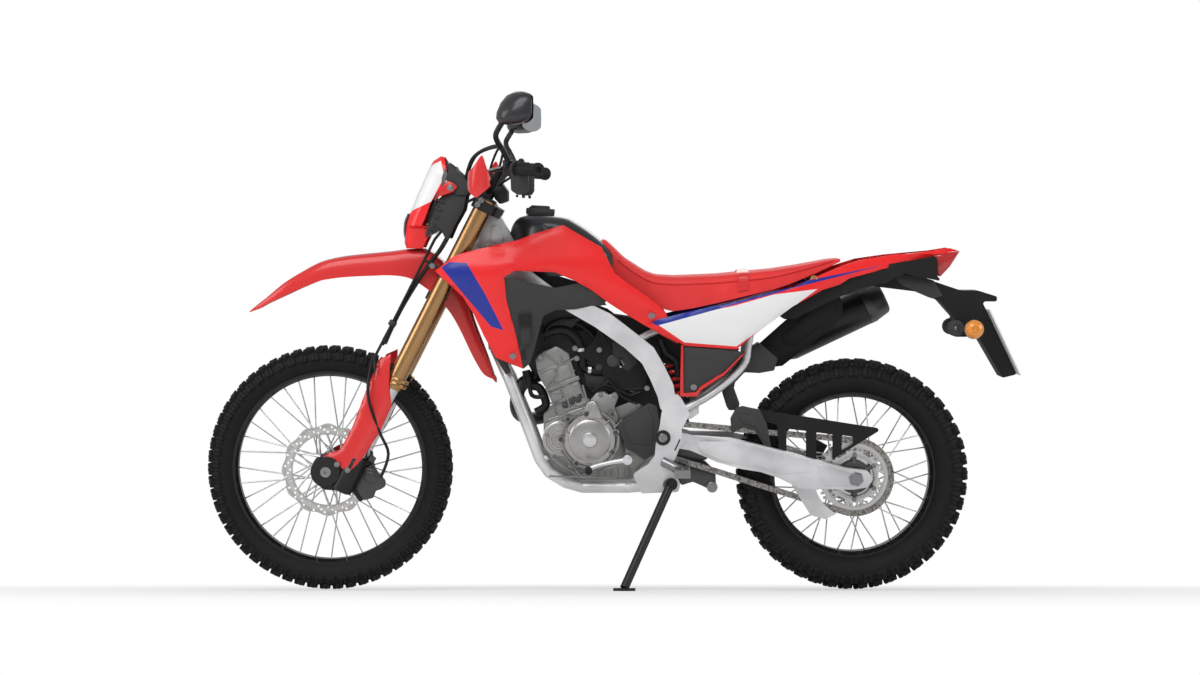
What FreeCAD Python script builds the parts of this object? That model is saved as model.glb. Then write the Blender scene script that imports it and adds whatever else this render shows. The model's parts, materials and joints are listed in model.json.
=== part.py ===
"""Dual sport motorcycle, built upright and then leaned onto its side stand.

Millimetres. X runs from the front wheel to the rear wheel, Y to the rider's right, Z up.
The origin is first midway between the wheels on the ground; the last step leans the machine
and puts the origin under the middle of its bounding box.
"""

import FreeCAD
import Part
import math
import os

import Sketcher
from FreeCAD import Matrix, Placement, Rotation, Vector

PARTS_FOLDER = "parts"

# Driving dimensions: name, value in millimetres or degrees, and what it is.
DIMENSIONS = (
    ("wheelbase", 1455, "between the wheel centres"),
    ("rake", 27, "lean of the steering axis from the vertical, degrees"),
    ("parked_lean", 9, "lean of the whole machine on its side stand, degrees"),
    ("steering_range", 43, "turn of the bars to each side, degrees"),
    ("clamp_sweep", 162, "how far round from the front the turning clamps need room, in degrees"),
    ("overrun", 5, "how far every cutting tool runs past its work"),
    ("slip", 0.3, "gap between pieces that are seated or turn on each other"),
    ("wheel_gap", 6, "least gap beside a turning wheel"),
    ("front_tyre_radius", 343, ""),
    ("front_tyre_width", 84, ""),
    ("front_bead_radius", 267, ""),
    ("front_rim_width", 52, ""),
    ("front_flange_radius", 276, ""),
    ("front_rim_inner_radius", 256, ""),
    ("rear_tyre_radius", 325, ""),
    ("rear_tyre_width", 122, ""),
    ("rear_bead_radius", 229, ""),
    ("rear_rim_width", 66, ""),
    ("rear_flange_radius", 239, ""),
    ("rear_rim_inner_radius", 216, ""),
    ("rim_wall", 4, "wall of both rims"),
    ("tread_height", 8, "how far the tread blocks stand up from both tyres"),
    ("front_hub_width", 104, ""),
    ("front_hub_radius", 24, ""),
    ("front_hub_flange_radius", 37, ""),
    ("rear_hub_width", 122, ""),
    ("rear_hub_radius", 36, ""),
    ("rear_hub_flange_radius", 56, ""),
    ("hub_flange_width", 7, ""),
    ("spoke_radius", 1.9, ""),
    ("axle_radius", 9, ""),
    ("front_disc_radius", 128, ""),
    ("front_disc_inner_radius", 99, ""),
    ("rear_disc_radius", 110, ""),
    ("rear_disc_inner_radius", 84, ""),
    ("disc_width", 4, ""),
    ("disc_hole_radius", 4, ""),
    ("front_disc_side", 62, "distance of the front disc from the mid plane"),
    ("rear_disc_side", 72, "distance of the rear disc from the mid plane"),
    ("chain_pitch", 15.875, ""),
    ("chain_side", 78, "distance of the chain from the mid plane"),
    ("chain_plate_height", 15, ""),
    ("chain_plate_width", 2.5, ""),
    ("chain_inner_width", 11, "between the two rows of plates"),
    ("chain_roller_radius", 5, ""),
    ("sprocket_width", 5, ""),
    ("fork_spread", 97, "distance of each fork leg from the mid plane"),
    ("fork_offset", 20, "fork legs ahead of the steering axis"),
    ("axle_lead", 57, "front axle ahead of the fork legs"),
    ("outer_tube_radius", 25, ""),
    ("inner_tube_radius", 21.5, ""),
    ("fork_lower_end", 287, "lower end of the outer tubes, along the fork from the axle"),
    ("lower_clamp_height", 640, "middle of the lower clamp, along the fork"),
    ("lower_clamp_thickness", 36, ""),
    ("upper_clamp_height", 846, "middle of the upper clamp, along the fork"),
    ("upper_clamp_thickness", 26, ""),
    ("stem_radius", 16, ""),
    ("clamp_wall", 7, "metal round the fork tubes"),
    ("head_tube_radius", 29, ""),
    ("bar_radius", 11, ""),
    ("bar_middle_radius", 14, ""),
    ("bar_half_width", 392, ""),
    ("grip_radius", 17, ""),
    ("grip_length", 120, ""),
    ("spar_inner_side", 94, "inner face of the frame spars and pivot plates"),
    ("spar_width", 26, ""),
    ("down_tube_radius", 16, ""),
    ("cradle_side", 72, "distance of the cradle tubes from the mid plane"),
    ("rail_radius", 11, "tubes of the rear frame"),
    ("pivot_bolt_radius", 10, ""),
    ("case_left_side", 60, ""),
    ("case_right_side", 84, ""),
    ("cylinder_half_width", 60, ""),
    ("generator_radius", 73, ""),
    ("generator_side", 128, ""),
    ("clutch_radius", 84, ""),
    ("clutch_side", 128, ""),
    ("exhaust_radius", 19, ""),
    ("muffler_radius", 54, ""),
    ("muffler_side", 128, ""),
    ("radiator_half_width", 62, ""),
    ("panel_wall", 3.5, "wall of the moulded panels"),
    ("tank_half_width", 112, ""),
    ("seat_half_width", 104, ""),
    ("shroud_half_width", 170, ""),
    ("tail_half_width", 112, ""),
    ("arm_inner_side", 93, "inner face of the swingarm's arms at the wheel"),
    ("arm_width", 32, ""),
    ("peg_reach", 236, ""),
    ("peg_height", 22, ""),
    ("peg_width", 42, ""),
    ("stand_side", 142, "distance of the stand's pivot from the mid plane"),
    ("stand_spread", 160, "how far the lowered foot stands out from the pivot"),
    ("stand_forward", 128, "how far the lowered foot stands ahead of the pivot"),
    ("stand_radius", 12, ""),
    ("stand_foot_radius", 30, ""),
    ("stand_foot_height", 8, ""),
    ("mirror_side", 345, ""),
    ("mirror_half_width", 66, ""),
    ("guard_side", 350, ""),
    ("lamp_half_width", 80, ""),
    ("fender_half_width", 66, ""),
    ("bar_behind", -30, "the bar behind the steering axis; ahead where it is negative"),
    ("bar_height", 26, "middle of the bar above the upper clamp"),
    ("bar_clamp_side", 34, ""),
    ("bar_sweep", 145, ""),
    ("bar_rise", 56, ""),
    ("control_length", 42, ""),
    ("lever_reach", 52, ""),
    ("guard_half_width", 74, ""),
    ("plate_half_width", 90, ""),
    ("indicator_radius", 26, ""),
    ("rear_indicator_side", 150, ""),
    ("shock_radius", 34, ""),
    ("caliper_half_width", 26, "outer half of a brake caliper"),
    ("caliper_inner_width", 15, "inner half, next to the spokes"),
    ("caliper_length", 52, ""),
    ("hose_radius", 4, ""),
)

document = FreeCAD.newDocument("Motorcycle")
sheet = document.addObject("Spreadsheet::Sheet", "Sizes")
for row, (alias, number, meaning) in enumerate(DIMENSIONS, start=1):
    sheet.set(f"A{row}", alias)
    sheet.set(f"B{row}", str(number))
    sheet.setAlias(f"B{row}", alias)
    sheet.set(f"C{row}", meaning)
document.recompute()


class Sizes:
    """Reads a driving dimension from the sheet by its name."""

    def __getattr__(self, alias):
        return float(getattr(sheet, alias))


size = Sizes()
UP = Vector(0, 0, 1)
ACROSS = Vector(0, 1, 0)
REARWARD = Vector(1, 0, 0)

# Side outlines are drawn on a grid: the wheelbase spans this many of its squares.
wheelbase_grid_share = 14.55
grid = size.wheelbase / wheelbase_grid_share

front_axle = Vector(-size.wheelbase / 2, 0, size.front_tyre_radius)
rear_axle = Vector(size.wheelbase / 2, 0, size.rear_tyre_radius)

# The steering axis. Fork sizes are measured from its foot, the point nearest to the front axle:
# back is square to the axis, and along runs up it.
fork_turn = Rotation(ACROSS, size.rake)
back = fork_turn.multVec(REARWARD)
along = fork_turn.multVec(UP)
steering_foot = front_axle + back * (size.fork_offset + size.axle_lead)
fork_place = Placement(steering_foot, fork_turn)


def on_grid(x, z):
    """A point of the mid plane, given in grid squares."""
    return Vector(x * grid, 0, z * grid)


def fork_point(behind, side, height):
    """A point given by its distance behind the steering axis, to the side and along the axis."""
    return fork_place.multVec(Vector(behind, side, height))


def side_view(x, z):
    return Vector(x, 0, z)


def top_view(x, y):
    return Vector(x, y, 0)


def front_view(y, z):
    return Vector(0, y, z)


def rounded_wire(points, radius):
    """Closed wire through the points in order, each corner rounded by up to the radius."""
    count = len(points)
    corners = []
    for index, corner in enumerate(points):
        before = points[index - 1] - corner
        after = points[(index + 1) % count] - corner
        turn = math.pi - before.getAngle(after)
        reach = min(radius * math.tan(turn / 2), 0.45 * before.Length, 0.45 * after.Length)
        start = corner + before.normalize() * reach
        end = corner + after.normalize() * reach
        inward = (before + after)
        if reach < 0.02 * radius or inward.Length < 0.02:
            corners.append((corner, None, corner))
            continue
        bend = reach / math.tan(turn / 2)
        middle = corner + inward.normalize() * (bend / math.cos(turn / 2) - bend)
        corners.append((start, middle, end))
    edges = []
    for index, (start, middle, end) in enumerate(corners):
        if middle is not None:
            edges.append(Part.Arc(start, middle, end).toShape())
        following = corners[(index + 1) % count][0]
        edges.append(Part.LineSegment(end, following).toShape())
    return Part.Wire(edges)


def slab(points, view, low, high, radius=0.0):
    """Solid of an outline drawn in one view and pushed from low to high along the view's line."""
    corners = [view(*point) for point in points]
    if radius > 0:
        face = Part.Face(rounded_wire(corners, radius))
    else:
        face = Part.Face(Part.makePolygon(corners + corners[:1]))
    line = view(1, 0).cross(view(0, 1))
    line = Vector(abs(line.x), abs(line.y), abs(line.z))
    face.translate(line * low)
    return face.extrude(line * (high - low))


def grid_slab(shares, low, high, radius=0.0):
    """Slab of a side outline in grid squares."""
    points = [(x * grid, z * grid) for x, z in shares]
    return slab(points, side_view, low, high, radius)


def mirrored(shape):
    """The same shape on the other side of the mid plane."""
    return shape.mirror(Vector(0, 0, 0), ACROSS)


def pair(shape):
    """The shape with its mirror image, as separate solids."""
    return Part.makeCompound([shape, mirrored(shape)])


def rod(start, end, radius):
    """Round bar between two points."""
    return Part.makeCylinder(radius, (end - start).Length, start, end - start)


def cross_rod(middle, half, radius):
    """Round bar square to the mid plane, reaching as far to each side of its middle."""
    return rod(middle - ACROSS * half, middle + ACROSS * half, radius)


def beside(point, side):
    """The point, moved to the side."""
    return point + ACROSS * side


def ball(centre, radius):
    return Part.makeSphere(radius, centre)


def joined(*shapes):
    """One shape of all the shapes, without the seams between them."""
    return shapes[0].multiFuse(list(shapes[1:])).removeSplitter() if len(shapes) > 1 else shapes[0]


def run_of_rods(points, radius):
    """Bar along the points, with a ball at each bend."""
    pieces = [rod(start, end, radius) for start, end in zip(points, points[1:])]
    pieces += [ball(point, radius) for point in points[1:-1]]
    return joined(*pieces)


def bent_bar(points, radius, bend):
    """Bar along straight runs joined by arcs of up to the bend radius."""
    edges = []
    last = points[0]
    for before, corner, after in zip(points, points[1:], points[2:]):
        inward = before - corner
        outward = after - corner
        turn = math.pi - inward.getAngle(outward)
        reach = min(bend * math.tan(turn / 2), 0.45 * inward.Length, 0.45 * outward.Length)
        inward.normalize()
        outward.normalize()
        bisector = (inward + outward).normalize()
        curve = reach / math.tan(turn / 2)
        start = corner + inward * reach
        end = corner + outward * reach
        middle = corner + bisector * (curve / math.cos(turn / 2) - curve)
        edges.append(Part.LineSegment(last, start).toShape())
        edges.append(Part.Arc(start, middle, end).toShape())
        last = end
    edges.append(Part.LineSegment(last, points[-1]).toShape())
    path = Part.Wire(edges)
    ring = Part.Wire(Part.makeCircle(radius, points[0], points[1] - points[0]))
    return path.makePipeShell([ring], True, False)


def feature(name, shape):
    """A sub-part whose shape is made here."""
    piece = document.addObject("Part::Feature", name)
    piece.Label = name
    piece.Shape = shape
    pieces.append(piece)
    return piece


pieces = []
local_places = {}


def number(text):
    """The value of an expression on the sheet's cells."""
    result = sheet.evalExpression(text)
    return float(getattr(result, "Value", result))


def new_body(name, place):
    """A PartDesign body with its place on the upright machine."""
    body = document.addObject("PartDesign::Body", name)
    body.Label = name
    pieces.append(body)
    local_places[name] = place
    return body


def sketch_on(body, role, name):
    """A sketch on one of the body's own origin planes."""
    sketch = body.newObject("Sketcher::SketchObject", name)
    plane = next(item for item in body.Origin.OriginFeatures if item.Role == role)
    sketch.AttachmentSupport = (plane, "")
    sketch.MapMode = "FlatFace"
    return sketch


def draw_polygon(sketch, corners):
    """Closed polygon whose corners are bound to the sheet: each is a pair of expressions."""
    places = [Vector(number(x), number(y), 0) for x, y in corners]
    count = len(places)
    first = sketch.GeometryCount
    for index in range(count):
        sketch.addGeometry(Part.LineSegment(places[index], places[(index + 1) % count]), False)
    for index in range(count):
        following = first + (index + 1) % count
        sketch.addConstraint(Sketcher.Constraint("Coincident", first + index, 2, following, 1))
    for index, texts in enumerate(corners):
        for kind, text, now in zip(("DistanceX", "DistanceY"), texts, places[index]):
            label = sketch.addConstraint(Sketcher.Constraint(kind, -1, 1, first + index, 1, now))
            sketch.setExpression(f"Constraints[{label}]", text)


def lathe(name, corners, place):
    """Body turned about its own Y axis: each corner is a radius and a place along the axis."""
    body = new_body(name, place)
    sketch = sketch_on(body, "XY_Plane", f"{name}_profile")
    draw_polygon(sketch, corners)
    turned = body.newObject("PartDesign::Revolution", f"{name}_turned")
    turned.Profile = sketch
    turned.ReferenceAxis = (sketch, ["V_Axis"])
    turned.Angle = 360
    sketch.Visibility = False
    return body


# Wheels. Each is turned about its axle.
front_place = Placement(front_axle, Rotation())
rear_place = Placement(rear_axle, Rotation())


tread_block_count = 20
tread_half_share = 0.30
crown_share = 0.15
shoulder_drop_share = 0.22


def add_tread(body, root, tip, width):
    """Blocks across the crown: one is drawn across the tyre, pushed out and repeated round the axle."""
    profile = sketch_on(body, "XY_Plane", f"{body.Label}_block_profile")
    low = f"{root} - Sizes.tread_height / 2"
    end = f"{tip} - Sizes.tread_height * 0.7"
    edge = f"{width} * {tread_half_share}"
    middle = f"{width} * {crown_share}"
    corners = [
        (low, edge), (end, edge), (tip, middle), (tip, f"-{middle}"), (end, f"-{edge}"), (low, f"-{edge}"),
    ]
    draw_polygon(profile, corners)
    block = body.newObject("PartDesign::Pad", f"{body.Label}_block")
    block.Profile = profile
    block.Midplane = True
    block.setExpression("Length", f"{tip} * sin(180 deg / {tread_block_count})")
    body.Tip = block
    ring = body.newObject("PartDesign::PolarPattern", f"{body.Label}_tread")
    ring.Originals = [block]
    axle = next(item for item in body.Origin.OriginFeatures if item.Role == "Y_Axis")
    ring.Axis = (axle, [""])
    ring.Angle = 360
    ring.Occurrences = tread_block_count
    body.Tip = ring
    profile.Visibility = False


def make_wheel(end, place):
    """Tyre and rim of one wheel, from the sizes whose names start with its end."""
    radius = f"Sizes.{end}_tyre_radius"
    width = f"Sizes.{end}_tyre_width"
    bead = f"Sizes.{end}_bead_radius"
    rim = f"Sizes.{end}_rim_width"
    flange = f"Sizes.{end}_flange_radius"
    inner = f"Sizes.{end}_rim_inner_radius"
    wall = "Sizes.rim_wall"
    slip = "Sizes.slip"
    seat = f"({rim} / 2 - {wall} - {slip})"
    base = f"({radius} - Sizes.tread_height)"
    tyre = [
        (f"{base} - {width} * {shoulder_drop_share}", f"{width} / 2"),
        (base, f"{width} * {tread_half_share}"),
        (base, f"-{width} * {tread_half_share}"),
        (f"{base} - {width} * {shoulder_drop_share}", f"-{width} / 2"),
        (f"{flange} + {slip}", f"-{seat}"),
        (f"{bead} + {slip}", f"-{seat}"),
        (f"{bead} + {slip}", f"{seat}"),
        (f"{flange} + {slip}", f"{seat}"),
    ]
    tyre_body = lathe(f"{end}_tyre", tyre, place)
    add_tread(tyre_body, base, radius, width)
    edge = f"{rim} / 2"
    ring = [
        (flange, edge),
        (flange, f"{edge} - {wall}"),
        (bead, f"{edge} - {wall}"),
        (bead, f"-{edge} + {wall}"),
        (flange, f"-{edge} + {wall}"),
        (flange, f"-{edge}"),
        (f"{bead} - {wall}", f"-{edge}"),
        (inner, f"-{edge} * 0.5"),
        (inner, f"{edge} * 0.5"),
        (f"{bead} - {wall}", edge),
    ]
    lathe(f"{end}_rim", ring, place)


make_wheel("front", front_place)
make_wheel("rear", rear_place)

spoke_count = 36


def spoked_hub(name, centre, width, radius, flange_radius, rim_inner):
    """Hub with flanges and crossed spokes that end just under the rim."""
    half = width / 2
    flange = size.hub_flange_width
    barrel = cross_rod(centre, half, radius)
    shapes = [barrel]
    for side in (-1, 1):
        inner = centre + ACROSS * side * (half - flange)
        shapes.append(rod(inner, centre + ACROSS * side * half, flange_radius))
    reach = rim_inner - size.slip
    for index in range(spoke_count):
        side = 1 if index % 2 else -1
        lead = 1 if (index // 2) % 2 else -1
        rim_angle = 2 * math.pi * index / spoke_count
        hub_angle = rim_angle + lead * math.radians(62)
        seat = flange_radius - size.spoke_radius * 2
        start = centre + Vector(
            seat * math.cos(hub_angle),
            side * (half - flange / 2),
            seat * math.sin(hub_angle),
        )
        end = centre + Vector(reach * math.cos(rim_angle), 0, reach * math.sin(rim_angle))
        shapes.append(rod(start, end, size.spoke_radius))
    bore = cross_rod(centre, width, size.axle_radius + size.slip)
    hub = shapes[0].multiFuse(shapes[1:]).cut(bore)
    rim_face = cross_rod(centre, width, reach)
    feature(name, hub.common(rim_face))


spoked_hub(
    "front_hub",
    front_axle,
    size.front_hub_width,
    size.front_hub_radius,
    size.front_hub_flange_radius,
    size.front_rim_inner_radius,
)
spoked_hub(
    "rear_hub",
    rear_axle,
    size.rear_hub_width,
    size.rear_hub_radius,
    size.rear_hub_flange_radius,
    size.rear_rim_inner_radius,
)


def brake_disc(name, centre, side, radius, inner_radius, hub_radius, hub_half):
    """Drilled ring with a carrier that reaches in to the hub's flange."""
    half = size.disc_width / 2
    middle = centre + ACROSS * side
    low = middle - ACROSS * half
    high = middle + ACROSS * half
    ring = rod(low, high, radius).cut(rod(low, high, inner_radius))
    toward = -1 if side > 0 else 1
    flange_face = centre + ACROSS * math.copysign(hub_half + size.slip, side)
    holes = []
    hole_count = 24
    for index in range(hole_count):
        angle = 2 * math.pi * index / hole_count
        swing = (inner_radius + radius) / 2 + (radius - inner_radius) * (index % 3 - 1) / 4
        spot = Vector(swing * math.cos(angle), 0, swing * math.sin(angle))
        holes.append(rod(low + spot, high + spot, size.disc_hole_radius))
    ring = ring.cut(Part.makeCompound(holes))
    arms = []
    arm_count = 6
    for index in range(arm_count):
        angle = 2 * math.pi * index / arm_count
        tip = Vector(math.cos(angle), 0, math.sin(angle)) * (inner_radius + half)
        arms.append(rod(middle, middle + tip, half * 2).common(rod(low, high, radius)))
    boss = rod(flange_face, high if toward < 0 else low, hub_radius)
    bore = rod(flange_face, high if toward < 0 else low, size.axle_radius + size.wheel_gap)
    disc = joined(ring, boss, *arms).cut(bore)
    feature(name, disc)


brake_disc(
    "front_disc",
    front_axle,
    -size.front_disc_side,
    size.front_disc_radius,
    size.front_disc_inner_radius,
    size.front_hub_flange_radius,
    size.front_hub_width / 2,
)
brake_disc(
    "rear_disc",
    rear_axle,
    size.rear_disc_side,
    size.rear_disc_radius,
    size.rear_disc_inner_radius,
    size.rear_hub_radius,
    size.rear_hub_width / 2,
)


# Chain drive.
rear_tooth_count = 40
front_tooth_count = 14
rear_pitch_radius = size.chain_pitch / (2 * math.sin(math.pi / rear_tooth_count))
front_pitch_radius = size.chain_pitch / (2 * math.sin(math.pi / front_tooth_count))
output_shaft = on_grid(1.30, 4.47)
chain_plane = ACROSS * -size.chain_side


def toothed_wheel(centre, pitch_radius, teeth, width):
    """Flat toothed wheel in the chain's plane; its teeth stand between the chain's plates."""
    root = pitch_radius - size.chain_roller_radius - size.slip
    tip = pitch_radius + size.chain_roller_radius
    corners = []
    step = 2 * math.pi / teeth
    for index in range(teeth):
        for share, radius in ((-0.32, root), (-0.1, tip), (0.1, tip), (0.32, root)):
            angle = step * (index + share)
            corners.append((centre.x + radius * math.cos(angle), centre.z + radius * math.sin(angle)))
    low = -size.chain_side - width / 2
    return slab(corners, side_view, low, low + width)


rear_wheel_sprocket = toothed_wheel(
    rear_axle, rear_pitch_radius, rear_tooth_count, size.sprocket_width
)
sprocket_hub_end = rear_axle - ACROSS * (size.rear_hub_width / 2 + size.slip)
sprocket_face = rear_axle + chain_plane - ACROSS * size.sprocket_width / 2
sprocket_boss = rod(sprocket_hub_end, sprocket_face, size.rear_hub_flange_radius)
rear_wheel_sprocket = joined(rear_wheel_sprocket, sprocket_boss)
window = rod(sprocket_hub_end, sprocket_face - ACROSS * size.overrun, size.axle_radius + size.wheel_gap)
feature("rear_sprocket", rear_wheel_sprocket.cut(window))

drive_wheel = toothed_wheel(
    output_shaft, front_pitch_radius, front_tooth_count, size.chain_inner_width - size.slip * 2
)
case_face = output_shaft - ACROSS * (size.case_left_side + size.slip)
shaft_end = output_shaft + chain_plane - ACROSS * size.sprocket_width
feature("drive_sprocket", joined(drive_wheel, rod(case_face, shaft_end, size.pivot_bolt_radius)))


def tangent_points(small, small_radius, large, large_radius, upper):
    """Ends of the chain's straight run on the two pitch circles."""
    way = large - small
    distance = way.Length
    heading = math.atan2(way.z, way.x)
    offset = math.asin((large_radius - small_radius) / distance)
    sign = 1 if upper else -1
    angle = heading + sign * (math.pi / 2 + offset)
    normal = Vector(math.cos(angle), 0, math.sin(angle))
    return small + normal * small_radius, large + normal * large_radius


def chain_band(outward, low, width):
    """Flat band round both sprockets, its edges the given distance outside the pitch line."""
    small_radius = front_pitch_radius + outward
    large_radius = rear_pitch_radius + outward
    upper = tangent_points(output_shaft, small_radius, rear_axle, large_radius, True)
    lower = tangent_points(output_shaft, small_radius, rear_axle, large_radius, False)
    near = output_shaft - REARWARD * small_radius
    far = rear_axle + REARWARD * large_radius
    edges = [
        Part.LineSegment(upper[0], upper[1]).toShape(),
        Part.Arc(upper[1], far, lower[1]).toShape(),
        Part.LineSegment(lower[1], lower[0]).toShape(),
        Part.Arc(lower[0], near, upper[0]).toShape(),
    ]
    face = Part.Face(Part.Wire(edges))
    face.translate(ACROSS * low)
    return face.extrude(ACROSS * width)


def free_run(pitch_radius):
    """Distance past the tangent point at which a roller is clear of the sprocket's teeth."""
    clear = pitch_radius + size.chain_roller_radius * 2 + size.chain_plate_width
    return math.sqrt(clear**2 - pitch_radius**2)


def make_chain():
    """Two rows of plates round the sprockets, with every second roller on the straights."""
    half_height = size.chain_plate_height / 2
    shapes = []
    for side in (-1, 1):
        inner_face = side * size.chain_inner_width / 2
        low = -size.chain_side + min(inner_face, inner_face + side * size.chain_plate_width)
        outer = chain_band(half_height, low, size.chain_plate_width)
        hollow = chain_band(-half_height, low, size.chain_plate_width)
        shapes.append(outer.cut(hollow))
    pin_half = size.chain_inner_width / 2 + size.chain_plate_width / 2
    turns = [math.pi / 3 * step for step in range(6)]
    radius = size.chain_roller_radius
    roller = [(radius * math.cos(turn), radius * math.sin(turn)) for turn in turns]
    for upper in (True, False):
        start, end = tangent_points(
            output_shaft, front_pitch_radius, rear_axle, rear_pitch_radius, upper
        )
        way = end - start
        run = way.Length
        way.normalize()
        for index in range(1, int(run / size.chain_pitch), 2):
            gone = size.chain_pitch * index
            if gone < free_run(front_pitch_radius) or run - gone < free_run(rear_pitch_radius):
                continue
            spot = start + way * gone + chain_plane
            corners = [(spot.x + x, spot.z + z) for x, z in roller]
            shapes.append(slab(corners, side_view, spot.y - pin_half, spot.y + pin_half))
    return joined(*shapes)


feature("chain", make_chain())


# Front fork and steering.
def clamp_plate(height, thickness):
    """Plate across both fork legs and the stem, square to the steering axis."""
    ahead = -size.fork_offset
    leg_room = size.outer_tube_radius + size.clamp_wall
    outline = [
        (ahead - leg_room, size.fork_spread + leg_room),
        (ahead - leg_room, -size.fork_spread - leg_room),
        (ahead + leg_room, -size.fork_spread - leg_room),
        (size.stem_radius * 2, -size.stem_radius * 2),
        (size.stem_radius * 2, size.stem_radius * 2),
        (ahead + leg_room, size.fork_spread + leg_room),
    ]
    low = height - thickness / 2
    return slab(outline, top_view, low, low + thickness, leg_room)


def leg_axis(side, low, high, radius):
    """Round bar on a fork leg's axis, in the fork's own frame."""
    start = Vector(-size.fork_offset, side * size.fork_spread, low)
    return rod(start, start + UP * (high - low), radius)


upper_clamp_top = size.upper_clamp_height + size.upper_clamp_thickness / 2
lower_clamp_bottom = size.lower_clamp_height - size.lower_clamp_thickness / 2
lower_clamp_top = lower_clamp_bottom + size.lower_clamp_thickness
upper_clamp_bottom = upper_clamp_top - size.upper_clamp_thickness


def placed(shape, place):
    """A copy of the shape, moved to the place."""
    moved = shape.copy()
    moved.transformShape(place.toMatrix())
    return moved


tube_top = upper_clamp_top + size.overrun
outer_tubes = [
    leg_axis(side, size.fork_lower_end, tube_top, size.outer_tube_radius).cut(
        leg_axis(
            side,
            size.fork_lower_end - size.overrun,
            size.fork_lower_end + size.fork_lower_end / 4,
            size.inner_tube_radius + size.slip,
        )
    )
    for side in (-1, 1)
]
feature("fork_tubes", placed(Part.makeCompound(outer_tubes), fork_place))


def make_slider(side):
    """Chromed inner tube with the axle carrier at its foot."""
    tube = leg_axis(
        side,
        -size.inner_tube_radius,
        size.fork_lower_end + size.fork_lower_end / 4 - size.slip,
        size.inner_tube_radius,
    )
    eye_radius = size.inner_tube_radius * 1.7
    leg_foot = Vector(-size.fork_offset, side * size.fork_spread, 0)
    eye = leg_foot - REARWARD * size.axle_lead
    half = size.inner_tube_radius + size.panel_wall
    shapes = [tube]
    for centre, radius in ((eye, eye_radius), (leg_foot, half)):
        shapes.append(cross_rod(centre, half, radius))
    web = [
        (eye.x, eye_radius),
        (eye.x, -eye_radius),
        (leg_foot.x, -half),
        (leg_foot.x + half, 0),
        (leg_foot.x + half, half * 2.4),
        (leg_foot.x - half, half * 2.4),
    ]
    low = side * size.fork_spread - half
    shapes.append(slab(web, side_view, low, low + half * 2))
    for height in (0.3, 0.62):
        spot = leg_foot + UP * size.fork_lower_end * height
        reach = size.inner_tube_radius + size.wheel_gap
        shapes.append(rod(spot, spot + ACROSS * side * reach, size.axle_radius))
    bore = cross_rod(eye, size.fork_spread, size.axle_radius + size.slip)
    return joined(*shapes).cut(bore)


feature("fork_sliders", placed(Part.makeCompound([make_slider(-1), make_slider(1)]), fork_place))

axle_half = size.fork_spread + size.inner_tube_radius + size.panel_wall * 2
axle_head_start = axle_half - size.panel_wall + size.slip
front_axle_bar = cross_rod(front_axle, axle_half, size.axle_radius)
axle_heads = [
    rod(
        beside(front_axle, side * axle_head_start),
        beside(front_axle, side * axle_half),
        size.axle_radius * 1.6,
    )
    for side in (-1, 1)
]
axle_bore = cross_rod(front_axle, axle_half * 2, size.axle_radius / 2)
feature("front_axle", joined(front_axle_bar, *axle_heads).cut(axle_bore))


# Fork guards, mask, fender.
fork_guard_shares = (
    (-5.62, 6.65), (-5.81, 6.44), (-6.05, 5.77), (-6.41, 5.30), (-6.77, 4.54), (-7.01, 4.07),
    (-7.52, 3.88), (-7.52, 3.62), (-7.14, 3.57), (-7.00, 3.47), (-6.71, 3.33), (-6.62, 3.40),
    (-6.10, 3.97), (-5.84, 4.54), (-5.65, 4.92), (-5.55, 5.20), (-5.60, 5.82), (-5.60, 6.06),
    (-5.51, 6.63),
)


def make_fork_guard():
    """Left guard: an outer plate with a front wall that turns in before the slider."""
    reach = size.fork_spread + size.inner_tube_radius + size.wheel_gap
    outer = -reach - size.slip - size.panel_wall
    inner = -size.fork_spread
    whole = grid_slab(fork_guard_shares, outer, inner, size.panel_wall * 2)
    hollow = grid_slab(fork_guard_shares, outer + size.panel_wall, inner + size.overrun, size.panel_wall * 2)
    hollow.translate(back * size.panel_wall)
    axle_room = rod(front_axle - ACROSS * size.fork_spread * 2, front_axle, size.inner_tube_radius * 2.2)
    leg_room = placed(leg_axis(-1, 0, tube_top, size.outer_tube_radius + size.slip), fork_place)
    return whole.cut(hollow).cut(axle_room).cut(leg_room)


feature("fork_guards", pair(make_fork_guard()))

front_fender_shares = (
    (-9.50, 7.79), (-9.00, 8.19), (-8.50, 8.60), (-8.00, 8.91), (-7.50, 9.19), (-7.19, 9.27),
    (-6.50, 9.37), (-5.50, 9.47), (-5.20, 9.50), (-4.80, 9.35), (-4.45, 8.80), (-3.60, 8.36),
    (-3.43, 7.82), (-3.27, 7.39), (-3.08, 6.90), (-2.94, 6.53), (-2.80, 6.15), (-2.68, 5.79),
    (-2.83, 5.94), (-3.04, 6.12), (-3.15, 6.31), (-3.31, 6.69), (-3.61, 7.28), (-3.75, 7.57),
    (-3.92, 7.84), (-4.11, 8.03), (-4.57, 8.47), (-5.00, 8.73), (-5.50, 8.81), (-6.50, 8.77),
    (-7.19, 8.72), (-7.51, 8.65), (-8.50, 8.23), (-9.00, 8.00),
)


fender_plan_shares = (
    (-9.60, 0.42), (-9.20, 0.60), (-8.20, 0.66), (-5.00, 0.66), (-3.90, 0.60), (-3.20, 0.48), (-2.60, 0.42),
)


def closed_plan(shares):
    """Plan outline of both sides from one side's points."""
    points = [(x * grid, y * grid) for x, y in shares]
    return points + [(x, -y) for x, y in reversed(points)]


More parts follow.
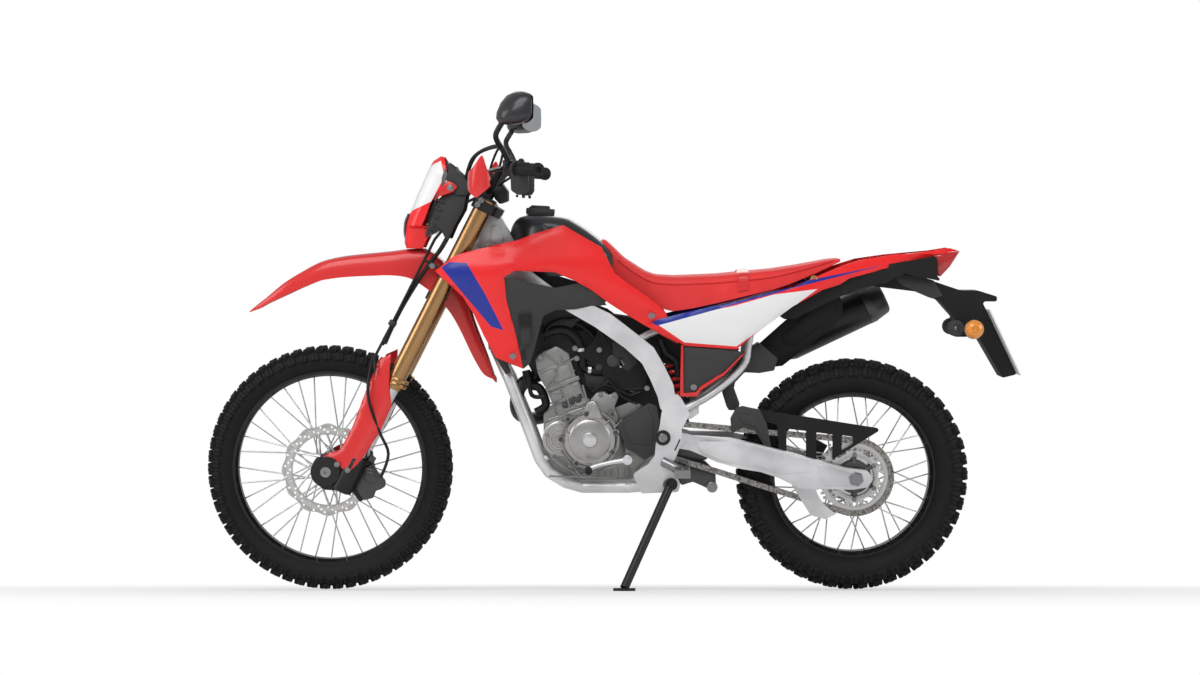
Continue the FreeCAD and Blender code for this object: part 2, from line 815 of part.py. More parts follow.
def make_fender():
    """Arched shell over the front wheel, open below."""
    half = size.fender_half_width
    whole = grid_slab(front_fender_shares, -half, half)
    inner_half = half - size.panel_wall
    hollow = grid_slab(front_fender_shares, -inner_half, inner_half)
    toward_wheel = front_axle - on_grid(-5.0, 8.0)
    hollow.translate(toward_wheel.normalize() * size.panel_wall * 2)
    plan = slab(closed_plan(fender_plan_shares), top_view, 0, 20 * grid, half / 2)
    return whole.cut(hollow).common(plan)


front_fender = make_fender()
feature("front_fender", front_fender)


def make_clamps():
    """Both clamps on their stem, with the posts that carry the fender and the bar."""
    stem = rod(Vector(0, 0, lower_clamp_bottom), Vector(0, 0, upper_clamp_top), size.stem_radius)
    shapes = [
        clamp_plate(size.lower_clamp_height, size.lower_clamp_thickness),
        clamp_plate(size.upper_clamp_height, size.upper_clamp_thickness),
        stem,
    ]
    ahead = -size.fork_offset - size.outer_tube_radius
    for side in (-1, 1):
        post = Vector(ahead, side * size.fender_half_width / 2, size.lower_clamp_height)
        shapes.append(rod(post, post - UP * size.fork_lower_end / 3, size.axle_radius))
        foot = Vector(size.bar_behind, side * size.bar_clamp_side, upper_clamp_top - size.slip)
        shapes.append(rod(foot, foot + UP * size.bar_height, size.bar_middle_radius * 1.3))
    plates = joined(*shapes)
    fit = size.outer_tube_radius + size.slip / 4
    for side in (-1, 1):
        plates = plates.cut(leg_axis(side, 0, upper_clamp_top * 2, fit))
    return placed(plates, fork_place).cut(front_fender)


# Handlebar: points from its middle to the right end.
bar_middle = fork_point(size.bar_behind, 0, upper_clamp_top + size.bar_height)
bar_end = Vector(bar_middle.x + size.bar_sweep, size.bar_half_width, bar_middle.z + size.bar_rise)
bar_bend_share = 0.42
bar_bend = Vector(
    bar_middle.x + size.bar_sweep * 0.3,
    size.bar_half_width * bar_bend_share,
    bar_middle.z + size.bar_rise * 1.1,
)
bar_corner = bar_middle + ACROSS * size.bar_half_width * 0.2


def other_side(point):
    return Vector(point.x, -point.y, point.z)


bar_route = [other_side(bar_end), other_side(bar_bend), other_side(bar_corner), bar_corner, bar_bend, bar_end]
handlebar = bent_bar(bar_route, size.bar_radius, size.bar_half_width / 4)
handlebar = joined(handlebar, rod(other_side(bar_corner), bar_corner, size.bar_middle_radius))
grip_way = (bar_end - bar_bend).normalize()
grip_start = bar_end - grip_way * size.grip_length
bar_bore_end = bar_end + grip_way * size.overrun
bar_bore = rod(bar_end - grip_way * size.grip_length, bar_bore_end, size.bar_radius * 0.7)
feature("handlebar", handlebar.cut(bar_bore).cut(mirrored(bar_bore)))
clamps = make_clamps().cut(handlebar)
feature("triple_clamps", clamps)

grip = rod(grip_start, bar_end - grip_way * size.slip, size.grip_radius)
flange = rod(grip_start, grip_start + grip_way * size.wheel_gap, size.grip_radius * 1.45)
grip_bore = rod(grip_start, bar_end + grip_way * size.overrun, size.bar_radius + size.slip / 4)
grip = joined(grip, flange).cut(grip_bore)
feature("grips", pair(grip))


def lever(start, way, length, reach):
    """Hand lever: a flat tapered bar beside the grip."""
    ahead = -REARWARD * reach
    tip = start + way * length + ahead * 0.9
    bend = start + ahead
    return joined(
        rod(start, bend, size.bar_radius * 0.7),
        rod(bend, tip, size.bar_radius * 0.6),
        ball(bend, size.bar_radius * 0.7),
        ball(tip, size.bar_radius * 0.8),
    )


def make_hand_control():
    """Switch block round the bar with the lever and its bracket."""
    inner = grip_start - grip_way * size.control_length
    outer = grip_start - grip_way * size.slip
    block = rod(inner, outer, size.grip_radius * 1.3)
    bracket_start = inner - grip_way * size.slip
    bracket_end = bracket_start - grip_way * size.control_length * 0.6
    bracket = rod(bracket_end, bracket_start + grip_way * size.overrun, size.grip_radius * 1.1)
    hand = lever((bracket_start + bracket_end) * 0.5, grip_way, size.grip_length * 1.25, size.lever_reach)
    bar_room = rod(bracket_end - grip_way * size.overrun, outer + grip_way * size.overrun,
                   size.bar_radius + size.slip / 4)
    return joined(block, bracket, hand).cut(bar_room).cut(handlebar)


hand_control = make_hand_control()
feature("hand_controls", pair(hand_control))

hand_guard_shares = (
    (-2.83, 11.94), (-2.94, 11.80), (-3.03, 11.55), (-3.21, 11.34), (-3.22, 11.28), (-3.10, 10.98),
    (-2.98, 10.81), (-2.84, 10.90), (-2.62, 11.09), (-2.69, 11.28), (-2.73, 11.57),
)


def make_hand_guard():
    """Right guard: a shield ahead of the lever on an arm from the bar."""
    near = size.guard_side - size.guard_half_width
    far = size.guard_side + size.guard_half_width
    shield = grid_slab(hand_guard_shares, near, far, size.panel_wall)
    behind = grid_slab(hand_guard_shares, near - size.overrun, far - size.panel_wall, size.panel_wall)
    behind.translate(REARWARD * size.panel_wall * 1.5)
    shield = shield.cut(behind)
    start = grip_start - grip_way * size.control_length * 2
    seat = Vector(grid * -3.17, near + size.panel_wall, grid * 11.2)
    dip = start - REARWARD * size.lever_reach * 1.1 - UP * size.lever_reach * 0.65
    arm = run_of_rods([start, dip, seat], size.wheel_gap)
    bar_room = rod(bar_bend, bar_end, size.bar_radius + size.slip)
    clamp = rod(start - grip_way * size.wheel_gap, start + grip_way * size.wheel_gap, size.grip_radius * 1.1)
    return joined(shield, arm, clamp).cut(bar_room).cut(hand_control)


feature("hand_guards", pair(make_hand_guard()))


def make_mirror():
    """Right mirror: a shell with a flat glass face to the rear, on a cranked stalk."""
    foot = grip_start - grip_way * size.control_length * 1.3 + UP * size.bar_radius
    bend = Vector(grid * -2.45, size.mirror_side - size.mirror_half_width * 0.6, grid * 12.3)
    centre = Vector(grid * -2.12, size.mirror_side, grid * 13.3)
    shell = Part.makeSphere(1)
    shape = Matrix()
    shape.scale(size.mirror_half_width * 0.62, size.mirror_half_width, size.mirror_half_width * 0.68)
    shell = shell.transformGeometry(shape)
    face = Part.makeBox(*[size.mirror_half_width * 4] * 3)
    half = size.mirror_half_width
    face.translate(Vector(half * 0.2, -half * 2, -half * 2))
    shell = shell.cut(face)
    shell.rotate(Vector(), UP, -12)
    shell.translate(centre)
    stalk = run_of_rods([foot, bend, centre - UP * size.mirror_half_width * 0.3], size.wheel_gap * 0.8)
    room = rod(bar_bend, bar_end, size.bar_radius + size.slip)
    return joined(shell, stalk).cut(room).cut(hand_control)


feature("mirrors", pair(make_mirror()))

mask_shares = (
    (-4.12, 12.08), (-4.37, 11.95), (-4.45, 11.79), (-4.71, 11.24), (-5.00, 10.52), (-5.12, 10.28),
    (-5.14, 10.08), (-5.18, 9.67), (-5.10, 9.59), (-4.51, 9.57), (-4.41, 9.81), (-4.19, 10.16),
    (-4.37, 10.80), (-4.19, 11.10), (-3.91, 11.16), (-3.86, 11.76), (-3.95, 11.95),
)
mask_plan_shares = (
    (-5.30, 0.45), (-5.05, 0.95), (-4.5, 1.18), (-3.8, 1.28),
)


mask_face_shares = ((0.72, 9.50), (0.86, 10.00), (1.12, 10.70), (1.14, 11.20), (0.86, 11.90), (0.70, 12.10))


def make_mask():
    """Number-plate style mask in front of the fork, hollow behind."""
    half = size.lamp_half_width * 1.45
    plan = [(x * grid, y * grid) for x, y in mask_plan_shares]
    plan += [(x, -y) for x, y in reversed(plan)]
    low = 9 * grid
    whole = grid_slab(mask_shares, -half, half, size.panel_wall).common(
        slab(plan, top_view, low, low + 4 * grid, size.panel_wall * 3)
    )
    face = [(y * grid, z * grid) for y, z in mask_face_shares]
    face += [(-y, z) for y, z in reversed(face)]
    whole = whole.common(slab(face, front_view, -6 * grid, -3 * grid, size.lamp_half_width / 3))
    hollow = whole.copy()
    hollow.translate(back * size.panel_wall * 1.5)
    return whole.cut(hollow)


mask = make_mask()
lamp_centre = Vector(grid * -4.75, 0, grid * 10.35)
lamp_way = Vector(-1, 0, 0.12).normalize()
lamp_back = lamp_centre - lamp_way * size.lamp_half_width * 0.7
lamp_front = lamp_centre + lamp_way * size.lamp_half_width * 0.5
lamp = rod(lamp_back, lamp_front, size.lamp_half_width * 0.72)
feature("headlight_mask", mask.cut(lamp))


def make_lamp():
    """Round lamp behind the mask on a cross bar held against both fork tubes."""
    height = upper_clamp_bottom - size.lamp_half_width
    bar_behind_axis = -size.fork_offset - size.outer_tube_radius - size.stem_radius * 0.8
    cross = rod(
        fork_point(bar_behind_axis, -size.fork_spread, height),
        fork_point(bar_behind_axis, size.fork_spread, height),
        size.stem_radius,
    )
    stay = rod(lamp_centre, fork_point(bar_behind_axis, 0, height), size.stem_radius)
    room = size.outer_tube_radius + size.slip / 4
    tubes = [placed(leg_axis(side, 0, tube_top, room), fork_place) for side in (-1, 1)]
    whole = joined(lamp, stay, cross).cut(Part.makeCompound(tubes)).cut(mask.cut(lamp))
    return whole.cut(clamps).cut(front_fender)


feature("headlamp", make_lamp())


# Frame.
head_bore_radius = size.stem_radius + size.slip * 2
head_low = lower_clamp_top + size.slip * 3
head_high = upper_clamp_bottom - size.slip * 3
spar_outer_side = size.spar_inner_side + size.spar_width

spar_shares = (
    (-3.10, 9.70), (-2.00, 9.20), (-0.50, 8.10), (0.11, 7.98), (0.54, 7.77), (1.18, 7.28), (1.72, 6.85),
    (2.00, 6.37), (2.26, 5.83), (2.34, 5.30), (1.94, 5.00), (1.83, 5.50), (1.62, 5.99), (1.40, 6.42),
    (0.92, 6.85), (0.11, 7.42), (-0.90, 8.00), (-2.20, 8.60), (-3.25, 8.95),
)
pivot_plate_shares = (
    (1.94, 5.08), (2.34, 5.62), (2.49, 5.44), (2.72, 5.03), (2.49, 4.61), (2.51, 4.29), (2.31, 3.79),
    (2.14, 3.55), (2.34, 3.34), (2.46, 3.10), (2.40, 2.88), (1.38, 2.84), (1.15, 3.37), (1.57, 3.65),
    (1.75, 3.88), (1.78, 4.20), (1.89, 4.71),
)
swing_pivot = on_grid(1.97, 4.38)
upper_tie = on_grid(2.02, 5.85)
lower_tie = on_grid(2.20, 3.05)
engine_bolt = on_grid(1.32, 3.08)
front_engine_bolt = on_grid(-1.22, 3.75)


def fan(radius, half_angle, low, high):
    """Round plate about the steering axis, open behind it past half_angle from the front."""
    plate = Part.makeCylinder(radius, high - low, Vector(0, 0, low), UP, 2 * half_angle)
    plate.rotate(Vector(0, 0, 0), UP, 180 - half_angle)
    return plate


def steering_room():
    """What the turning clamps and fork legs sweep behind the headstock, and no more."""
    reach = math.hypot(size.fork_offset, size.fork_spread)
    leg_angle = math.degrees(math.atan2(size.fork_spread, size.fork_offset)) + size.steering_range
    leg_room = size.outer_tube_radius + size.wheel_gap
    clamp_reach = reach + leg_room + size.clamp_wall
    low = lower_clamp_bottom - size.wheel_gap
    high = tube_top + size.wheel_gap
    legs = fan(reach + leg_room, leg_angle + math.degrees(math.asin(leg_room / reach)), low, high)
    legs = legs.cut(rod(Vector(0, 0, low), Vector(0, 0, high), reach - leg_room))
    stem_room = size.stem_radius * 4 + size.wheel_gap
    shapes = [legs]
    for start, end in ((low, head_low + size.wheel_gap), (head_high - size.wheel_gap, high)):
        shapes.append(fan(clamp_reach, size.clamp_sweep, start, end))
        shapes.append(rod(Vector(0, 0, start), Vector(0, 0, end), stem_room))
    return placed(joined(*shapes), fork_place)


turning_room = steering_room()


def make_frame():
    """Headstock, twin spars, pivot plates, down tubes and cradle in one piece."""
    head = placed(
        rod(Vector(0, 0, head_low), Vector(0, 0, head_high), size.head_tube_radius), fork_place
    )
    head_point = fork_point(0, 0, (head_low + head_high) / 2)
    near = size.head_tube_radius * 0.4
    inner = size.spar_inner_side
    outer = spar_outer_side
    plan = [
        (head_point.x - near / 2, near),
        (grid * -1.6, inner),
        (grid * 3, inner),
        (grid * 3, outer),
        (grid * -1.4, outer),
        (head_point.x - near / 2, near + size.spar_width),
    ]
    spar = grid_slab(spar_shares, 0, outer * 2, size.spar_width).common(
        slab(plan, top_view, 0, grid * 12, size.spar_width * 2)
    )
    plate = grid_slab(pivot_plate_shares, inner, outer, size.spar_width / 3)
    down_start = fork_point(0, 0, head_low + size.down_tube_radius * 2.4)
    down_bend = fork_point(size.head_tube_radius * 2.8, 0, head_low)
    fork_of_tubes = on_grid(-2.66, 6.75)
    route = [
        fork_of_tubes,
        on_grid(-2.26, 5.95) + ACROSS * size.cradle_side * 0.75,
        on_grid(-1.75, 4.66) + ACROSS * size.cradle_side,
        on_grid(-1.41, 3.74) + ACROSS * size.cradle_side,
        on_grid(-1.15, 3.37) + ACROSS * size.cradle_side,
        on_grid(-0.69, 3.09) + ACROSS * size.cradle_side,
        on_grid(-0.23, 2.96) + ACROSS * size.cradle_side,
        on_grid(1.00, 2.96) + ACROSS * size.cradle_side,
        on_grid(1.65, 3.05) + ACROSS * (inner + size.spar_width / 2),
    ]
    tubes = run_of_rods(route, size.down_tube_radius)
    half = joined(spar, plate, tubes)
    ties = [
        cross_rod(point, inner, radius)
        for point, radius in (
            (upper_tie, size.down_tube_radius),
            (lower_tie, size.down_tube_radius * 0.8),
            (engine_bolt, size.pivot_bolt_radius * 0.6),
        )
    ]
    pivot = cross_rod(swing_pivot, outer + size.wheel_gap, size.pivot_bolt_radius)
    bolt_half = size.cradle_side
    front_bolt = rod(front_engine_bolt - ACROSS * bolt_half, front_engine_bolt + ACROSS * bolt_half,
                     size.pivot_bolt_radius * 0.6)
    lugs = [
        rod(front_engine_bolt + ACROSS * side * bolt_half, on_grid(-1.43, 3.80) + ACROSS * side * bolt_half,
            size.down_tube_radius * 0.6)
        for side in (-1, 1)
    ]
    main_tube = run_of_rods([down_start, down_bend, fork_of_tubes], size.down_tube_radius * 1.2)
    whole = joined(half, mirrored(half), head, main_tube, *ties, pivot, front_bolt, *lugs)
    bore = placed(
        rod(Vector(0, 0, head_low - size.overrun), Vector(0, 0, head_high + size.overrun), head_bore_radius),
        fork_place,
    )
    return whole.cut(turning_room).fuse(head).cut(bore).removeSplitter()


frame = make_frame()
feature("main_frame", frame)


# Engine.
crankcase_shares = (
    (-1.31, 4.95), (-1.00, 5.20), (-0.14, 5.45), (0.40, 5.05), (1.05, 5.30), (1.70, 5.10), (1.80, 4.60),
    (1.66, 4.15), (1.55, 3.70), (1.20, 3.30), (0.90, 3.16), (-1.00, 3.16), (-1.31, 3.50),
)
cylinder_shares = ((-1.00, 5.20), (-0.14, 5.45), (-0.36, 6.15), (-1.40, 6.02), (-1.22, 5.60))
head_shares = ((-1.40, 6.02), (-0.36, 6.15), (-0.44, 6.41), (-0.51, 6.74), (-0.88, 6.95), (-1.38, 6.72),
               (-1.63, 6.30))
generator_centre = on_grid(-0.04, 4.31)
clutch_centre = on_grid(0.15, 4.25)


def make_crankcase():
    """Both halves of the case with the raised seats of the two side covers."""
    case = grid_slab(crankcase_shares, -size.case_left_side, size.case_right_side, size.wheel_gap)
    left = generator_centre - ACROSS * size.case_left_side
    left_seat = rod(left, left - ACROSS * size.generator_radius * 0.5, size.generator_radius * 1.08)
    right = clutch_centre + ACROSS * size.case_right_side
    right_seat = rod(right, right + ACROSS * size.generator_radius * 0.15, size.clutch_radius * 1.04)
    whole = joined(case, left_seat, right_seat)
    for point in (engine_bolt, front_engine_bolt):
        room = cross_rod(point, grid * 2, size.pivot_bolt_radius * 0.6 + size.slip)
        whole = whole.cut(room)
    pivot_room = size.pivot_bolt_radius * 2.4 + size.slip * 2
    return whole.cut(cross_rod(swing_pivot, grid, pivot_room))


crankcase = make_crankcase().cut(frame)
feature("crankcase", crankcase)
cylinder = grid_slab(cylinder_shares, -size.cylinder_half_width * 0.9, size.cylinder_half_width * 0.9)
cylinder_top = grid_slab(head_shares, -size.cylinder_half_width, size.cylinder_half_width, size.wheel_gap)
cylinder_head = joined(cylinder.cut(crankcase), cylinder_top)
feature("cylinder_head", cylinder_head)


def side_cover(centre, start, end, radius, cap_radius):
    """Round engine cover with a sloping rim and a raised middle."""
    way = end - start
    line = ACROSS * (1 if way > 0 else -1)
    depth = abs(way)
    foot = centre + ACROSS * start
    dome = Part.makeCone(radius, radius * 0.86, depth * 0.55, foot + line * depth * 0.45, line)
    return joined(
        rod(foot, foot + line * depth * 0.45, radius),
        dome,
        rod(foot, foot + line * (depth + size.panel_wall), cap_radius),
    )


generator_start = -size.case_left_side - size.generator_radius * 0.5
clutch_start = size.case_right_side + size.generator_radius * 0.15
generator_cover = side_cover(
    generator_centre, generator_start, -size.generator_side, size.generator_radius, size.generator_radius / 4
)
small_centre = on_grid(-0.90, 4.22)
small_cover = side_cover(
    small_centre,
    generator_start,
    -size.generator_side * 0.85,
    size.generator_radius * 0.62,
    size.generator_radius / 5,
)
generator_cover = joined(generator_cover, small_cover)
clutch_cover = side_cover(
    clutch_centre, clutch_start, size.clutch_side, size.clutch_radius, size.clutch_radius / 4
)
feature("engine_covers", Part.makeCompound([generator_cover, clutch_cover]))

sprocket_cover_shares = (
    (0.78, 4.80), (1.78, 5.22), (1.86, 5.05), (1.85, 4.66), (1.78, 4.34), (1.71, 3.83), (1.57, 3.72),
    (0.92, 3.92), (0.76, 4.20),
)


def make_sprocket_cover():
    """Outer plate over the drive sprocket, standing on the case ahead of the chain."""
    outer = size.spar_inner_side + size.panel_wall * 3
    plate = grid_slab(sprocket_cover_shares, -outer, -outer + size.panel_wall * 3, size.wheel_gap)
    feet = [
        rod(on_grid(x, z) - ACROSS * size.case_left_side, on_grid(x, z) - ACROSS * outer, size.wheel_gap)
        for x, z in ((0.88, 4.72), (0.86, 4.08))
    ]
    seat_room = rod(
        generator_centre - ACROSS * size.case_left_side,
        generator_centre - ACROSS * size.generator_side * 2,
        size.generator_radius * 1.08 + size.slip,
    )
    return joined(plate, *feet).cut(seat_room).cut(frame)


feature("sprocket_cover", make_sprocket_cover())

exhaust_route = [
    on_grid(-1.50, 6.00),
    on_grid(-2.02, 5.72) + ACROSS * size.case_left_side * 0.2,
    on_grid(-2.14, 4.90) + ACROSS * size.case_left_side * 0.75,
    on_grid(-1.55, 4.60) + ACROSS * size.clutch_side * 1.10,
    on_grid(0.20, 5.45) + ACROSS * size.clutch_side * 1.12,
    on_grid(2.40, 5.85) + ACROSS * size.clutch_side * 1.14,
    on_grid(3.60, 6.10) + ACROSS * size.muffler_side,
    on_grid(4.90, 6.62) + ACROSS * size.muffler_side,
]
exhaust_pipe = bent_bar(exhaust_route, size.exhaust_radius, size.exhaust_radius * 4)
muffler_start = on_grid(4.72, 6.45) + ACROSS * size.muffler_side
muffler_end = on_grid(8.30, 8.15) + ACROSS * size.muffler_side


def make_muffler():
    """Tapered can with an end cap and a short outlet."""
    way = (muffler_end - muffler_start).normalize()
    length = (muffler_end - muffler_start).Length
    cone = length * 0.25
    radius = size.muffler_radius
    front = Part.makeCone(size.exhaust_radius * 1.5, radius, cone, muffler_start, way)
    can = rod(muffler_start + way * cone, muffler_end - way * cone * 0.4, radius)
    cap = Part.makeCone(radius, radius * 0.7, cone * 0.4, muffler_end - way * cone * 0.4, way)
    outlet = rod(muffler_end - way * cone, muffler_end + way * radius * 0.3, size.exhaust_radius)
    bore = rod(muffler_end - way * cone, muffler_end + way * radius, size.exhaust_radius - size.panel_wall)
    return joined(front, can, cap, outlet).cut(bore)


muffler = make_muffler()
for neighbour in (muffler, cylinder_head, crankcase, clutch_cover, frame):
    exhaust_pipe = exhaust_pipe.cut(neighbour)
feature("exhaust_pipe", exhaust_pipe)
feature("muffler", muffler)

# Radiators, one each side of the down tube.
radiator_shares = ((-2.42, 8.55), (-2.10, 8.62), (-1.75, 6.55), (-2.07, 6.48))


def make_radiators():
    """Left and right cores joined by their hose in front of the cylinder head."""
    inner = size.cradle_side - size.slip
    core = grid_slab(radiator_shares, inner, inner + size.radiator_half_width, size.panel_wall)
    return core.cut(frame)


radiator = make_radiators()
feature("radiator", pair(radiator))

radiator_cover_shares = (
    (-1.56, 8.41), (-0.97, 8.51), (-0.27, 8.63), (0.43, 8.01), (0.00, 7.98), (-0.43, 7.90), (-0.97, 7.88),
    (-1.29, 7.71), (-1.34, 7.55), (-1.43, 7.23), (-1.56, 6.75), (-1.67, 6.42), (-1.83, 6.31), (-2.59, 6.56),
    (-2.75, 7.00), (-2.60, 7.60), (-2.20, 8.20),
)
radiator_outer = size.cradle_side + size.radiator_half_width + size.wheel_gap


def make_radiator_cover():
    """Black louvred panel outside the radiator, with an arm back along the spar."""
    low = radiator_outer
    panel = grid_slab(radiator_cover_shares, low, low + size.panel_wall * 2, size.wheel_gap)
    slots = []
    slot_count = 3
    for index in range(slot_count):
        lean = index * 0.16
        outline = (
            (-2.45 + lean * 0.5, 7.90 - index * 0.36),
            (-1.62 + lean * 0.6, 7.80 - index * 0.36),
            (-1.66 + lean * 0.6, 7.60 - index * 0.36),
            (-2.42 + lean * 0.5, 7.70 - index * 0.36),
        )
        slots.append(grid_slab(outline, low - size.overrun, low + size.panel_wall * 2 + size.overrun))
    for slot in slots:
        panel = panel.cut(slot)
    foot = on_grid(-2.05, 7.5)
    stay = rod(foot + ACROSS * (radiator_outer - size.wheel_gap * 3), foot + ACROSS * low, size.wheel_gap)
    return joined(panel, stay.cut(radiator))


radiator_cover = make_radiator_cover()
feature("radiator_covers", pair(radiator_cover))

# Tank, shrouds, seat.
tank_shares = (
    (-2.34, 10.12), (-2.04, 10.44), (-1.86, 10.48), (-1.42, 10.48), (-0.71, 10.42), (-0.51, 10.32),
    (0.00, 10.00), (0.16, 9.88), (0.45, 9.62), (0.62, 9.00), (0.85, 8.40), (-0.30, 8.36), (-1.60, 8.90),
    (-2.30, 9.40),
)
tank_plan_shares = ((-2.34, 0.55), (-2.00, 0.86), (-1.20, 1.06), (-0.20, 1.02), (0.45, 0.82), (0.95, 0.70))


def make_tank():
    plan = slab(closed_plan(tank_plan_shares), top_view, 0, 20 * grid, size.tank_half_width / 4)
    half = size.tank_half_width
    cross = [
        (-half, 8 * grid),
        (half, 8 * grid),
        (half, 9.7 * grid),
        (half * 0.6, 10.6 * grid),
        (-half * 0.6, 10.6 * grid),
        (-half, 9.7 * grid),
    ]
    section = slab(cross, front_view, -4 * grid, 4 * grid, half / 2)
    whole = grid_slab(tank_shares, -half, half, size.wheel_gap).common(plan).common(section)
    return whole.cut(frame).cut(turning_room)


tank = make_tank()
cap_foot = on_grid(-1.41, 10.40)
cap_top = on_grid(-1.41, 10.74)
cap = rod(cap_foot, cap_top, size.tank_half_width * 0.34)
cap_room = rod(cap_foot, cap_foot + UP * grid, size.tank_half_width * 0.34)
feature("fuel_tank", tank.cut(cap_room))
feature("fuel_cap", cap)

shroud_shares = (
    (-4.24, 8.95), (-3.75, 9.34), (-3.50, 9.44), (-2.50, 9.68), (-2.00, 9.79), (-1.50, 9.98), (-0.75, 10.20),
    (-0.43, 10.01), (0.30, 9.59), (0.48, 9.22), (0.65, 8.90), (1.00, 8.63), (1.50, 8.28), (1.89, 7.98),
    (2.05, 7.82), (2.40, 6.94), (2.00, 7.15), (1.50, 7.44), (1.00, 7.74), (0.50, 8.06), (0.00, 8.44),
    (-0.43, 8.68), (-0.97, 8.92), (-2.05, 8.96), (-2.35, 8.80), (-2.29, 8.15), (-2.10, 7.45), (-1.97, 6.91),
    (-1.85, 6.28), (-2.59, 6.59), (-2.91, 7.18), (-3.18, 7.77), (-3.48, 8.25),
)
shroud_plan_shares = (
    (-4.40, 1.50), (-3.40, 1.66), (-2.20, 1.66), (-1.00, 1.46), (0.40, 1.30), (1.60, 1.24), (2.60, 1.22),
)


def band(shares, wall):
    """Upright wall along a plan line: its outer face on the line, its wall inward."""
    outer = [(x * grid, y * grid) for x, y in shares]
    inner = [(x, y - wall) for x, y in reversed(outer)]
    return slab(outer + inner, top_view, 0, 20 * grid)


def make_shroud():
    panel = grid_slab(shroud_shares, 0, size.shroud_half_width, size.panel_wall)
    return panel.common(band(shroud_plan_shares, size.panel_wall)).cut(radiator_cover)


shroud = make_shroud()
shroud_stays = []
for x, z, reach in ((-1.2, 9.5, 0.95 * grid), (0.2, 9.0, 0.9 * grid), (1.72, 7.71, spar_outer_side)):
    foot = on_grid(x, z)
    shroud_stays.append(rod(foot + ACROSS * reach, foot + ACROSS * size.shroud_half_width, size.wheel_gap))
shroud_room_shares = ((-9, 0), (-9, 1.50)) + shroud_plan_shares + ((9, 1.22), (9, 0))
shroud_room_plan = [(x * grid, y * grid) for x, y in shroud_room_shares]
shroud_room = grid_slab(shroud_shares, 0, size.shroud_half_width * 2).common(
    slab(shroud_room_plan, top_view, 0, 20 * grid)
)
shroud_whole = joined(shroud, *[stay.common(shroud_room) for stay in shroud_stays]).cut(tank)
feature("tank_shrouds", pair(shroud_whole))

seat_shares = (
    (0.34, 9.80), (0.50, 9.71), (0.92, 9.30), (1.50, 8.93), (1.78, 8.83), (2.26, 8.80), (3.07, 8.83),
    (3.50, 8.85), (4.00, 8.90), (4.36, 8.94), (5.00, 8.99), (5.67, 9.09), (6.61, 9.26), (6.88, 9.26),
    (6.82, 9.12), (6.21, 8.86), (5.47, 8.56), (5.00, 8.40), (4.50, 8.29), (3.52, 8.05), (2.85, 7.90),
    (2.24, 7.80), (2.00, 7.85), (1.89, 7.98), (1.50, 8.20), (1.00, 8.50), (0.70, 8.80),
)
seat_plan_shares = (
    (0.30, 0.50), (0.90, 0.62), (1.80, 0.86), (2.80, 1.04), (4.40, 1.04), (5.60, 0.94), (6.95, 0.72),
)
seat = grid_slab(seat_shares, -size.seat_half_width, size.seat_half_width, size.wheel_gap).common(
    slab(closed_plan(seat_plan_shares), top_view, 0, 20 * grid, size.seat_half_width / 4)
)
feature("seat", seat.cut(tank).cut(pair(shroud_whole)))

side_cover_shares = (
    (1.50, 7.45), (1.84, 7.62), (2.75, 7.85), (3.99, 8.11), (5.00, 8.38), (5.54, 8.50), (6.21, 8.80),
    (6.81, 9.05), (7.40, 9.24), (8.20, 9.36), (9.44, 9.48), (9.90, 9.56), (9.98, 9.50), (9.58, 9.36),
    (8.97, 9.23), (7.09, 8.73), (6.82, 8.56), (6.35, 8.42), (5.54, 7.98), (4.53, 7.24), (3.99, 6.80),
    (2.58, 6.90), (2.51, 6.94),
)
side_plan_shares = (
    (1.30, 1.16), (2.40, 1.20), (4.00, 1.20), (5.60, 1.10), (6.90, 0.92), (8.40, 0.72), (10.10, 0.40),
)


def make_side_cover():
    panel = grid_slab(side_cover_shares, 0, size.tail_half_width * 2, size.panel_wall)
    return panel.common(band(side_plan_shares, size.panel_wall * 1.5))


side_panel = make_side_cover().cut(seat).cut(shroud_whole)
feature("side_covers", pair(side_panel))

# Rear frame, intake and tail.
rail_side = size.seat_half_width * 0.55


def make_subframe():
    """Upper rails with a tail loop, and the struts up from the pivot plates."""
    inner = size.spar_inner_side - size.rail_radius
    upper = [
        on_grid(1.30, 7.05) + ACROSS * inner,
        on_grid(2.30, 7.45) + ACROSS * rail_side,
        on_grid(5.20, 8.05) + ACROSS * rail_side,
        on_grid(7.60, 8.85) + ACROSS * rail_side * 0.8,
    ]
    lower = [
        on_grid(2.38, 5.05) + ACROSS * (size.spar_inner_side + size.spar_width / 2),
        on_grid(3.37, 5.58) + ACROSS * (size.spar_inner_side - size.rail_radius),
        on_grid(5.60, 7.60) + ACROSS * rail_side,
        on_grid(5.90, 8.24) + ACROSS * rail_side,
    ]
    half = joined(run_of_rods(upper, size.rail_radius), run_of_rods(lower, size.rail_radius))
    ties = []
    for point in (on_grid(2.30, 7.45), on_grid(5.20, 8.05), on_grid(7.60, 8.85)):
        reach = ACROSS * rail_side * (0.8 if point.x > 7 * grid else 1)
        ties.append(rod(point - reach, point + reach, size.rail_radius * 0.9))
    return joined(half, mirrored(half), *ties).cut(frame).cut(seat)


subframe = make_subframe()
feature("seat_subframe", subframe)

intake_shares = (
    (-0.30, 6.60), (0.10, 7.05), (0.35, 7.75), (1.70, 7.55), (3.40, 7.55), (3.40, 6.60), (2.75, 6.30),
    (1.70, 6.40), (1.45, 5.60), (0.45, 5.60), (0.30, 6.20),
)


def make_intake():
    """Throttle body and air box between the spars."""
    half = size.cylinder_half_width * 0.85
    whole = grid_slab(intake_shares, -half, half, size.wheel_gap)
    return whole.cut(cylinder_head).cut(frame).cut(subframe).cut(seat).cut(tank).cut(crankcase)


intake = make_intake()
feature("intake_box", intake)

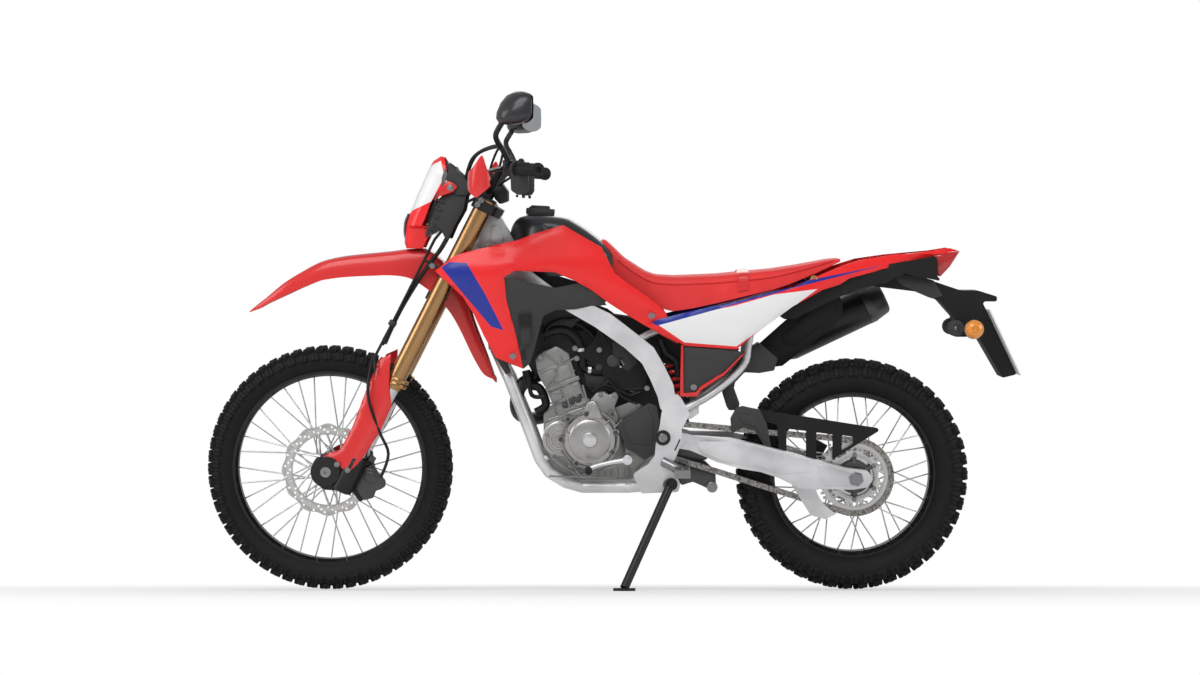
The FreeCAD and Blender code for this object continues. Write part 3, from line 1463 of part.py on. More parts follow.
tail_shares = (
    (6.00, 8.48), (6.82, 8.78), (7.30, 8.98), (8.80, 9.22), (9.44, 9.34), (9.51, 9.30), (9.51, 8.82),
    (9.64, 8.65), (8.63, 8.86), (8.10, 8.60), (7.36, 8.45), (6.60, 8.10), (5.60, 7.62), (5.20, 7.60),
)


def make_tail():
    """Under-tail box and inner rear mudguard."""
    half = rail_side + size.rail_radius * 1.6
    whole = grid_slab(tail_shares, -half, half, size.wheel_gap)
    return whole.cut(subframe).cut(seat).cut(pair(side_panel)).cut(muffler)


tail = make_tail()
feature("tail_fender", tail)

muffler_shield_shares = (
    (4.56, 6.60), (6.45, 8.25), (6.82, 8.15), (6.98, 7.94), (6.98, 7.54), (6.68, 7.28), (5.34, 6.19),
    (5.07, 6.18),
)


def make_muffler_shield():
    """Heat plate on the inner side of the muffler, on two bosses."""
    face = size.muffler_side - size.muffler_radius - size.slip
    plate = grid_slab(muffler_shield_shares, face - size.panel_wall, face, size.wheel_gap)
    bosses = [
        rod(beside(spot, face - size.panel_wall * 2), beside(spot, size.muffler_side), size.wheel_gap)
        for spot in (on_grid(5.10, 6.62), on_grid(6.70, 7.62))
    ]
    whole = joined(plate, *bosses).cut(muffler)
    return whole.cut(subframe).cut(tail).cut(pair(side_panel)).cut(frame).cut(seat)


feature("muffler_shield", make_muffler_shield())

carrier_shares = (
    (8.63, 8.84), (9.30, 8.70), (10.25, 8.38), (10.72, 8.38), (11.23, 8.22), (11.23, 8.08), (10.82, 8.08),
    (11.80, 6.06), (11.40, 5.96), (10.50, 7.50), (10.42, 7.10), (10.05, 7.10), (10.05, 7.64), (9.64, 8.10),
    (9.11, 8.34), (7.80, 8.50), (7.90, 8.66),
)
carrier_half = size.plate_half_width * 0.45
carrier = grid_slab(carrier_shares, -carrier_half, carrier_half, size.wheel_gap).cut(tail)
plate_low = on_grid(11.80, 6.06)
plate_high = on_grid(10.93, 7.86)
indicator_place = on_grid(10.23, 7.31)


def make_plate():
    """Blank plate on the carrier's rear face."""
    way = (plate_high - plate_low)
    tall = way.Length
    plate = Part.makeBox(size.panel_wall, size.plate_half_width * 2, tall)
    plate.translate(Vector(size.slip, -size.plate_half_width, 0))
    turn = Rotation(UP, way)
    plate.transformShape(Placement(plate_low, turn).toMatrix())
    return plate


plate = make_plate()
feature("plate_carrier", carrier.cut(plate))
feature("number_plate", plate)


def indicator(centre, root):
    """Flat round turn lamp facing back and forth on a short stem."""
    half = REARWARD * size.indicator_radius * 0.7
    head = rod(centre - half, centre + half, size.indicator_radius)
    stem = rod(root, centre, size.indicator_radius * 0.35)
    return joined(head, stem)


tail_lamp_shares = ((9.51, 9.34), (10.20, 9.49), (9.91, 9.05), (9.64, 8.76), (9.51, 8.86))
tail_lamp_half = size.plate_half_width * 0.6
tail_lamp = grid_slab(tail_lamp_shares, -tail_lamp_half, tail_lamp_half, size.panel_wall)
tail_lamp = tail_lamp.cut(tail).cut(pair(side_panel)).cut(carrier)
rear_indicator = indicator(
    beside(indicator_place, size.rear_indicator_side), beside(indicator_place, carrier_half)
)
feature("rear_lamps", Part.makeCompound([tail_lamp, rear_indicator, mirrored(rear_indicator)]))

# Swingarm and what it carries.
arm_outer_side = size.arm_inner_side + size.arm_width
arm_shares = (
    (1.97, 4.64), (2.30, 4.55), (2.79, 4.39), (3.86, 4.35), (4.54, 4.20), (5.38, 3.99), (6.06, 3.80),
    (6.96, 3.55), (7.60, 3.46), (7.75, 3.25), (7.60, 3.02), (7.20, 2.95), (5.72, 2.99), (5.16, 3.27),
    (4.65, 3.44), (4.14, 3.52), (3.47, 3.69), (2.73, 4.00), (1.97, 4.12), (1.75, 4.25), (1.75, 4.50),
)
arm_plan_shares = ((1.60, 0.91), (2.95, 0.91), (4.00, 1.25), (8.00, 1.25))


def make_swingarm():
    """Both arms with the pivot tube and the bridge between them, ahead of the wheel."""
    plan = [(x * grid, y * grid) for x, y in arm_plan_shares]
    plan += [(x, y - size.arm_width) for x, y in reversed(plan)]
    arm = grid_slab(arm_shares, 0, arm_outer_side * 2, size.wheel_gap * 2).common(
        slab(plan, top_view, 0, 20 * grid, size.arm_width * 2)
    )
    pivot_half = size.spar_inner_side - size.panel_wall
    pivot = cross_rod(swing_pivot, pivot_half, size.pivot_bolt_radius * 2.4)
    bridge_spot = on_grid(3.20, 4.05)
    bridge = cross_rod(bridge_spot, size.arm_inner_side, size.arm_width * 0.55)
    whole = joined(arm, mirrored(arm), pivot, bridge)
    bore = cross_rod(swing_pivot, grid * 2, size.pivot_bolt_radius + size.slip)
    axle_room = cross_rod(rear_axle, grid * 2, size.axle_radius + size.slip)
    tyre_room = cross_rod(rear_axle, size.rear_tyre_width * 0.58, size.rear_tyre_radius + size.wheel_gap)
    return whole.cut(bore).cut(axle_room).cut(tyre_room)


swingarm = make_swingarm().cut(frame)
feature("swingarm", swingarm)
rear_axle_half = arm_outer_side + size.panel_wall * 2
rear_axle_bar = cross_rod(rear_axle, rear_axle_half, size.axle_radius)
rear_axle_heads = [
    rod(
        beside(rear_axle, side * (arm_outer_side + size.slip)),
        beside(rear_axle, side * (rear_axle_half + size.wheel_gap)),
        size.axle_radius * 1.6,
    )
    for side in (-1, 1)
]
rear_bore = cross_rod(rear_axle, grid * 2, size.axle_radius / 2)
feature("rear_axle", joined(rear_axle_bar, *rear_axle_heads).cut(rear_bore))

chain_guard_shares = (
    (4.09, 5.19), (4.23, 5.21), (4.71, 5.12), (8.02, 4.60), (6.51, 3.66), (5.20, 3.86), (5.12, 4.72),
    (4.60, 4.82), (4.12, 4.90),
)
guard_window_shares = (
    ((5.38, 3.60), (5.38, 4.60), (5.92, 4.54), (5.92, 3.60)),
    ((6.20, 3.60), (6.20, 4.50), (6.65, 4.44), (6.65, 3.60)),
    ((6.90, 3.98), (6.90, 4.42), (7.22, 4.38), (7.22, 4.18)),
)


def make_chain_guard():
    """Flat guard outside the chain's upper run, on the left arm."""
    chain_face = size.chain_side + size.chain_inner_width / 2 + size.chain_plate_width
    low = -chain_face - size.wheel_gap / 2 - size.panel_wall * 2
    panel = grid_slab(chain_guard_shares, low, low + size.panel_wall * 1.5, size.wheel_gap)
    inside = low + size.panel_wall
    stay = rod(beside(on_grid(6.00, 3.60), inside), beside(on_grid(6.00, 4.10), inside), size.wheel_gap / 2)
    windows = [
        grid_slab(window, low - size.overrun, low + size.panel_wall * 3, size.wheel_gap / 2)
        for window in guard_window_shares
    ]
    return joined(panel.cut(Part.makeCompound(windows)), stay).cut(swingarm)


feature("chain_guard", make_chain_guard())

chain_guide_shares = (
    (5.50, 3.10), (6.06, 2.20), (6.46, 2.09), (6.80, 2.25), (6.40, 3.00), (6.20, 3.40), (5.90, 3.45),
)


def make_chain_guide():
    """Block under the left arm that the chain's lower run passes through."""
    half = size.chain_inner_width / 2 + size.chain_plate_width + size.slip * 4
    wide = half + size.panel_wall
    whole = grid_slab(chain_guide_shares, -size.chain_side - wide, -size.chain_side + wide, size.wheel_gap)
    reach = size.chain_plate_height / 2 + size.slip * 4
    outer = chain_band(reach, -size.chain_side - half, half * 2)
    inner = chain_band(-reach, -size.chain_side - half, half * 2)
    clear = rear_pitch_radius + size.chain_roller_radius + size.wheel_gap
    wheel_room = rod(rear_axle - ACROSS * (size.chain_side + wide), rear_axle, clear)
    stay_place = on_grid(5.86, 3.26)
    stay_start = beside(stay_place, -size.chain_side - wide + size.panel_wall / 2)
    stay = rod(stay_start, beside(stay_place, -size.arm_inner_side), size.wheel_gap * 1.5)
    return joined(whole.cut(outer.cut(inner)).cut(wheel_room), stay).cut(swingarm)


feature("chain_guide", make_chain_guide())

shock_top = on_grid(2.10, 7.15)
shock_foot = on_grid(2.62, 4.62)


def make_shock():
    """Damper with its spring as a thick sleeve, from the frame's cross tube to the bridge."""
    way = (shock_top - shock_foot).normalize()
    length = (shock_top - shock_foot).Length
    body = rod(shock_foot, shock_top, size.pivot_bolt_radius * 1.6)
    spring = rod(shock_foot + way * length * 0.3, shock_foot + way * length * 0.8, size.shock_radius)
    tank_start = shock_foot + way * length * 0.55 + REARWARD * size.shock_radius * 1.7
    reservoir = rod(tank_start, tank_start + way * length * 0.35, size.shock_radius * 0.6)
    link = rod(tank_start + way * length * 0.3, shock_foot + way * length * 0.86, size.pivot_bolt_radius)
    return joined(body, spring, reservoir, link).cut(frame).cut(swingarm).cut(subframe).cut(intake).cut(seat)


feature("rear_shock", make_shock())

caliper_way = Vector(-math.cos(math.radians(30)), 0, math.sin(math.radians(30)))
caliper_centre = beside(rear_axle, size.rear_disc_side) + caliper_way * size.rear_disc_radius


def make_caliper(centre, side, disc_centre, disc_radius, tall, bracket_end):
    """Two halves astride the disc with a bracket to its carrier."""
    half = size.caliper_half_width
    way = (centre - disc_centre)
    way.y = 0
    way.normalize()
    inner = size.caliper_inner_width
    start = -half if side < 0 else -inner
    block = Part.makeBox(tall, half + inner, tall * 1.5, Vector(-tall / 2, start, -tall * 0.75))
    block.transformShape(Placement(centre, Rotation(REARWARD, way)).toMatrix())
    gap = size.disc_width / 2 + size.wheel_gap / 3
    room = cross_rod(beside(disc_centre, centre.y), gap, disc_radius + size.wheel_gap)
    arm_start = beside(centre, side * half * 0.5)
    arm_end = Vector(bracket_end.x, arm_start.y, bracket_end.z)
    arm = rod(arm_start, arm_end, size.wheel_gap)
    foot = rod(arm_end, bracket_end, size.wheel_gap)
    return joined(block, arm, foot).cut(room)


rear_anchor = on_grid(5.95, 3.55) + ACROSS * size.arm_inner_side
rear_caliper = make_caliper(
    caliper_centre, 1, rear_axle, size.rear_disc_radius, size.caliper_length * 0.8, rear_anchor
)
hub_room = rod(rear_axle, rear_axle + ACROSS * grid * 2, size.rear_disc_inner_radius * 0.8)
feature("rear_caliper", rear_caliper.cut(swingarm).cut(hub_room))

front_caliper_way = Vector(0.93, 0, -0.18) * 0.95
front_caliper_centre = beside(front_axle, -size.front_disc_side) + front_caliper_way * size.front_disc_radius
front_anchor = fork_point(-size.fork_offset, -size.fork_spread, size.fork_lower_end * 0.16)
front_caliper = make_caliper(
    front_caliper_centre, -1, front_axle, size.front_disc_radius, size.caliper_length, front_anchor
)
slider_pair = Part.makeCompound([solid for solid in document.getObject("fork_sliders").Shape.Solids])
feature("front_caliper", front_caliper.cut(slider_pair))

# Pegs, pedals, stand.
peg_place = on_grid(2.48, 3.50)


def make_peg():
    """Right peg: a toothed step on a bracket that reaches out from the pivot plate."""
    inner = spar_outer_side + size.slip
    start = inner + size.panel_wall * 4
    step = Part.makeBox(size.peg_width, size.peg_reach - start, size.peg_height)
    step.translate(peg_place + Vector(-size.peg_width / 2, start, -size.peg_height / 2))
    root = on_grid(1.98, 3.72) + ACROSS * inner
    bracket = rod(root, peg_place + ACROSS * (start + size.peg_height / 2), size.peg_height * 0.6)
    return joined(step, bracket).cut(frame)


peg = make_peg()
feature("footpegs", pair(peg))


def make_pedals():
    """Gear lever on the left and brake pedal on the right."""
    gear_shaft = on_grid(0.95, 3.78)
    gear_tip = on_grid(-0.04, 3.55)
    side = -size.case_left_side
    reach = -size.peg_reach * 0.62
    gear = joined(
        rod(gear_shaft + ACROSS * side, gear_shaft + ACROSS * reach, size.pivot_bolt_radius * 0.7),
        rod(gear_shaft + ACROSS * reach, gear_tip + ACROSS * reach, size.wheel_gap),
        rod(gear_tip + ACROSS * reach * 0.97, gear_tip + ACROSS * reach * 1.3, size.pivot_bolt_radius),
        ball(gear_shaft + ACROSS * reach, size.pivot_bolt_radius),
    )
    brake_pivot = on_grid(2.05, 3.42)
    brake_tip = on_grid(0.25, 3.45)
    inner = spar_outer_side
    brake_side = inner + size.pivot_bolt_radius * 1.4
    bolt = size.pivot_bolt_radius
    brake = joined(
        rod(beside(brake_pivot, inner), beside(brake_pivot, brake_side + size.wheel_gap), bolt),
        rod(brake_pivot + ACROSS * brake_side, brake_tip + ACROSS * size.peg_reach * 0.72, size.wheel_gap),
        rod(beside(brake_tip, size.peg_reach * 0.68), beside(brake_tip, size.peg_reach * 0.9), bolt),
    )
    gear = gear.cut(crankcase).cut(generator_cover).cut(frame)
    brake = brake.cut(frame).cut(crankcase).cut(clutch_cover).cut(peg).cut(exhaust_pipe)
    return Part.makeCompound([gear, brake])


feature("foot_controls", make_pedals())

# Side stand. It is drawn lowered; its foot lies flat on the ground of the leaned machine.
lean = math.radians(size.parked_lean)
ground_up = Vector(0, math.sin(lean), math.cos(lean))
ground_level = -size.rear_tyre_width * crown_share * math.sin(lean)
stand_pivot = on_grid(2.18, 3.12) - ACROSS * size.stand_side
foot_side = -size.stand_side - size.stand_spread
foot_height = (ground_level - foot_side * ground_up.y) / ground_up.z
stand_foot = Vector(stand_pivot.x - size.stand_forward, foot_side, foot_height)
lowered = (stand_foot - stand_pivot).normalize()
folded_side_share = 0.075
folded_rise_share = 0.16
folded = Vector(1, -folded_side_share, folded_rise_share).normalize()
difference = lowered - folded
stand_axis = (ACROSS - difference * (ACROSS.dot(difference) / difference.dot(difference))).normalize()


def flat_part(direction):
    return direction - stand_axis * direction.dot(stand_axis)


stand_turn = flat_part(lowered).getAngle(flat_part(folded))
if stand_axis.dot(flat_part(lowered).cross(flat_part(folded))) < 0:
    stand_turn = -stand_turn


def make_stand():
    """Leg with its foot and its pivot eye."""
    eye_half = size.stand_radius
    eye_way = stand_axis * eye_half
    eye = rod(stand_pivot - eye_way, stand_pivot + eye_way, size.stand_radius * 1.4)
    foot_top = stand_foot + ground_up * size.stand_foot_height
    leg = rod(stand_pivot, foot_top, size.stand_radius)
    foot = rod(stand_foot, foot_top, size.stand_foot_radius)
    ground = rod(stand_foot - ground_up * grid, stand_foot, grid)
    head_radius = size.pivot_bolt_radius * 0.9 + size.slip * 2
    head_room = rod(stand_pivot - stand_axis * grid, stand_pivot - stand_axis * eye_half, head_radius)
    bore_way = stand_axis * grid
    bore = rod(stand_pivot - bore_way, stand_pivot + bore_way, size.pivot_bolt_radius / 2 + size.slip)
    return joined(eye, leg, foot).cut(ground).cut(bore).cut(head_room)


stand = make_stand()
feature("side_stand", stand)
bracket_start = Vector(stand_pivot.x, -spar_outer_side, stand_pivot.z)
pin_half = size.stand_radius * 1.2
pin = rod(stand_pivot - stand_axis * pin_half, stand_pivot + stand_axis * (pin_half + size.wheel_gap),
          size.pivot_bolt_radius / 2)
inner_block = stand_pivot + stand_axis * pin_half
outer_block = inner_block + stand_axis * (size.stand_side - spar_outer_side)
block = rod(inner_block, outer_block, size.stand_radius * 1.3)
pin_end = stand_pivot - stand_axis * pin_half
head = rod(pin_end - stand_axis * size.wheel_gap, pin_end, size.pivot_bolt_radius * 0.9)
stand_bracket = joined(pin, block, head).cut(frame).cut(mirrored(peg))
feature("stand_bracket", stand_bracket)

# Instruments and brake hose.
dial_centre = on_grid(-3.70, 11.42)
dial = Part.makeBox(size.panel_wall * 8, size.lamp_half_width * 1.6, size.lamp_half_width * 0.9)
dial.translate(Vector(-size.panel_wall * 4, -size.lamp_half_width * 0.8, -size.lamp_half_width * 0.45))
dial.transformShape(Placement(dial_centre, Rotation(ACROSS, -25)).toMatrix())
dial_stay = rod(dial_centre, fork_point(size.bar_behind, 0, upper_clamp_top - size.slip), size.wheel_gap)
feature("instrument_panel", joined(dial, dial_stay).cut(mask).cut(clamps).cut(handlebar))

hose_side = -size.fork_spread - size.outer_tube_radius - size.hose_radius * 3
hose_route = [
    fork_point(x, y, z)
    for x, y, z in (
        (size.caliper_length * 0.9, -size.fork_spread, size.fork_lower_end * 0.30),
        (size.caliper_length * 0.9, hose_side, size.fork_lower_end * 0.48),
        (0, hose_side, size.fork_lower_end * 0.66),
        (-size.fork_offset * 2.5, hose_side, size.fork_lower_end * 0.91),
        (-size.fork_offset * 5, hose_side * 0.80, size.fork_lower_end * 1.18),
        (-size.fork_offset * 5, -size.fork_spread * 0.84, size.fork_lower_end * 1.57),
        (-size.fork_offset * 5, -size.fork_spread * 0.84, size.lower_clamp_height * 1.10),
        (-size.fork_offset * 3.6, -size.bar_clamp_side * 2, size.upper_clamp_height * 0.98),
        (size.bar_behind, -size.bar_clamp_side * 2, upper_clamp_top + size.bar_height),
    )
]


def make_hose():
    """Brake hose from the caliper up past the lower clamp to the bar, with its clip on the clamp."""
    hose = bent_bar(hose_route, size.hose_radius, size.hose_radius * 8)
    height = size.lower_clamp_height
    clip = rod(
        fork_point(-size.fork_offset * 5, -size.fork_spread * 0.84, height),
        fork_point(-size.fork_offset, -size.fork_spread, height),
        size.hose_radius,
    )
    whole = joined(hose, clip)
    for node in ("fork_tubes", "fork_sliders", "fork_guards", "front_caliper", "triple_clamps", "handlebar"):
        whole = whole.cut(document.getObject(node).Shape)
    return max(whole.Solids, key=lambda solid: solid.Volume)


feature("brake_hose", make_hose())

# Hand over.
document.recompute()
turn = Rotation(REARWARD, size.parked_lean)
leaned = Placement(Vector(), turn)
box = FreeCAD.BoundBox()
for piece in pieces:
    if piece.TypeId == "PartDesign::Body":
        piece.Placement = leaned.multiply(local_places[piece.Label])
    else:
        piece.Placement = leaned.multiply(piece.Placement)
document.recompute()
for piece in pieces:
    box.add(piece.Shape.optimalBoundingBox(False))
shift = Vector(-box.Center.x, -box.Center.y, -box.ZMin)
for piece in pieces:
    piece.Placement = Placement(shift, Rotation()).multiply(piece.Placement)
document.recompute()

for item in document.Objects:
    if "Invalid" in item.State or "Error" in item.State:
        raise RuntimeError(f"{item.Name} failed: {item.State}")
for piece in pieces:
    if piece.Shape.isNull() or not piece.Shape.isValid():
        raise RuntimeError(f"{piece.Label} has no valid shape")

os.makedirs(PARTS_FOLDER, exist_ok=True)
for piece in pieces:
    piece.Shape.exportStep(f"{PARTS_FOLDER}/{piece.Label}.step")

world = Placement(shift, turn)


def report(name, point, direction=None):
    """Prints a place on the parked machine in metres, and a direction."""
    at = world.multVec(point) / 1000
    line = f"{name} at {at.x:.5f} {at.y:.5f} {at.z:.5f}"
    if direction is not None:
        way = turn.multVec(direction)
        line += f" along {way.x:.6f} {way.y:.6f} {way.z:.6f}"
    print(line)


report("steering", steering_foot, along)
report("front wheel", front_axle, ACROSS)
report("rear wheel", rear_axle, ACROSS)
report("stand", stand_pivot, stand_axis)
print("stand turns", math.degrees(stand_turn))
report("stand foot", stand_foot, ground_up * -1)
report("bar end right", bar_end, grip_way)
report("bar end left", other_side(bar_end), other_side(grip_way))
report("swing pivot", swing_pivot, ACROSS)
print("box", box.XLength, box.YLength, box.ZLength, "nodes", len(pieces))
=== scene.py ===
"""Dual sport motorcycle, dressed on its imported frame: bodywork, seat, tyres, controls and finishes.

Every piece is worked out in the upright motorcycle's own frame, in metres: X runs to the rear with
its zero midway between the axles, Y to the rider's right, and Z up from the tyres' contact line.
LEANED then stands it on its side stand, where the frame is.
"""

import json
import math

import bmesh
import bpy
from bpy.props import FloatProperty, PointerProperty
from mathutils import Matrix, Vector


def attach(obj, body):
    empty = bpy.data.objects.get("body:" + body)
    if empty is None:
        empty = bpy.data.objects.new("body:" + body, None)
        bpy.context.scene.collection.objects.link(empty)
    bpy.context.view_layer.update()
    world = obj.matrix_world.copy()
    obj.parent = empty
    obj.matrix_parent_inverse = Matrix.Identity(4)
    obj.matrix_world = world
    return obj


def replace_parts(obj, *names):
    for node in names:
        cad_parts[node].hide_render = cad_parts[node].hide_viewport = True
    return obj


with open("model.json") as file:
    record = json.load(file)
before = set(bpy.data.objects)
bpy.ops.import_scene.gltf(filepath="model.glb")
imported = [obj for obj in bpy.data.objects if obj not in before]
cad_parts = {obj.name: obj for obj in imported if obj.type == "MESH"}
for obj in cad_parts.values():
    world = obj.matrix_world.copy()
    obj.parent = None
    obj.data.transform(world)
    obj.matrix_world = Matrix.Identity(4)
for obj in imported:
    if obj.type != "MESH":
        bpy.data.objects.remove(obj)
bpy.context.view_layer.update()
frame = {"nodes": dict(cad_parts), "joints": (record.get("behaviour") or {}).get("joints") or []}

bl_info = {
    "name": "Dual sport motorcycle",
    "version": (1, 0, 0),
    "blender": (4, 5, 0),
    "location": "View3D > Sidebar > Motorcycle",
    "description": "Builds the bodywork, seat, tyres, controls and finishes of a dual sport motorcycle",
    "category": "Object",
}

MM = 0.001
WHEELBASE, FRONT_RADIUS, REAR_RADIUS = 1.455, 0.343, 0.325
FRONT_AXLE = Vector((-WHEELBASE / 2, 0, FRONT_RADIUS))
REAR_AXLE = Vector((WHEELBASE / 2, 0, REAR_RADIUS))
FRONT_HUB, REAR_HUB = (-727.5, 0, 343), (727.5, 0, 325)  # the same places in millimetres
LEFT = (0, -1, 0)

JOINT = {joint["name"]: joint for joint in frame["joints"]}
TURN = Matrix.Rotation(math.radians(9), 4, "X")
LEANED = Matrix.Translation(Vector(JOINT["front_spin"]["pos_m"]) - TURN @ FRONT_AXLE) @ TURN


# Nodes, for materials and for repeats.

def node(tree, kind, inputs=(), **settings):
    """A new node with its settings; inputs are values or links, in order or by name."""
    made = tree.nodes.new(kind)
    for name, value in settings.items():
        setattr(made, name, value)
    for key, value in inputs.items() if isinstance(inputs, dict) else enumerate(inputs):
        if isinstance(value, Field):
            value = value.socket
        if isinstance(value, bpy.types.NodeSocket):
            tree.links.new(value, made.inputs[key])
        else:
            made.inputs[key].default_value = value
    return made


class Field:
    """A shader socket that takes arithmetic, so that a pattern reads as a formula."""

    def __init__(self, tree, socket):
        self.tree = tree
        self.socket = socket

    def maths(self, operation, *others):
        made = node(self.tree, "ShaderNodeMath", (self, *others), operation=operation)
        return Field(self.tree, made.outputs[0])

    def __add__(self, other):
        return self.maths("ADD", other)

    def __sub__(self, other):
        return self.maths("SUBTRACT", other)

    def __mul__(self, other):
        return self.maths("MULTIPLY", other)

    def __truediv__(self, other):
        return self.maths("DIVIDE", other)

    def __neg__(self):
        return self.maths("MULTIPLY", -1.0)

    def __abs__(self):
        return self.maths("ABSOLUTE")

    __radd__ = __add__
    __rmul__ = __mul__

    def step(self, low, high, start=0.0, end=1.0):
        """Goes smoothly from start to end as the field goes from low to high."""
        ends = {"Value": self, "From Min": low, "From Max": high, "To Min": start, "To Max": end}
        made = node(self.tree, "ShaderNodeMapRange", ends, interpolation_type="SMOOTHSTEP")
        return Field(self.tree, made.outputs["Result"])

    def waves(self, spacing):
        """A ridge from 0 to 1 once every spacing."""
        return self.maths("MULTIPLY", math.tau / spacing).maths("SINE") * 0.5 + 0.5


class Finish:
    """A material being built: patterns in the motorcycle's own frame drive its shader."""

    def __init__(self, name):
        self.material = bpy.data.materials.new(name)
        self.material.use_nodes = True
        self.tree = self.material.node_tree
        self.shader = self.tree.nodes["Principled BSDF"]
        upright = LEANED.inverted()
        spot = node(self.tree, "ShaderNodeTexCoord").outputs["Object"]
        self.place = node(self.tree, "ShaderNodeMapping", {
            "Vector": spot, "Location": upright.translation, "Rotation": upright.to_euler()}).outputs[0]
        apart = node(self.tree, "ShaderNodeSeparateXYZ", (self.place,))
        self.x, self.y, self.z = (Field(self.tree, socket) for socket in apart.outputs)

    def noise(self, scale, detail=3.0, stretch=(1, 1, 1)):
        """A cloudy pattern from 0 to 1."""
        place = node(self.tree, "ShaderNodeVectorMath", (self.place, stretch),
                     operation="MULTIPLY").outputs[0]
        made = node(self.tree, "ShaderNodeTexNoise", {"Vector": place, "Scale": scale, "Detail": detail})
        return Field(self.tree, made.outputs[0])

    def cells(self, scale):
        """The distance to the nearest of many scattered spots."""
        made = node(self.tree, "ShaderNodeTexVoronoi", {"Vector": self.place, "Scale": scale})
        return Field(self.tree, made.outputs["Distance"])

    def mix(self, factor, first, second):
        """A colour that goes from first to second; each is a colour or another mix."""
        first, second = (value if isinstance(value, Field) else (*value, 1) for value in (first, second))
        made = node(self.tree, "ShaderNodeMix", {"Factor": factor, 6: first, 7: second}, data_type="RGBA")
        return Field(self.tree, made.outputs[2])

    def inside(self, corners, edge=0.0008):
        """1 inside a convex side-view outline, whose corners run clockwise seen from the left."""
        corners = [(x * MM, z * MM) for x, z in corners]
        mask = None
        for (x0, z0), (x1, z1) in zip(corners, corners[1:] + corners[:1]):
            length = math.hypot(x1 - x0, z1 - z0)
            across = (self.x - x0) * ((z1 - z0) / -length) + (self.z - z0) * ((x1 - x0) / length)
            part = (-across).step(-edge, edge)
            mask = part if mask is None else mask * part
        return mask

    def from_axle(self, axle):
        """The distance from an axle, in metres."""
        x, z = self.x - axle.x, self.z - axle.z
        return (x * x + z * z).maths("SQRT")

    def base(self):
        """What feeds the colour now."""
        return Field(self.tree, self.shader.inputs["Base Color"].links[0].from_socket)

    def give(self, values, relief=None, distance=0.0):
        """Feeds the shader's sockets by name, and its normal from a relief this many metres high."""
        for name, value in values.items():
            if isinstance(value, Field):
                self.tree.links.new(value.socket, self.shader.inputs[name])
            else:
                self.shader.inputs[name].default_value = value
        if relief:
            bump = node(self.tree, "ShaderNodeBump", {"Height": relief, "Distance": distance,
                                                      "Strength": 1.0})
            self.tree.links.new(bump.outputs[0], self.shader.inputs["Normal"])
        return self

    def tinted(self, share, colour, dark, light):
        """A colour that drifts between a darker and a lighter shade of itself."""
        return self.mix(share, *(tuple(min(1.0, part * factor) for part in colour) for factor in (dark,
                                                                                                  light)))


def painted(name, colour, roughness=0.3, coat=0.3):
    """Moulded or painted plastic with a fine orange-peel gloss and faint scuffs."""
    finish = Finish(name)
    drift = finish.noise(6, 2)
    scuffs = finish.noise(70, 6, (1, 1, 3)).step(0.55, 0.75)
    return finish.give({
        "Base Color": finish.tinted(drift, colour, 0.93, 1.05),
        "Roughness": drift * 0.06 + scuffs * 0.12 + (roughness - 0.03),
        "Coat Weight": coat, "Coat Roughness": 0.12, "Specular IOR Level": 0.35,
    }, finish.noise(900, 2) + scuffs * 0.4, 0.00005)


def textured(name, colour, roughness=0.6, grain=0.00012):
    """Black or grey plastic moulded with a fine leather-like grain."""
    finish = Finish(name)
    grains = finish.cells(700)
    wear = finish.noise(14, 5).step(0.5, 0.8)
    return finish.give({
        "Base Color": finish.tinted(wear, colour, 1, 1.35),
        "Roughness": wear * -0.1 + grains * 0.1 + roughness, "Specular IOR Level": 0.3,
    }, grains + finish.noise(260, 3) * 0.6, grain)


def cast(name, colour, roughness=0.42, metallic=1.0, grain=0.00018):
    """Sand-cast or painted alloy with a pitted skin and rubbed high spots."""
    finish = Finish(name)
    pits = finish.noise(420, 5)
    stain = finish.noise(9, 4).step(0.35, 0.7)
    return finish.give({
        "Base Color": finish.tinted(stain, colour, 0.82, 1.08),
        "Roughness": pits * 0.16 + stain * 0.08 + (roughness - 0.12), "Metallic": metallic,
    }, pits, grain)


def machined(name, colour, roughness=0.26, stretch=(1, 1, 1), metallic=1.0):
    """Turned, drawn or brushed metal, its fine lines stretched along one way."""
    finish = Finish(name)
    lines = finish.noise(120, 4, stretch)
    blotch = finish.noise(11, 3)
    return finish.give({
        "Base Color": finish.tinted(blotch, colour, 0.88, 1.06),
        "Roughness": lines * 0.14 + blotch * 0.06 + (roughness - 0.09), "Metallic": metallic,
    }, lines, 0.00004)


def rubber(name, colour=(0.009, 0.009, 0.0095), roughness=0.72):
    """Dusty black rubber."""
    finish = Finish(name)
    dust = finish.noise(18, 6).step(0.45, 0.75)
    return finish.give({
        "Base Color": finish.tinted(dust, colour, 1, 1.7),
        "Roughness": finish.noise(90, 4) * 0.16 + (roughness - 0.08), "Specular IOR Level": 0.3,
    }, finish.noise(600, 4), 0.00015)


def tread_rubber(name, groove=(0.0055, 0.0055, 0.006), worn=(0.021, 0.021, 0.0215)):
    """Tyre rubber, greyer on the worn tops of the blocks than in the grooves."""
    finish = rubber(name, groove, 0.7)
    front, rear = (finish.from_axle(axle) / axle.z for axle in (FRONT_AXLE, REAR_AXLE))
    dust = finish.noise(30, 5).step(0.3, 0.7, 0.4, 1.0)
    share = front.maths("MINIMUM", rear).step(0.968, 0.99) * dust
    return finish.give({"Base Color": finish.mix(share, groove, worn)})


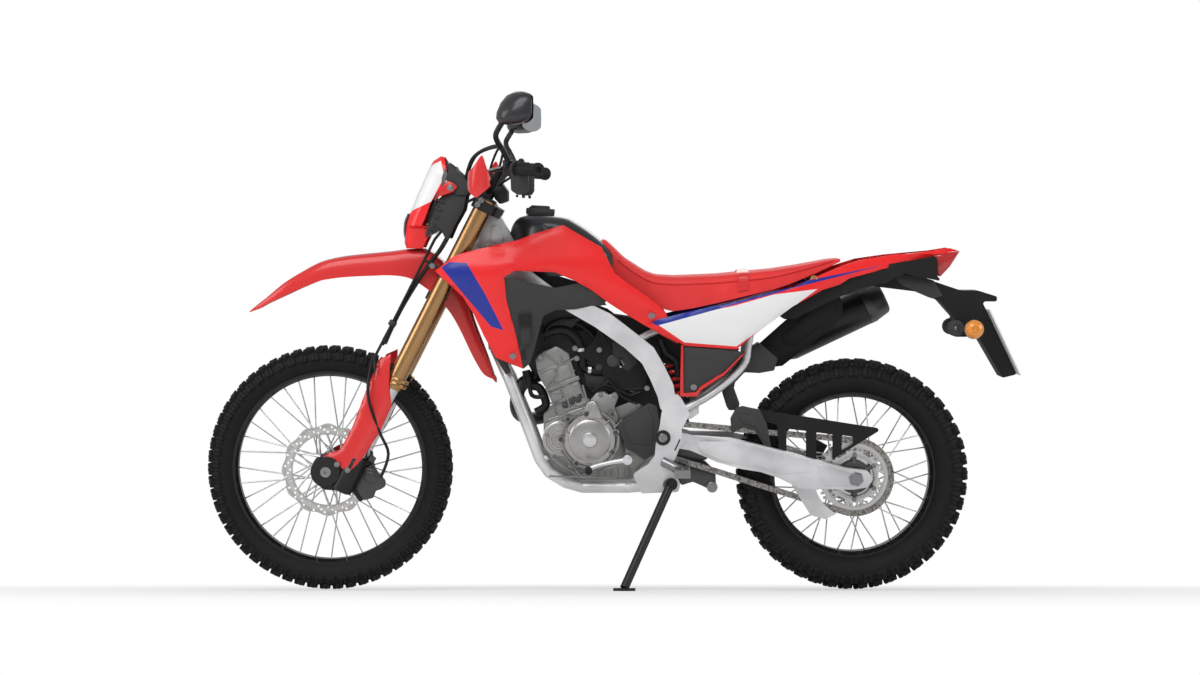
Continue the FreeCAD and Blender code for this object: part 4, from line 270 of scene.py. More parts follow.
def vinyl(name, colour):
    """Seat cover: a leather grain of small cells, paler on the worn crown."""
    finish = Finish(name)
    grain = finish.cells(420)
    crown = finish.noise(5, 3).step(0.4, 0.7)
    return finish.give({
        "Base Color": finish.tinted(crown, colour, 0.92, 1.05),
        "Roughness": grain * 0.18 + crown * -0.06 + 0.5,
    }, grain + finish.noise(180, 3) * 0.7, 0.00022)


def lens(name, colour, ribs=0.004, clear=0.0):
    """Moulded lamp lens, with upright ribs inside."""
    finish = Finish(name)
    rib = finish.y.waves(ribs)
    return finish.give({
        "Base Color": finish.tinted(rib, colour, 0.75, 1.1), "Roughness": rib * 0.08 + 0.1,
        "Coat Weight": 1.0, "Coat Roughness": 0.03, "Transmission Weight": clear,
    }, rib, 0.0004)


def mirror_glass(name):
    """Silvered glass with a faint haze."""
    finish = Finish(name)
    haze = finish.noise(30, 4)
    return finish.give({
        "Base Color": finish.mix(haze, (0.62, 0.66, 0.7), (0.7, 0.74, 0.77)),
        "Roughness": haze * 0.05 + 0.03, "Metallic": 1.0,
    })


def chain_steel(name):
    """Steel links with oil and dust between them."""
    finish = Finish(name)
    oil = finish.noise(160, 5).step(0.4, 0.7)
    return finish.give({
        "Base Color": finish.mix(oil, (0.34, 0.33, 0.31), (0.1, 0.09, 0.08)),
        "Roughness": oil * 0.2 + 0.28, "Metallic": 0.9,
    }, oil, 0.0001)


def brushed_disc(name, axle):
    """Ground brake disc or sprocket, with rings of fine lines round its axle."""
    finish = Finish(name)
    radius = finish.from_axle(axle)
    rings = radius.waves(0.0011)
    return finish.give({
        "Base Color": finish.mix(radius.waves(0.021), (0.5, 0.5, 0.5), (0.66, 0.65, 0.63)),
        "Roughness": rings * 0.1 + finish.noise(40, 4) * 0.1 + 0.2, "Metallic": 1.0,
    }, rings, 0.00005)


RED = (0.90, 0.018, 0.019)
WHITE = (0.86, 0.86, 0.86)
BLUE = (0.010, 0.026, 0.30)
BLACK = (0.0085, 0.0085, 0.009)
METAL_BLACK = (0.011, 0.011, 0.0115)
SILVER = (0.76, 0.765, 0.78)
DRAWN = (1, 1, 0.05)


def shroud_paint(name):
    """Red plastic with a blue flash on its front wing."""
    finish = painted(name, RED)
    flash = finish.inside([(-406, 905), (-385, 920), (-337, 918), (-289, 838), (-237, 734), (-271, 744)])
    return finish.give({"Base Color": finish.mix(flash, finish.base(), BLUE)})


def side_paint(name):
    """Red side cover with its white field and the blue stripe that runs out to the tail."""
    finish = painted(name, RED)
    for colour, first, second in (
        (WHITE, [(184, 748), (275, 775), (399, 801), (399, 688), (256, 699)],
         [(398, 801), (500, 830), (621, 845), (500, 757), (398, 688)]),
        (BLUE, [(160, 757), (180, 768), (547, 859), (547, 845), (180, 745)],
         [(546, 859), (810, 911), (546, 846)]),
    ):
        field = finish.inside(first).maths("MAXIMUM", finish.inside(second))
        finish.give({"Base Color": finish.mix(field, finish.base(), colour)})
    return finish


def mask_paint(name):
    """Red headlight mask with its blank white number board."""
    finish = painted(name, RED)
    side = finish.inside([(-498, 1056), (-445, 1180), (-411, 1196), (-401, 1152), (-437, 1084)])
    front = ((-finish.x - 0.44).step(0.0, 0.004) * finish.z.step(1.054, 1.056)
             * (abs(finish.y) - 0.062).step(0.002, 0.0))
    board = side.maths("MAXIMUM", front)
    return finish.give({"Base Color": finish.mix(board, finish.base(), WHITE)})


FINISHES = {
    "red_plastic": (painted, RED),
    "black_plastic": (textured, BLACK),
    "gloss_black": (painted, (0.006, 0.006, 0.0065), 0.2, 0.6),
    "grey_plastic": (painted, (0.03, 0.031, 0.034), 0.38, 0.3),
    "tank_paint": (painted, (0.018, 0.019, 0.022), 0.3, 0.5),
    "frame_silver": (cast, SILVER, 0.38, 0.55, 0.00008),
    "arm_silver": (cast, SILVER, 0.36, 0.7, 0.00008),
    "engine_alloy": (cast, (0.31, 0.308, 0.30), 0.42, 0.85),
    "engine_cover": (cast, (0.46, 0.455, 0.445), 0.34, 0.9, 0.0001),
    "engine_black": (cast, (0.014, 0.014, 0.0145), 0.5, 0.2),
    "bright_alloy": (machined, (0.72, 0.72, 0.73), 0.26, (1, 40, 1)),
    "bolt_steel": (machined, (0.30, 0.30, 0.31), 0.3),
    "gold_tube": (machined, (0.47, 0.27, 0.12), 0.27, DRAWN),
    "slider_chrome": (machined, (0.7, 0.7, 0.72), 0.12, DRAWN),
    "black_metal": (cast, METAL_BLACK, 0.42, 0.2, 0.00008),
    "rim_black": (machined, (0.008, 0.008, 0.009), 0.18, (1, 1, 1), 0.3),
    "spoke_steel": (machined, (0.66, 0.66, 0.67), 0.22),
    "front_disc_steel": (brushed_disc, FRONT_AXLE),
    "rear_disc_steel": (brushed_disc, REAR_AXLE),
    "tyre_rubber": (tread_rubber,),
    "grip_rubber": (rubber, (0.010, 0.010, 0.0105), 0.6),
    "shroud_red": (shroud_paint,),
    "side_white": (side_paint,),
    "mask_paint": (mask_paint,),
    "seat_seam": (textured, (0.55, 0.016, 0.016), 0.7),
    "seat_vinyl": (vinyl, (0.82, 0.024, 0.024)),
    "chain_steel": (chain_steel,),
    "pipe_steel": (machined, (0.075, 0.072, 0.068), 0.36),
    "muffler_black": (cast, METAL_BLACK, 0.4, 0.2, 0.0001),
    "shield_black": (textured, (0.010, 0.010, 0.0105), 0.42, 0.00005),
    "cap_metal": (cast, (0.10, 0.10, 0.102), 0.36, 0.8, 0.0001),
    "gold_bolt": (machined, (0.62, 0.37, 0.12), 0.3),
    "hose_black": (rubber, (0.009, 0.009, 0.0095), 0.42),
    "mirror_grey": (painted, (0.022, 0.023, 0.026), 0.34, 0.4),
    "amber_lens": (lens, (0.9, 0.30, 0.02)),
    "red_lens": (lens, (0.55, 0.012, 0.014)),
    "clear_lens": (lens, (0.8, 0.82, 0.85), 0.006, 0.3),
    "mirror_glass": (mirror_glass,),
    "plate_white": (painted, (0.8, 0.8, 0.8), 0.4, 0.2),
}

# The CAD nodes that take each finish; a replaced node keeps one too.
FINISH_NODES = {
    "frame_silver": "main_frame seat_subframe chain_guide",
    "arm_silver": "swingarm",
    "engine_alloy": "crankcase cylinder_head",
    "engine_cover": "engine_covers",
    "black_plastic": "sprocket_cover intake_box radiator_covers fuel_cap tail_fender plate_carrier "
                     "chain_guard instrument_panel hand_controls",
    "red_plastic": "tank_shrouds side_covers fork_guards front_fender headlight_mask hand_guards",
    "gloss_black": "headlamp",
    "black_metal": "radiator rear_shock rear_caliper foot_controls stand_bracket side_stand triple_clamps "
                   "front_caliper handlebar",
    "bolt_steel": "drive_sprocket rear_axle footpegs front_axle",
    "pipe_steel": "exhaust_pipe",
    "muffler_black": "muffler",
    "shield_black": "muffler_shield",
    "tank_paint": "fuel_tank",
    "seat_vinyl": "seat",
    "amber_lens": "rear_lamps",
    "plate_white": "number_plate",
    "chain_steel": "chain",
    "hose_black": "brake_hose",
    "gold_tube": "fork_tubes",
    "slider_chrome": "fork_sliders",
    "grip_rubber": "grips",
    "grey_plastic": "mirrors",
    "tyre_rubber": "front_tyre rear_tyre",
    "rim_black": "front_rim rear_rim",
    "spoke_steel": "front_hub rear_hub",
    "front_disc_steel": "front_disc",
    "rear_disc_steel": "rear_disc rear_sprocket",
}


class MOTORCYCLE_OT_finishes(bpy.types.Operator):
    """Make every finish and give each solid of the frame its own"""

    bl_idname = "motorcycle.finishes"
    bl_label = "Finishes"

    def execute(self, context):
        for name, (maker, *values) in FINISHES.items():
            material = maker(name, *values).material
            for solid in FINISH_NODES.get(name, "").split():
                slots = frame["nodes"][solid].data.materials
                slots.clear()
                slots.append(material)
        return {"FINISHED"}


class StageSettings(bpy.types.PropertyGroup):
    """The camera and the lamps."""

    focal_length: FloatProperty(
        name="Focal length", description="Lens of the side camera, in millimetres", default=70.0, min=20.0)
    camera_height: FloatProperty(
        name="Lowest camera height", description="How near the floor the side camera may come",
        default=0.06, min=0.01, subtype="DISTANCE", unit="LENGTH")
    key_power: FloatProperty(
        name="Key power", description="Strength of the large lamp over the near side, in watts",
        default=112.0)
    fill_power: FloatProperty(
        name="Fill power", description="Strength of the lamps at both ends, in watts", default=38.0)
    world_light: FloatProperty(
        name="World light", description="Even light from all round", default=0.4, min=0.0, max=2.0)
    floor_size: FloatProperty(
        name="Floor size", description="Side of the square floor", default=60.0,
        subtype="DISTANCE", unit="LENGTH")


def aimed(name, data, place, target):
    """A camera or lamp at a place, looking at a target."""
    thing = bpy.data.objects.new(name, data)
    turn = (target - place).to_track_quat("-Z", "Y").to_matrix().to_4x4()
    thing.matrix_world = Matrix.Translation(place) @ turn
    bpy.context.scene.collection.objects.link(thing)
    return thing


def side_camera(lens_mm, low, away=6.5):
    """Camera square to the leaning motorcycle's side as far as the floor lets it be."""
    target, square = (LEANED @ Vector((0.025, y, 0.706)) for y in (0, -away))
    place = Vector((square.x, square.y, max(square.z, low)))
    data = bpy.data.cameras.new("side_camera")
    data.sensor_width = 36
    data.lens = lens_mm * (place - target).length / away
    bpy.context.scene.camera = aimed("side_camera", data, place, target)


def lit_world(light):
    """Even light from all round, behind a background that shows white."""
    world = bpy.data.worlds.new("studio")
    world.use_nodes = True
    tree = world.node_tree
    rays = node(tree, "ShaderNodeLightPath").outputs
    seen = Field(tree, rays["Is Camera Ray"]).maths("MAXIMUM", Field(tree, rays["Is Transmission Ray"]))
    strength = node(tree, "ShaderNodeMapRange", {"Value": seen, "To Min": light, "To Max": 1.0})
    background = tree.nodes["Background"].inputs
    background["Color"].default_value = (1, 1, 1, 1)
    tree.links.new(strength.outputs[0], background["Strength"])
    return world


def pale_floor(size):
    """A square floor that keeps the shadow near the motorcycle and fades to white away from it."""
    half = size / 2
    mesh = bpy.data.meshes.new("floor")
    mesh.from_pydata([(-half, -half, 0), (half, -half, 0), (half, half, 0), (-half, half, 0)], [],
                     [(0, 1, 2, 3)])
    material = bpy.data.materials.new("floor_white")
    material.use_nodes = True
    tree = material.node_tree
    shader = tree.nodes["Principled BSDF"]
    for name, value in (("Base Color", (0.86, 0.86, 0.86, 1)), ("Roughness", 0.9),
                        ("Specular IOR Level", 0.1)):
        shader.inputs[name].default_value = value
    glow = node(tree, "ShaderNodeEmission", {"Strength": 1.0})
    spot = node(tree, "ShaderNodeTexCoord").outputs["Object"]
    length = node(tree, "ShaderNodeVectorMath", (spot,), operation="LENGTH").outputs["Value"]
    seen = Field(tree, node(tree, "ShaderNodeLightPath").outputs["Is Camera Ray"])
    share = Field(tree, length).step(0.9, 3.2, 0.4, 1.0) * seen
    blend = node(tree, "ShaderNodeMixShader", (share, shader.outputs[0], glow.outputs[0]))
    tree.links.new(blend.outputs[0], tree.nodes["Material Output"].inputs["Surface"])
    mesh.materials.append(material)
    floor = bpy.data.objects.new("floor", mesh)
    bpy.context.scene.collection.objects.link(floor)
    return floor


class MOTORCYCLE_OT_stage(bpy.types.Operator):
    """Set up the pale floor, the soft lamps and the side camera"""

    bl_idname = "motorcycle.stage"
    bl_label = "Stage"

    def execute(self, context):
        settings = context.scene.motorcycle_stage
        context.scene.view_settings.view_transform = "Standard"
        side_camera(settings.focal_length, settings.camera_height)
        context.scene.world = lit_world(settings.world_light)
        floor = pale_floor(settings.floor_size)
        for name, place, size, power in (
            ("key", (-1.2, -3.6, 3.6), 3.2, settings.key_power),
            ("front_fill", (-4.2, -1.4, 1.8), 2.0, settings.fill_power),
            ("rear_fill", (4.2, -1.4, 1.8), 2.0, settings.fill_power),
            ("back_light", (0.5, 3.4, 3.2), 2.6, settings.fill_power),
        ):
            data = bpy.data.lights.new(name, "AREA")
            data.size = size
            data.energy = power
            aimed(name, data, Vector(place), Vector((0, 0, 0.6)))
        return {"FINISHED"}


# Shapes. Outlines are written in millimetres and made into metres by mm().

def new_piece(name, made, finish, body="chassis", smooth=True):
    """A piece from a mesh being built: leaned, given its finish and tied to its body."""
    bmesh.ops.recalc_face_normals(made, faces=made.faces)
    mesh = bpy.data.meshes.new(name)
    made.to_mesh(mesh)
    made.free()
    mesh.transform(LEANED)
    mesh.materials.append(bpy.data.materials[finish])
    if smooth:
        mesh.shade_smooth()
        mesh.set_sharp_from_angle(angle=math.radians(40))
    piece = bpy.data.objects.new(name, mesh)
    bpy.context.scene.collection.objects.link(piece)
    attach(piece, body)
    return piece


def mm(points):
    """Points in millimetres, made into metres."""
    return [tuple(value * MM for value in point) for point in points]


def value_at(table, x):
    """Value of a table of (x, value) rows at x, on straight lines between the rows."""
    for (x0, v0), (x1, v1) in zip(table, table[1:]):
        if x <= x1:
            return v0 + (v1 - v0) * max(0.0, min(1.0, (x - x0) / (x1 - x0)))
    return table[-1][1]


def smooth_line(points, steps=4):
    """A flowing line through the points, each a tuple of numbers."""
    last = len(points) - 1
    line = []
    for index in range(last):
        four = [points[max(0, min(last, index + k))] for k in (-1, 0, 1, 2)]
        for step in range(steps):
            t = step / steps
            line.append(tuple(
                0.5 * (2 * b + (c - a) * t + (2 * a - 5 * b + 4 * c - d) * t * t
                       + (3 * b - a - 3 * c + d) * t ** 3)
                for a, b, c, d in zip(*four)))
    return line + [tuple(points[-1])]


def merged(parts):
    """Several meshes being built, as one."""
    whole = bmesh.new()
    for part in parts:
        spare = bpy.data.meshes.new("spare")
        part.to_mesh(spare)
        part.free()
        whole.from_mesh(spare)
        bpy.data.meshes.remove(spare)
    return whole


def other_side(made):
    """The mesh and its mirror image across the middle plane."""
    twin = made.copy()
    bmesh.ops.scale(twin, vec=(1, -1, 1), verts=twin.verts)
    bmesh.ops.reverse_faces(twin, faces=twin.faces)
    return merged([made, twin])


def moved(made, matrix):
    """The mesh, turned or shifted."""
    bmesh.ops.transform(made, matrix=matrix, verts=made.verts)
    return made


def loft(rings, closed=True, caps=True):
    """A skin over rings that have as many points each."""
    made = bmesh.new()
    rows = [[made.verts.new(point) for point in ring] for ring in rings]
    for first, second in zip(rows, rows[1:]):
        count = len(first)
        for index in range(count if closed else count - 1):
            after = (index + 1) % count
            made.faces.new((first[index], first[after], second[after], second[index]))
    if closed and caps:
        made.faces.new(rows[0][::-1])
        made.faces.new(rows[-1])
    return made


def lathe(profile, centre, turns):
    """A closed turned shape about a line across the motorcycle; the profile holds (y, radius) rows."""
    rings = []
    for step in range(turns):
        angle = math.tau * step / turns
        rings.append([
            (centre[0] + radius * math.cos(angle), centre[1] + y, centre[2] + radius * math.sin(angle))
            for y, radius in profile])
    made = loft(rings + rings[:1], caps=False)
    bmesh.ops.remove_doubles(made, verts=made.verts, dist=1e-6)
    return made


def thickened(made, thickness):
    """The skin, given a wall."""
    bmesh.ops.recalc_face_normals(made, faces=made.faces)
    bmesh.ops.solidify(made, geom=made.faces[:], thickness=thickness)
    return made


def rounded(made, width):
    """The mesh with its sharp edges rounded."""
    made.normal_update()
    sharp = [edge for edge in made.edges
             if len(edge.link_faces) == 2 and edge.calc_face_angle(0) > math.radians(35)]
    bmesh.ops.bevel(made, geom=sharp, offset=width, segments=2, affect="EDGES", profile=0.5,
                    clamp_overlap=True)
    return made


def deepened(made, depth):
    """The faces, given a body by a copy of them that is moved across."""
    pushed = bmesh.ops.extrude_face_region(made, geom=made.faces[:], use_keep_orig=True)
    verts = [item for item in pushed["geom"] if isinstance(item, bmesh.types.BMVert)]
    bmesh.ops.translate(made, vec=(0, depth, 0), verts=verts)
    bmesh.ops.recalc_face_normals(made, faces=made.faces)
    return made


def plate(outline, low, high, edge=0.0):
    """A flat plate from an outline in side view, between two distances across."""
    made = bmesh.new()
    made.faces.new([made.verts.new((x, low, z)) for x, z in outline])
    deepened(made, high - low)
    return rounded(made, edge) if edge else made


def pierced(outline, holes, low, high):
    """A flat plate from an outline in side view, with holes through it."""
    made = bmesh.new()
    edges = []
    for loop in (outline, *holes):
        verts = [made.verts.new((x, low, z)) for x, z in loop]
        edges += [made.edges.new(both) for both in zip(verts, verts[1:] + verts[:1])]
    bmesh.ops.triangle_fill(made, use_beauty=True, use_dissolve=False, edges=edges)
    return deepened(made, high - low)


def around(centre, reach, angle):
    """A point in side view, at an angle and a distance from a centre."""
    return (centre[0] + reach * math.cos(angle), centre[-1] + reach * math.sin(angle))


def ring_line(centre, radius, count=48, wave=0.0, lobes=0):
    """Points round a centre in side view, with as many waves as lobes."""
    angles = [math.tau * step / count for step in range(count)]
    return [around(centre, radius + wave * math.cos(lobes * angle), angle) for angle in angles]


def panel(outline, side, thickness, roll=0.006, spacing=0.02):
    """A pair of side panels: an outline in side view, bent to side(x, z), with its edge rolled in."""
    made = bmesh.new()
    face = made.faces.new([made.verts.new((x, 0, z)) for x, z in outline])
    bmesh.ops.inset_region(made, faces=[face], thickness=roll, use_even_offset=True)
    for axis, normal in ((0, Vector((1, 0, 0))), (2, Vector((0, 0, 1)))):
        places = [vert.co[axis] for vert in made.verts]
        cut = math.floor(min(places) / spacing) * spacing + spacing
        while cut < max(places):
            everything = made.verts[:] + made.edges[:] + made.faces[:]
            bmesh.ops.bisect_plane(made, geom=everything, plane_co=normal * cut, plane_no=normal, dist=1e-6)
            cut += spacing
    for vert in made.verts:
        out = side(vert.co.x, vert.co.z)
        vert.co.y = -(out - (roll * 0.7 if vert.is_boundary else 0))
    return other_side(deepened(made, thickness))


def bar(points, radius, turns=10, steps=5):
    """A round bar or hose along a flowing line; the radius is one number or one for each point."""
    radii = radius if isinstance(radius, (list, tuple)) else [radius] * len(points)
    line = smooth_line([(*point, size) for point, size in zip(points, radii)], steps)
    rings = []
    side = None
    for index, (x, y, z, size) in enumerate(line):
        here = Vector((x, y, z))
        before = Vector(line[max(0, index - 1)][:3])
        after = Vector(line[min(len(line) - 1, index + 1)][:3])
        way = (after - before).normalized()
        side = side or way.orthogonal().normalized()
        side = (side - way * side.dot(way)).normalized()
        up = way.cross(side)
        rings.append([
            here + (side * math.cos(math.tau * k / turns) + up * math.sin(math.tau * k / turns)) * size
            for k in range(turns)])
    return loft(rings)


def turned(profile, start, way, turns=28):
    """A shape turned about a line: (distance along, radius) rows in millimetres from its start."""
    way = Vector(way).normalized()
    side = way.orthogonal().normalized()
    up = way.cross(side)
    start = Vector(start) * MM
    angles = [math.tau * step / turns for step in range(turns)]
    rings = []
    for along, radius in profile:
        middle = start + way * along * MM
        rings.append([middle + (side * math.cos(a) + up * math.sin(a)) * radius * MM for a in angles])
    return loft(rings)


def mirrored_parts(parts):
    """The meshes and their mirror images, as one."""
    return other_side(merged(parts))


def mm_place(point, y=0):
    """A side-view point as a place, at a distance across."""
    return (point[0], y, point[1])


# Repeats, made by Geometry Nodes on places that carry a direction and a size.

def repeat_tree():
    """Puts a template on every place, its Z along the place's direction, and gives it a finish."""
    if "repeat_on_places" in bpy.data.node_groups:
        return bpy.data.node_groups["repeat_on_places"]
    tree = bpy.data.node_groups.new("repeat_on_places", "GeometryNodeTree")
    tree.interface.new_socket("Geometry", in_out="OUTPUT", socket_type="NodeSocketGeometry")
    for name, kind in (("Geometry", "Geometry"), ("Template", "Object"), ("Size", "Float"),
                       ("Finish", "Material")):
        tree.interface.new_socket(name, in_out="INPUT", socket_type=f"NodeSocket{kind}")
    source = node(tree, "NodeGroupInput").outputs
    template = node(tree, "GeometryNodeObjectInfo", {"Object": source["Template"]})
    facing, along = (
        node(tree, "GeometryNodeInputNamedAttribute", {"Name": name}, data_type="FLOAT_VECTOR").outputs[0]
        for name in ("facing", "along"))
    stand = node(tree, "FunctionNodeAlignRotationToVector", {"Vector": facing}, axis="Z")
    turn = node(tree, "FunctionNodeAlignRotationToVector", {"Rotation": stand.outputs[0], "Vector": along},
                axis="X", pivot_axis="Z")
    instances = node(tree, "GeometryNodeInstanceOnPoints", {
        "Points": source["Geometry"], "Instance": template.outputs["Geometry"], "Rotation": turn.outputs[0],
        "Scale": source["Size"]})
    real = node(tree, "GeometryNodeRealizeInstances", (instances.outputs[0],))
    finish = node(tree, "GeometryNodeSetMaterial", {"Geometry": real.outputs[0],
                                                    "Material": source["Finish"]})
    node(tree, "NodeGroupOutput", (finish.outputs[0],))
    return tree


def repeated(places, template, size, finish):
    """The template on every (point, facing, along) place, as a mesh being built."""
    mesh = bpy.data.meshes.new("places")
    mesh.from_pydata([point for point, _, _ in places], [], [])
    for name, index in (("facing", 1), ("along", 2)):
        attribute = mesh.attributes.new(name, "FLOAT_VECTOR", "POINT")
        attribute.data.foreach_set("vector", [part for place in places for part in place[index]])
    holder = bpy.data.objects.new("places", mesh)
    shape = bpy.data.meshes.new("template")
    template.to_mesh(shape)
    template.free()
    pattern = bpy.data.objects.new("template", shape)
    for thing in (holder, pattern):
        bpy.context.scene.collection.objects.link(thing)
    modifier = holder.modifiers.new("repeat", "NODES")
    modifier.node_group = repeat_tree()
    sockets = {item.name: item.identifier for item in modifier.node_group.interface.items_tree
               if item.in_out == "INPUT"}
    for name, value in (("Template", pattern), ("Size", size), ("Finish", bpy.data.materials[finish])):
        modifier[sockets[name]] = value
    bpy.context.view_layer.update()
    result = bpy.data.meshes.new_from_object(holder.evaluated_get(bpy.context.evaluated_depsgraph_get()))
    holder.modifiers.remove(modifier)
    made = bmesh.new()
    made.from_mesh(result)
    for thing in (holder, pattern):
        bpy.data.objects.remove(thing)
    for unused in (mesh, shape, result):
        bpy.data.meshes.remove(unused)
    return made


SOCKET = 0.5


def bolt_head(sides=24):
    """A bolt head one unit in radius, standing on its washer, with a hex socket."""
    sixth = math.tau / 6
    rings = []
    for radius, height in ((1.25, 0), (1.25, 0.16), (1, 0.2), (1, 0.72), (0.86, 0.86), (SOCKET, 0.86),
                           (SOCKET, 0.45)):
        ring = []
        for step in range(sides):
            angle = math.tau * step / sides
            flat = math.cos(sixth / 2) / math.cos(angle % sixth - sixth / 2) if radius == SOCKET else 1
            ring.append((radius * flat * math.cos(angle), radius * flat * math.sin(angle), height))
        rings.append(ring)
    made = loft(rings, caps=False)
    made.verts.ensure_lookup_table()
    made.faces.new(made.verts[-sides:])
    return made


def bolts(places, radius):
    """Bolt heads at (x, y, z) places in millimetres; they face the side that y's sign gives."""
    rows = [(Vector(place) * MM, LEFT if place[1] < 0 else (0, 1, 0), (1, 0, 0)) for place in places]
    return repeated(rows, bolt_head(), radius * MM, "bolt_steel")


# Tyres.

FRONT_CARCASS = ((-22, 267), (-30, 275), (-38, 290), (-41, 304), (-38.5, 317), (-31, 324.5), (-18, 329),
                 (0, 330.5))
REAR_CARCASS = ((-31, 229), (-44, 238), (-56, 254), (-60, 272), (-57, 289), (-46, 299.5), (-26, 306.5),
                (0, 308.5))
# Rows of blocks: distance across, base radius, tilt, length, width, height, blocks round, share of a step.
FRONT_ROWS = (
    (9.5, 330.5, 5, 26, 15, 11.5, 58, 0.0), (27, 325, 26, 25, 14, 12.5, 58, 0.24),
    (37, 312, 60, 24, 24, 8.5, 58, 0.62),
)
REAR_ROWS = (
    (12.5, 309, 4, 31, 20, 14.5, 46, 0.0), (36, 302, 22, 30, 18, 15.5, 46, 0.24),
    (53, 287, 58, 29, 30, 9.5, 46, 0.62),
)


def tread_block(length, width, height):
    """A rubber block on its foot, narrower on top, with a saw cut across it."""
    shares = ((-0.5, 0), (-0.42, 0.92), (-0.36, 1), (-0.05, 1), (-0.03, 0.72), (0.03, 0.72), (0.05, 1),
              (0.36, 1), (0.42, 0.92), (0.5, 0))
    rings = []
    for across, shrink in ((-0.5, 0.86), (-0.43, 1), (0.43, 1), (0.5, 0.86)):
        rings.append([(x * length, across * width * (1 if z < 0.5 else 0.88), (z * shrink - 0.25) * height)
                      for x, z in shares])
    return loft(rings)


def tyre(carcass, rows, axle, block_share):
    """The carcass with its rows of blocks, as a mesh being built."""
    half = smooth_line(carcass, 3)
    profile = half + [(-y, radius) for y, radius in reversed(half[:-1])]
    parts = [lathe(mm(profile), axle, 120)]
    for across, radius, tilt, length, width, height, count, phase in rows:
        lean = math.radians(tilt)
        for hand in (-1, 1):
            places = []
            for step in range(count):
                angle = math.tau * (step + phase + hand * 0.04) / count
                spoke = Vector((math.cos(angle), 0, math.sin(angle)))
                point = axle + spoke * radius * MM + Vector((0, hand * across * MM, 0))
                facing = spoke * math.cos(lean) + Vector((0, hand, 0)) * math.sin(lean)
                places.append((point, facing, (-math.sin(angle), 0, math.cos(angle))))
            block = tread_block(length * block_share, width, height * 1.25)
            parts.append(repeated(places, block, MM, "tyre_rubber"))
    return merged(parts)


class TyreSettings(bpy.types.PropertyGroup):
    """How the knobbly tyres are cut."""

    block_share: FloatProperty(
        name="Block length", description="Length of the tread blocks as a share of the usual one",
        default=1.0, min=0.5, max=1.3)


class MOTORCYCLE_OT_tyres(bpy.types.Operator):
    """Build both knobbly tyres, block by block"""

    bl_idname = "motorcycle.tyres"
    bl_label = "Tyres"

    def execute(self, context):
        share = context.scene.motorcycle_tyres.block_share
        for end, carcass, rows, axle in (
            ("front", FRONT_CARCASS, FRONT_ROWS, FRONT_AXLE), ("rear", REAR_CARCASS, REAR_ROWS, REAR_AXLE),
        ):
            piece = new_piece(f"{end}_tread", tyre(carcass, rows, axle, share), "tyre_rubber", f"{end}_wheel")
            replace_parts(piece, f"{end}_tyre")
        return {"FINISHED"}


# Bodywork.

SHROUD = mm((
    (-424, 895), (-375, 934), (-350, 944), (-250, 968), (-200, 979), (-150, 998), (-75, 1020), (-43, 1001),
    (30, 959), (48, 922), (65, 890), (100, 863), (150, 828), (189, 798), (205, 782), (240, 694), (200, 715),
    (150, 744), (100, 774), (50, 806), (0, 844), (-43, 868), (-97, 892), (-205, 896), (-235, 880),
    (-229, 815), (-210, 745), (-197, 691), (-185, 628), (-259, 659), (-291, 718), (-318, 777), (-348, 825)))
SHROUD_PLAN = mm(((-440, 142), (-340, 160), (-220, 163), (-100, 148), (40, 131), (160, 124), (260, 122)))


def shroud_side(x, z):
    """How far out the tank shroud stands: it leans in over the tank and pinches along its crease."""
    out = value_at(SHROUD_PLAN, x)
    above = z - (0.925 + 0.08 * max(-0.3, min(0.0, x)))
    out -= max(0.0, above) * 0.34
    crease = 0.845 - 0.42 * (x + 0.05)
    if x > -0.12:
        out -= 0.006 * math.exp(-((z - crease) / 0.02) ** 2)
    if z < 0.86:
        out -= (0.86 - z) * 0.10
    return out


RADIATOR_COVER = mm((
    (-299, 893), (-97, 849), (-27, 863), (20, 842), (43, 801), (0, 798), (-43, 790), (-97, 788), (-129, 771),
    (-134, 755), (-143, 723), (-156, 675), (-167, 642), (-183, 628), (-262, 655), (-262, 700), (-290, 800)))


def cover_side(x, z):
    """How far out the radiator cover stands: always inside the shroud."""
    return min(shroud_side(x, z) - 0.007, value_at(mm(((-300, 152), (-200, 154), (-100, 140), (50, 124))), x))


SIDE_COVER = mm((
    (150, 745), (184, 762), (275, 785), (399, 811), (500, 838), (554, 850), (621, 880), (681, 905),
    (740, 924), (820, 936), (944, 948), (990, 956), (1018, 948), (998, 946), (958, 936), (897, 923),
    (709, 873), (682, 856), (635, 842), (554, 798), (453, 724), (399, 680), (258, 690), (251, 694)))
SIDE_PLAN = mm(((130, 117), (240, 121), (400, 121), (560, 111), (690, 93), (840, 73), (1010, 41)))


def side_side(x, z):
    """How far out the side cover stands: highest along its crown."""
    out = value_at(SIDE_PLAN, x)
    middle = value_at(mm(((150, 750), (400, 745), (620, 860), (1000, 950))), x)
    return out - 0.006 * min(1.0, abs(z - middle) / 0.08)


LOWER_COVER = mm((
    (251, 690), (399, 678), (420, 668), (365, 614), (346, 602), (300, 572), (290, 556), (247, 554)))
LOWER_TRIM = mm(((247, 692), (253, 692), (254, 560), (288, 562), (299, 577), (347, 607), (366, 618),
                 (412, 664), (423, 670), (366, 610), (348, 598), (302, 568), (292, 551), (244, 550)))


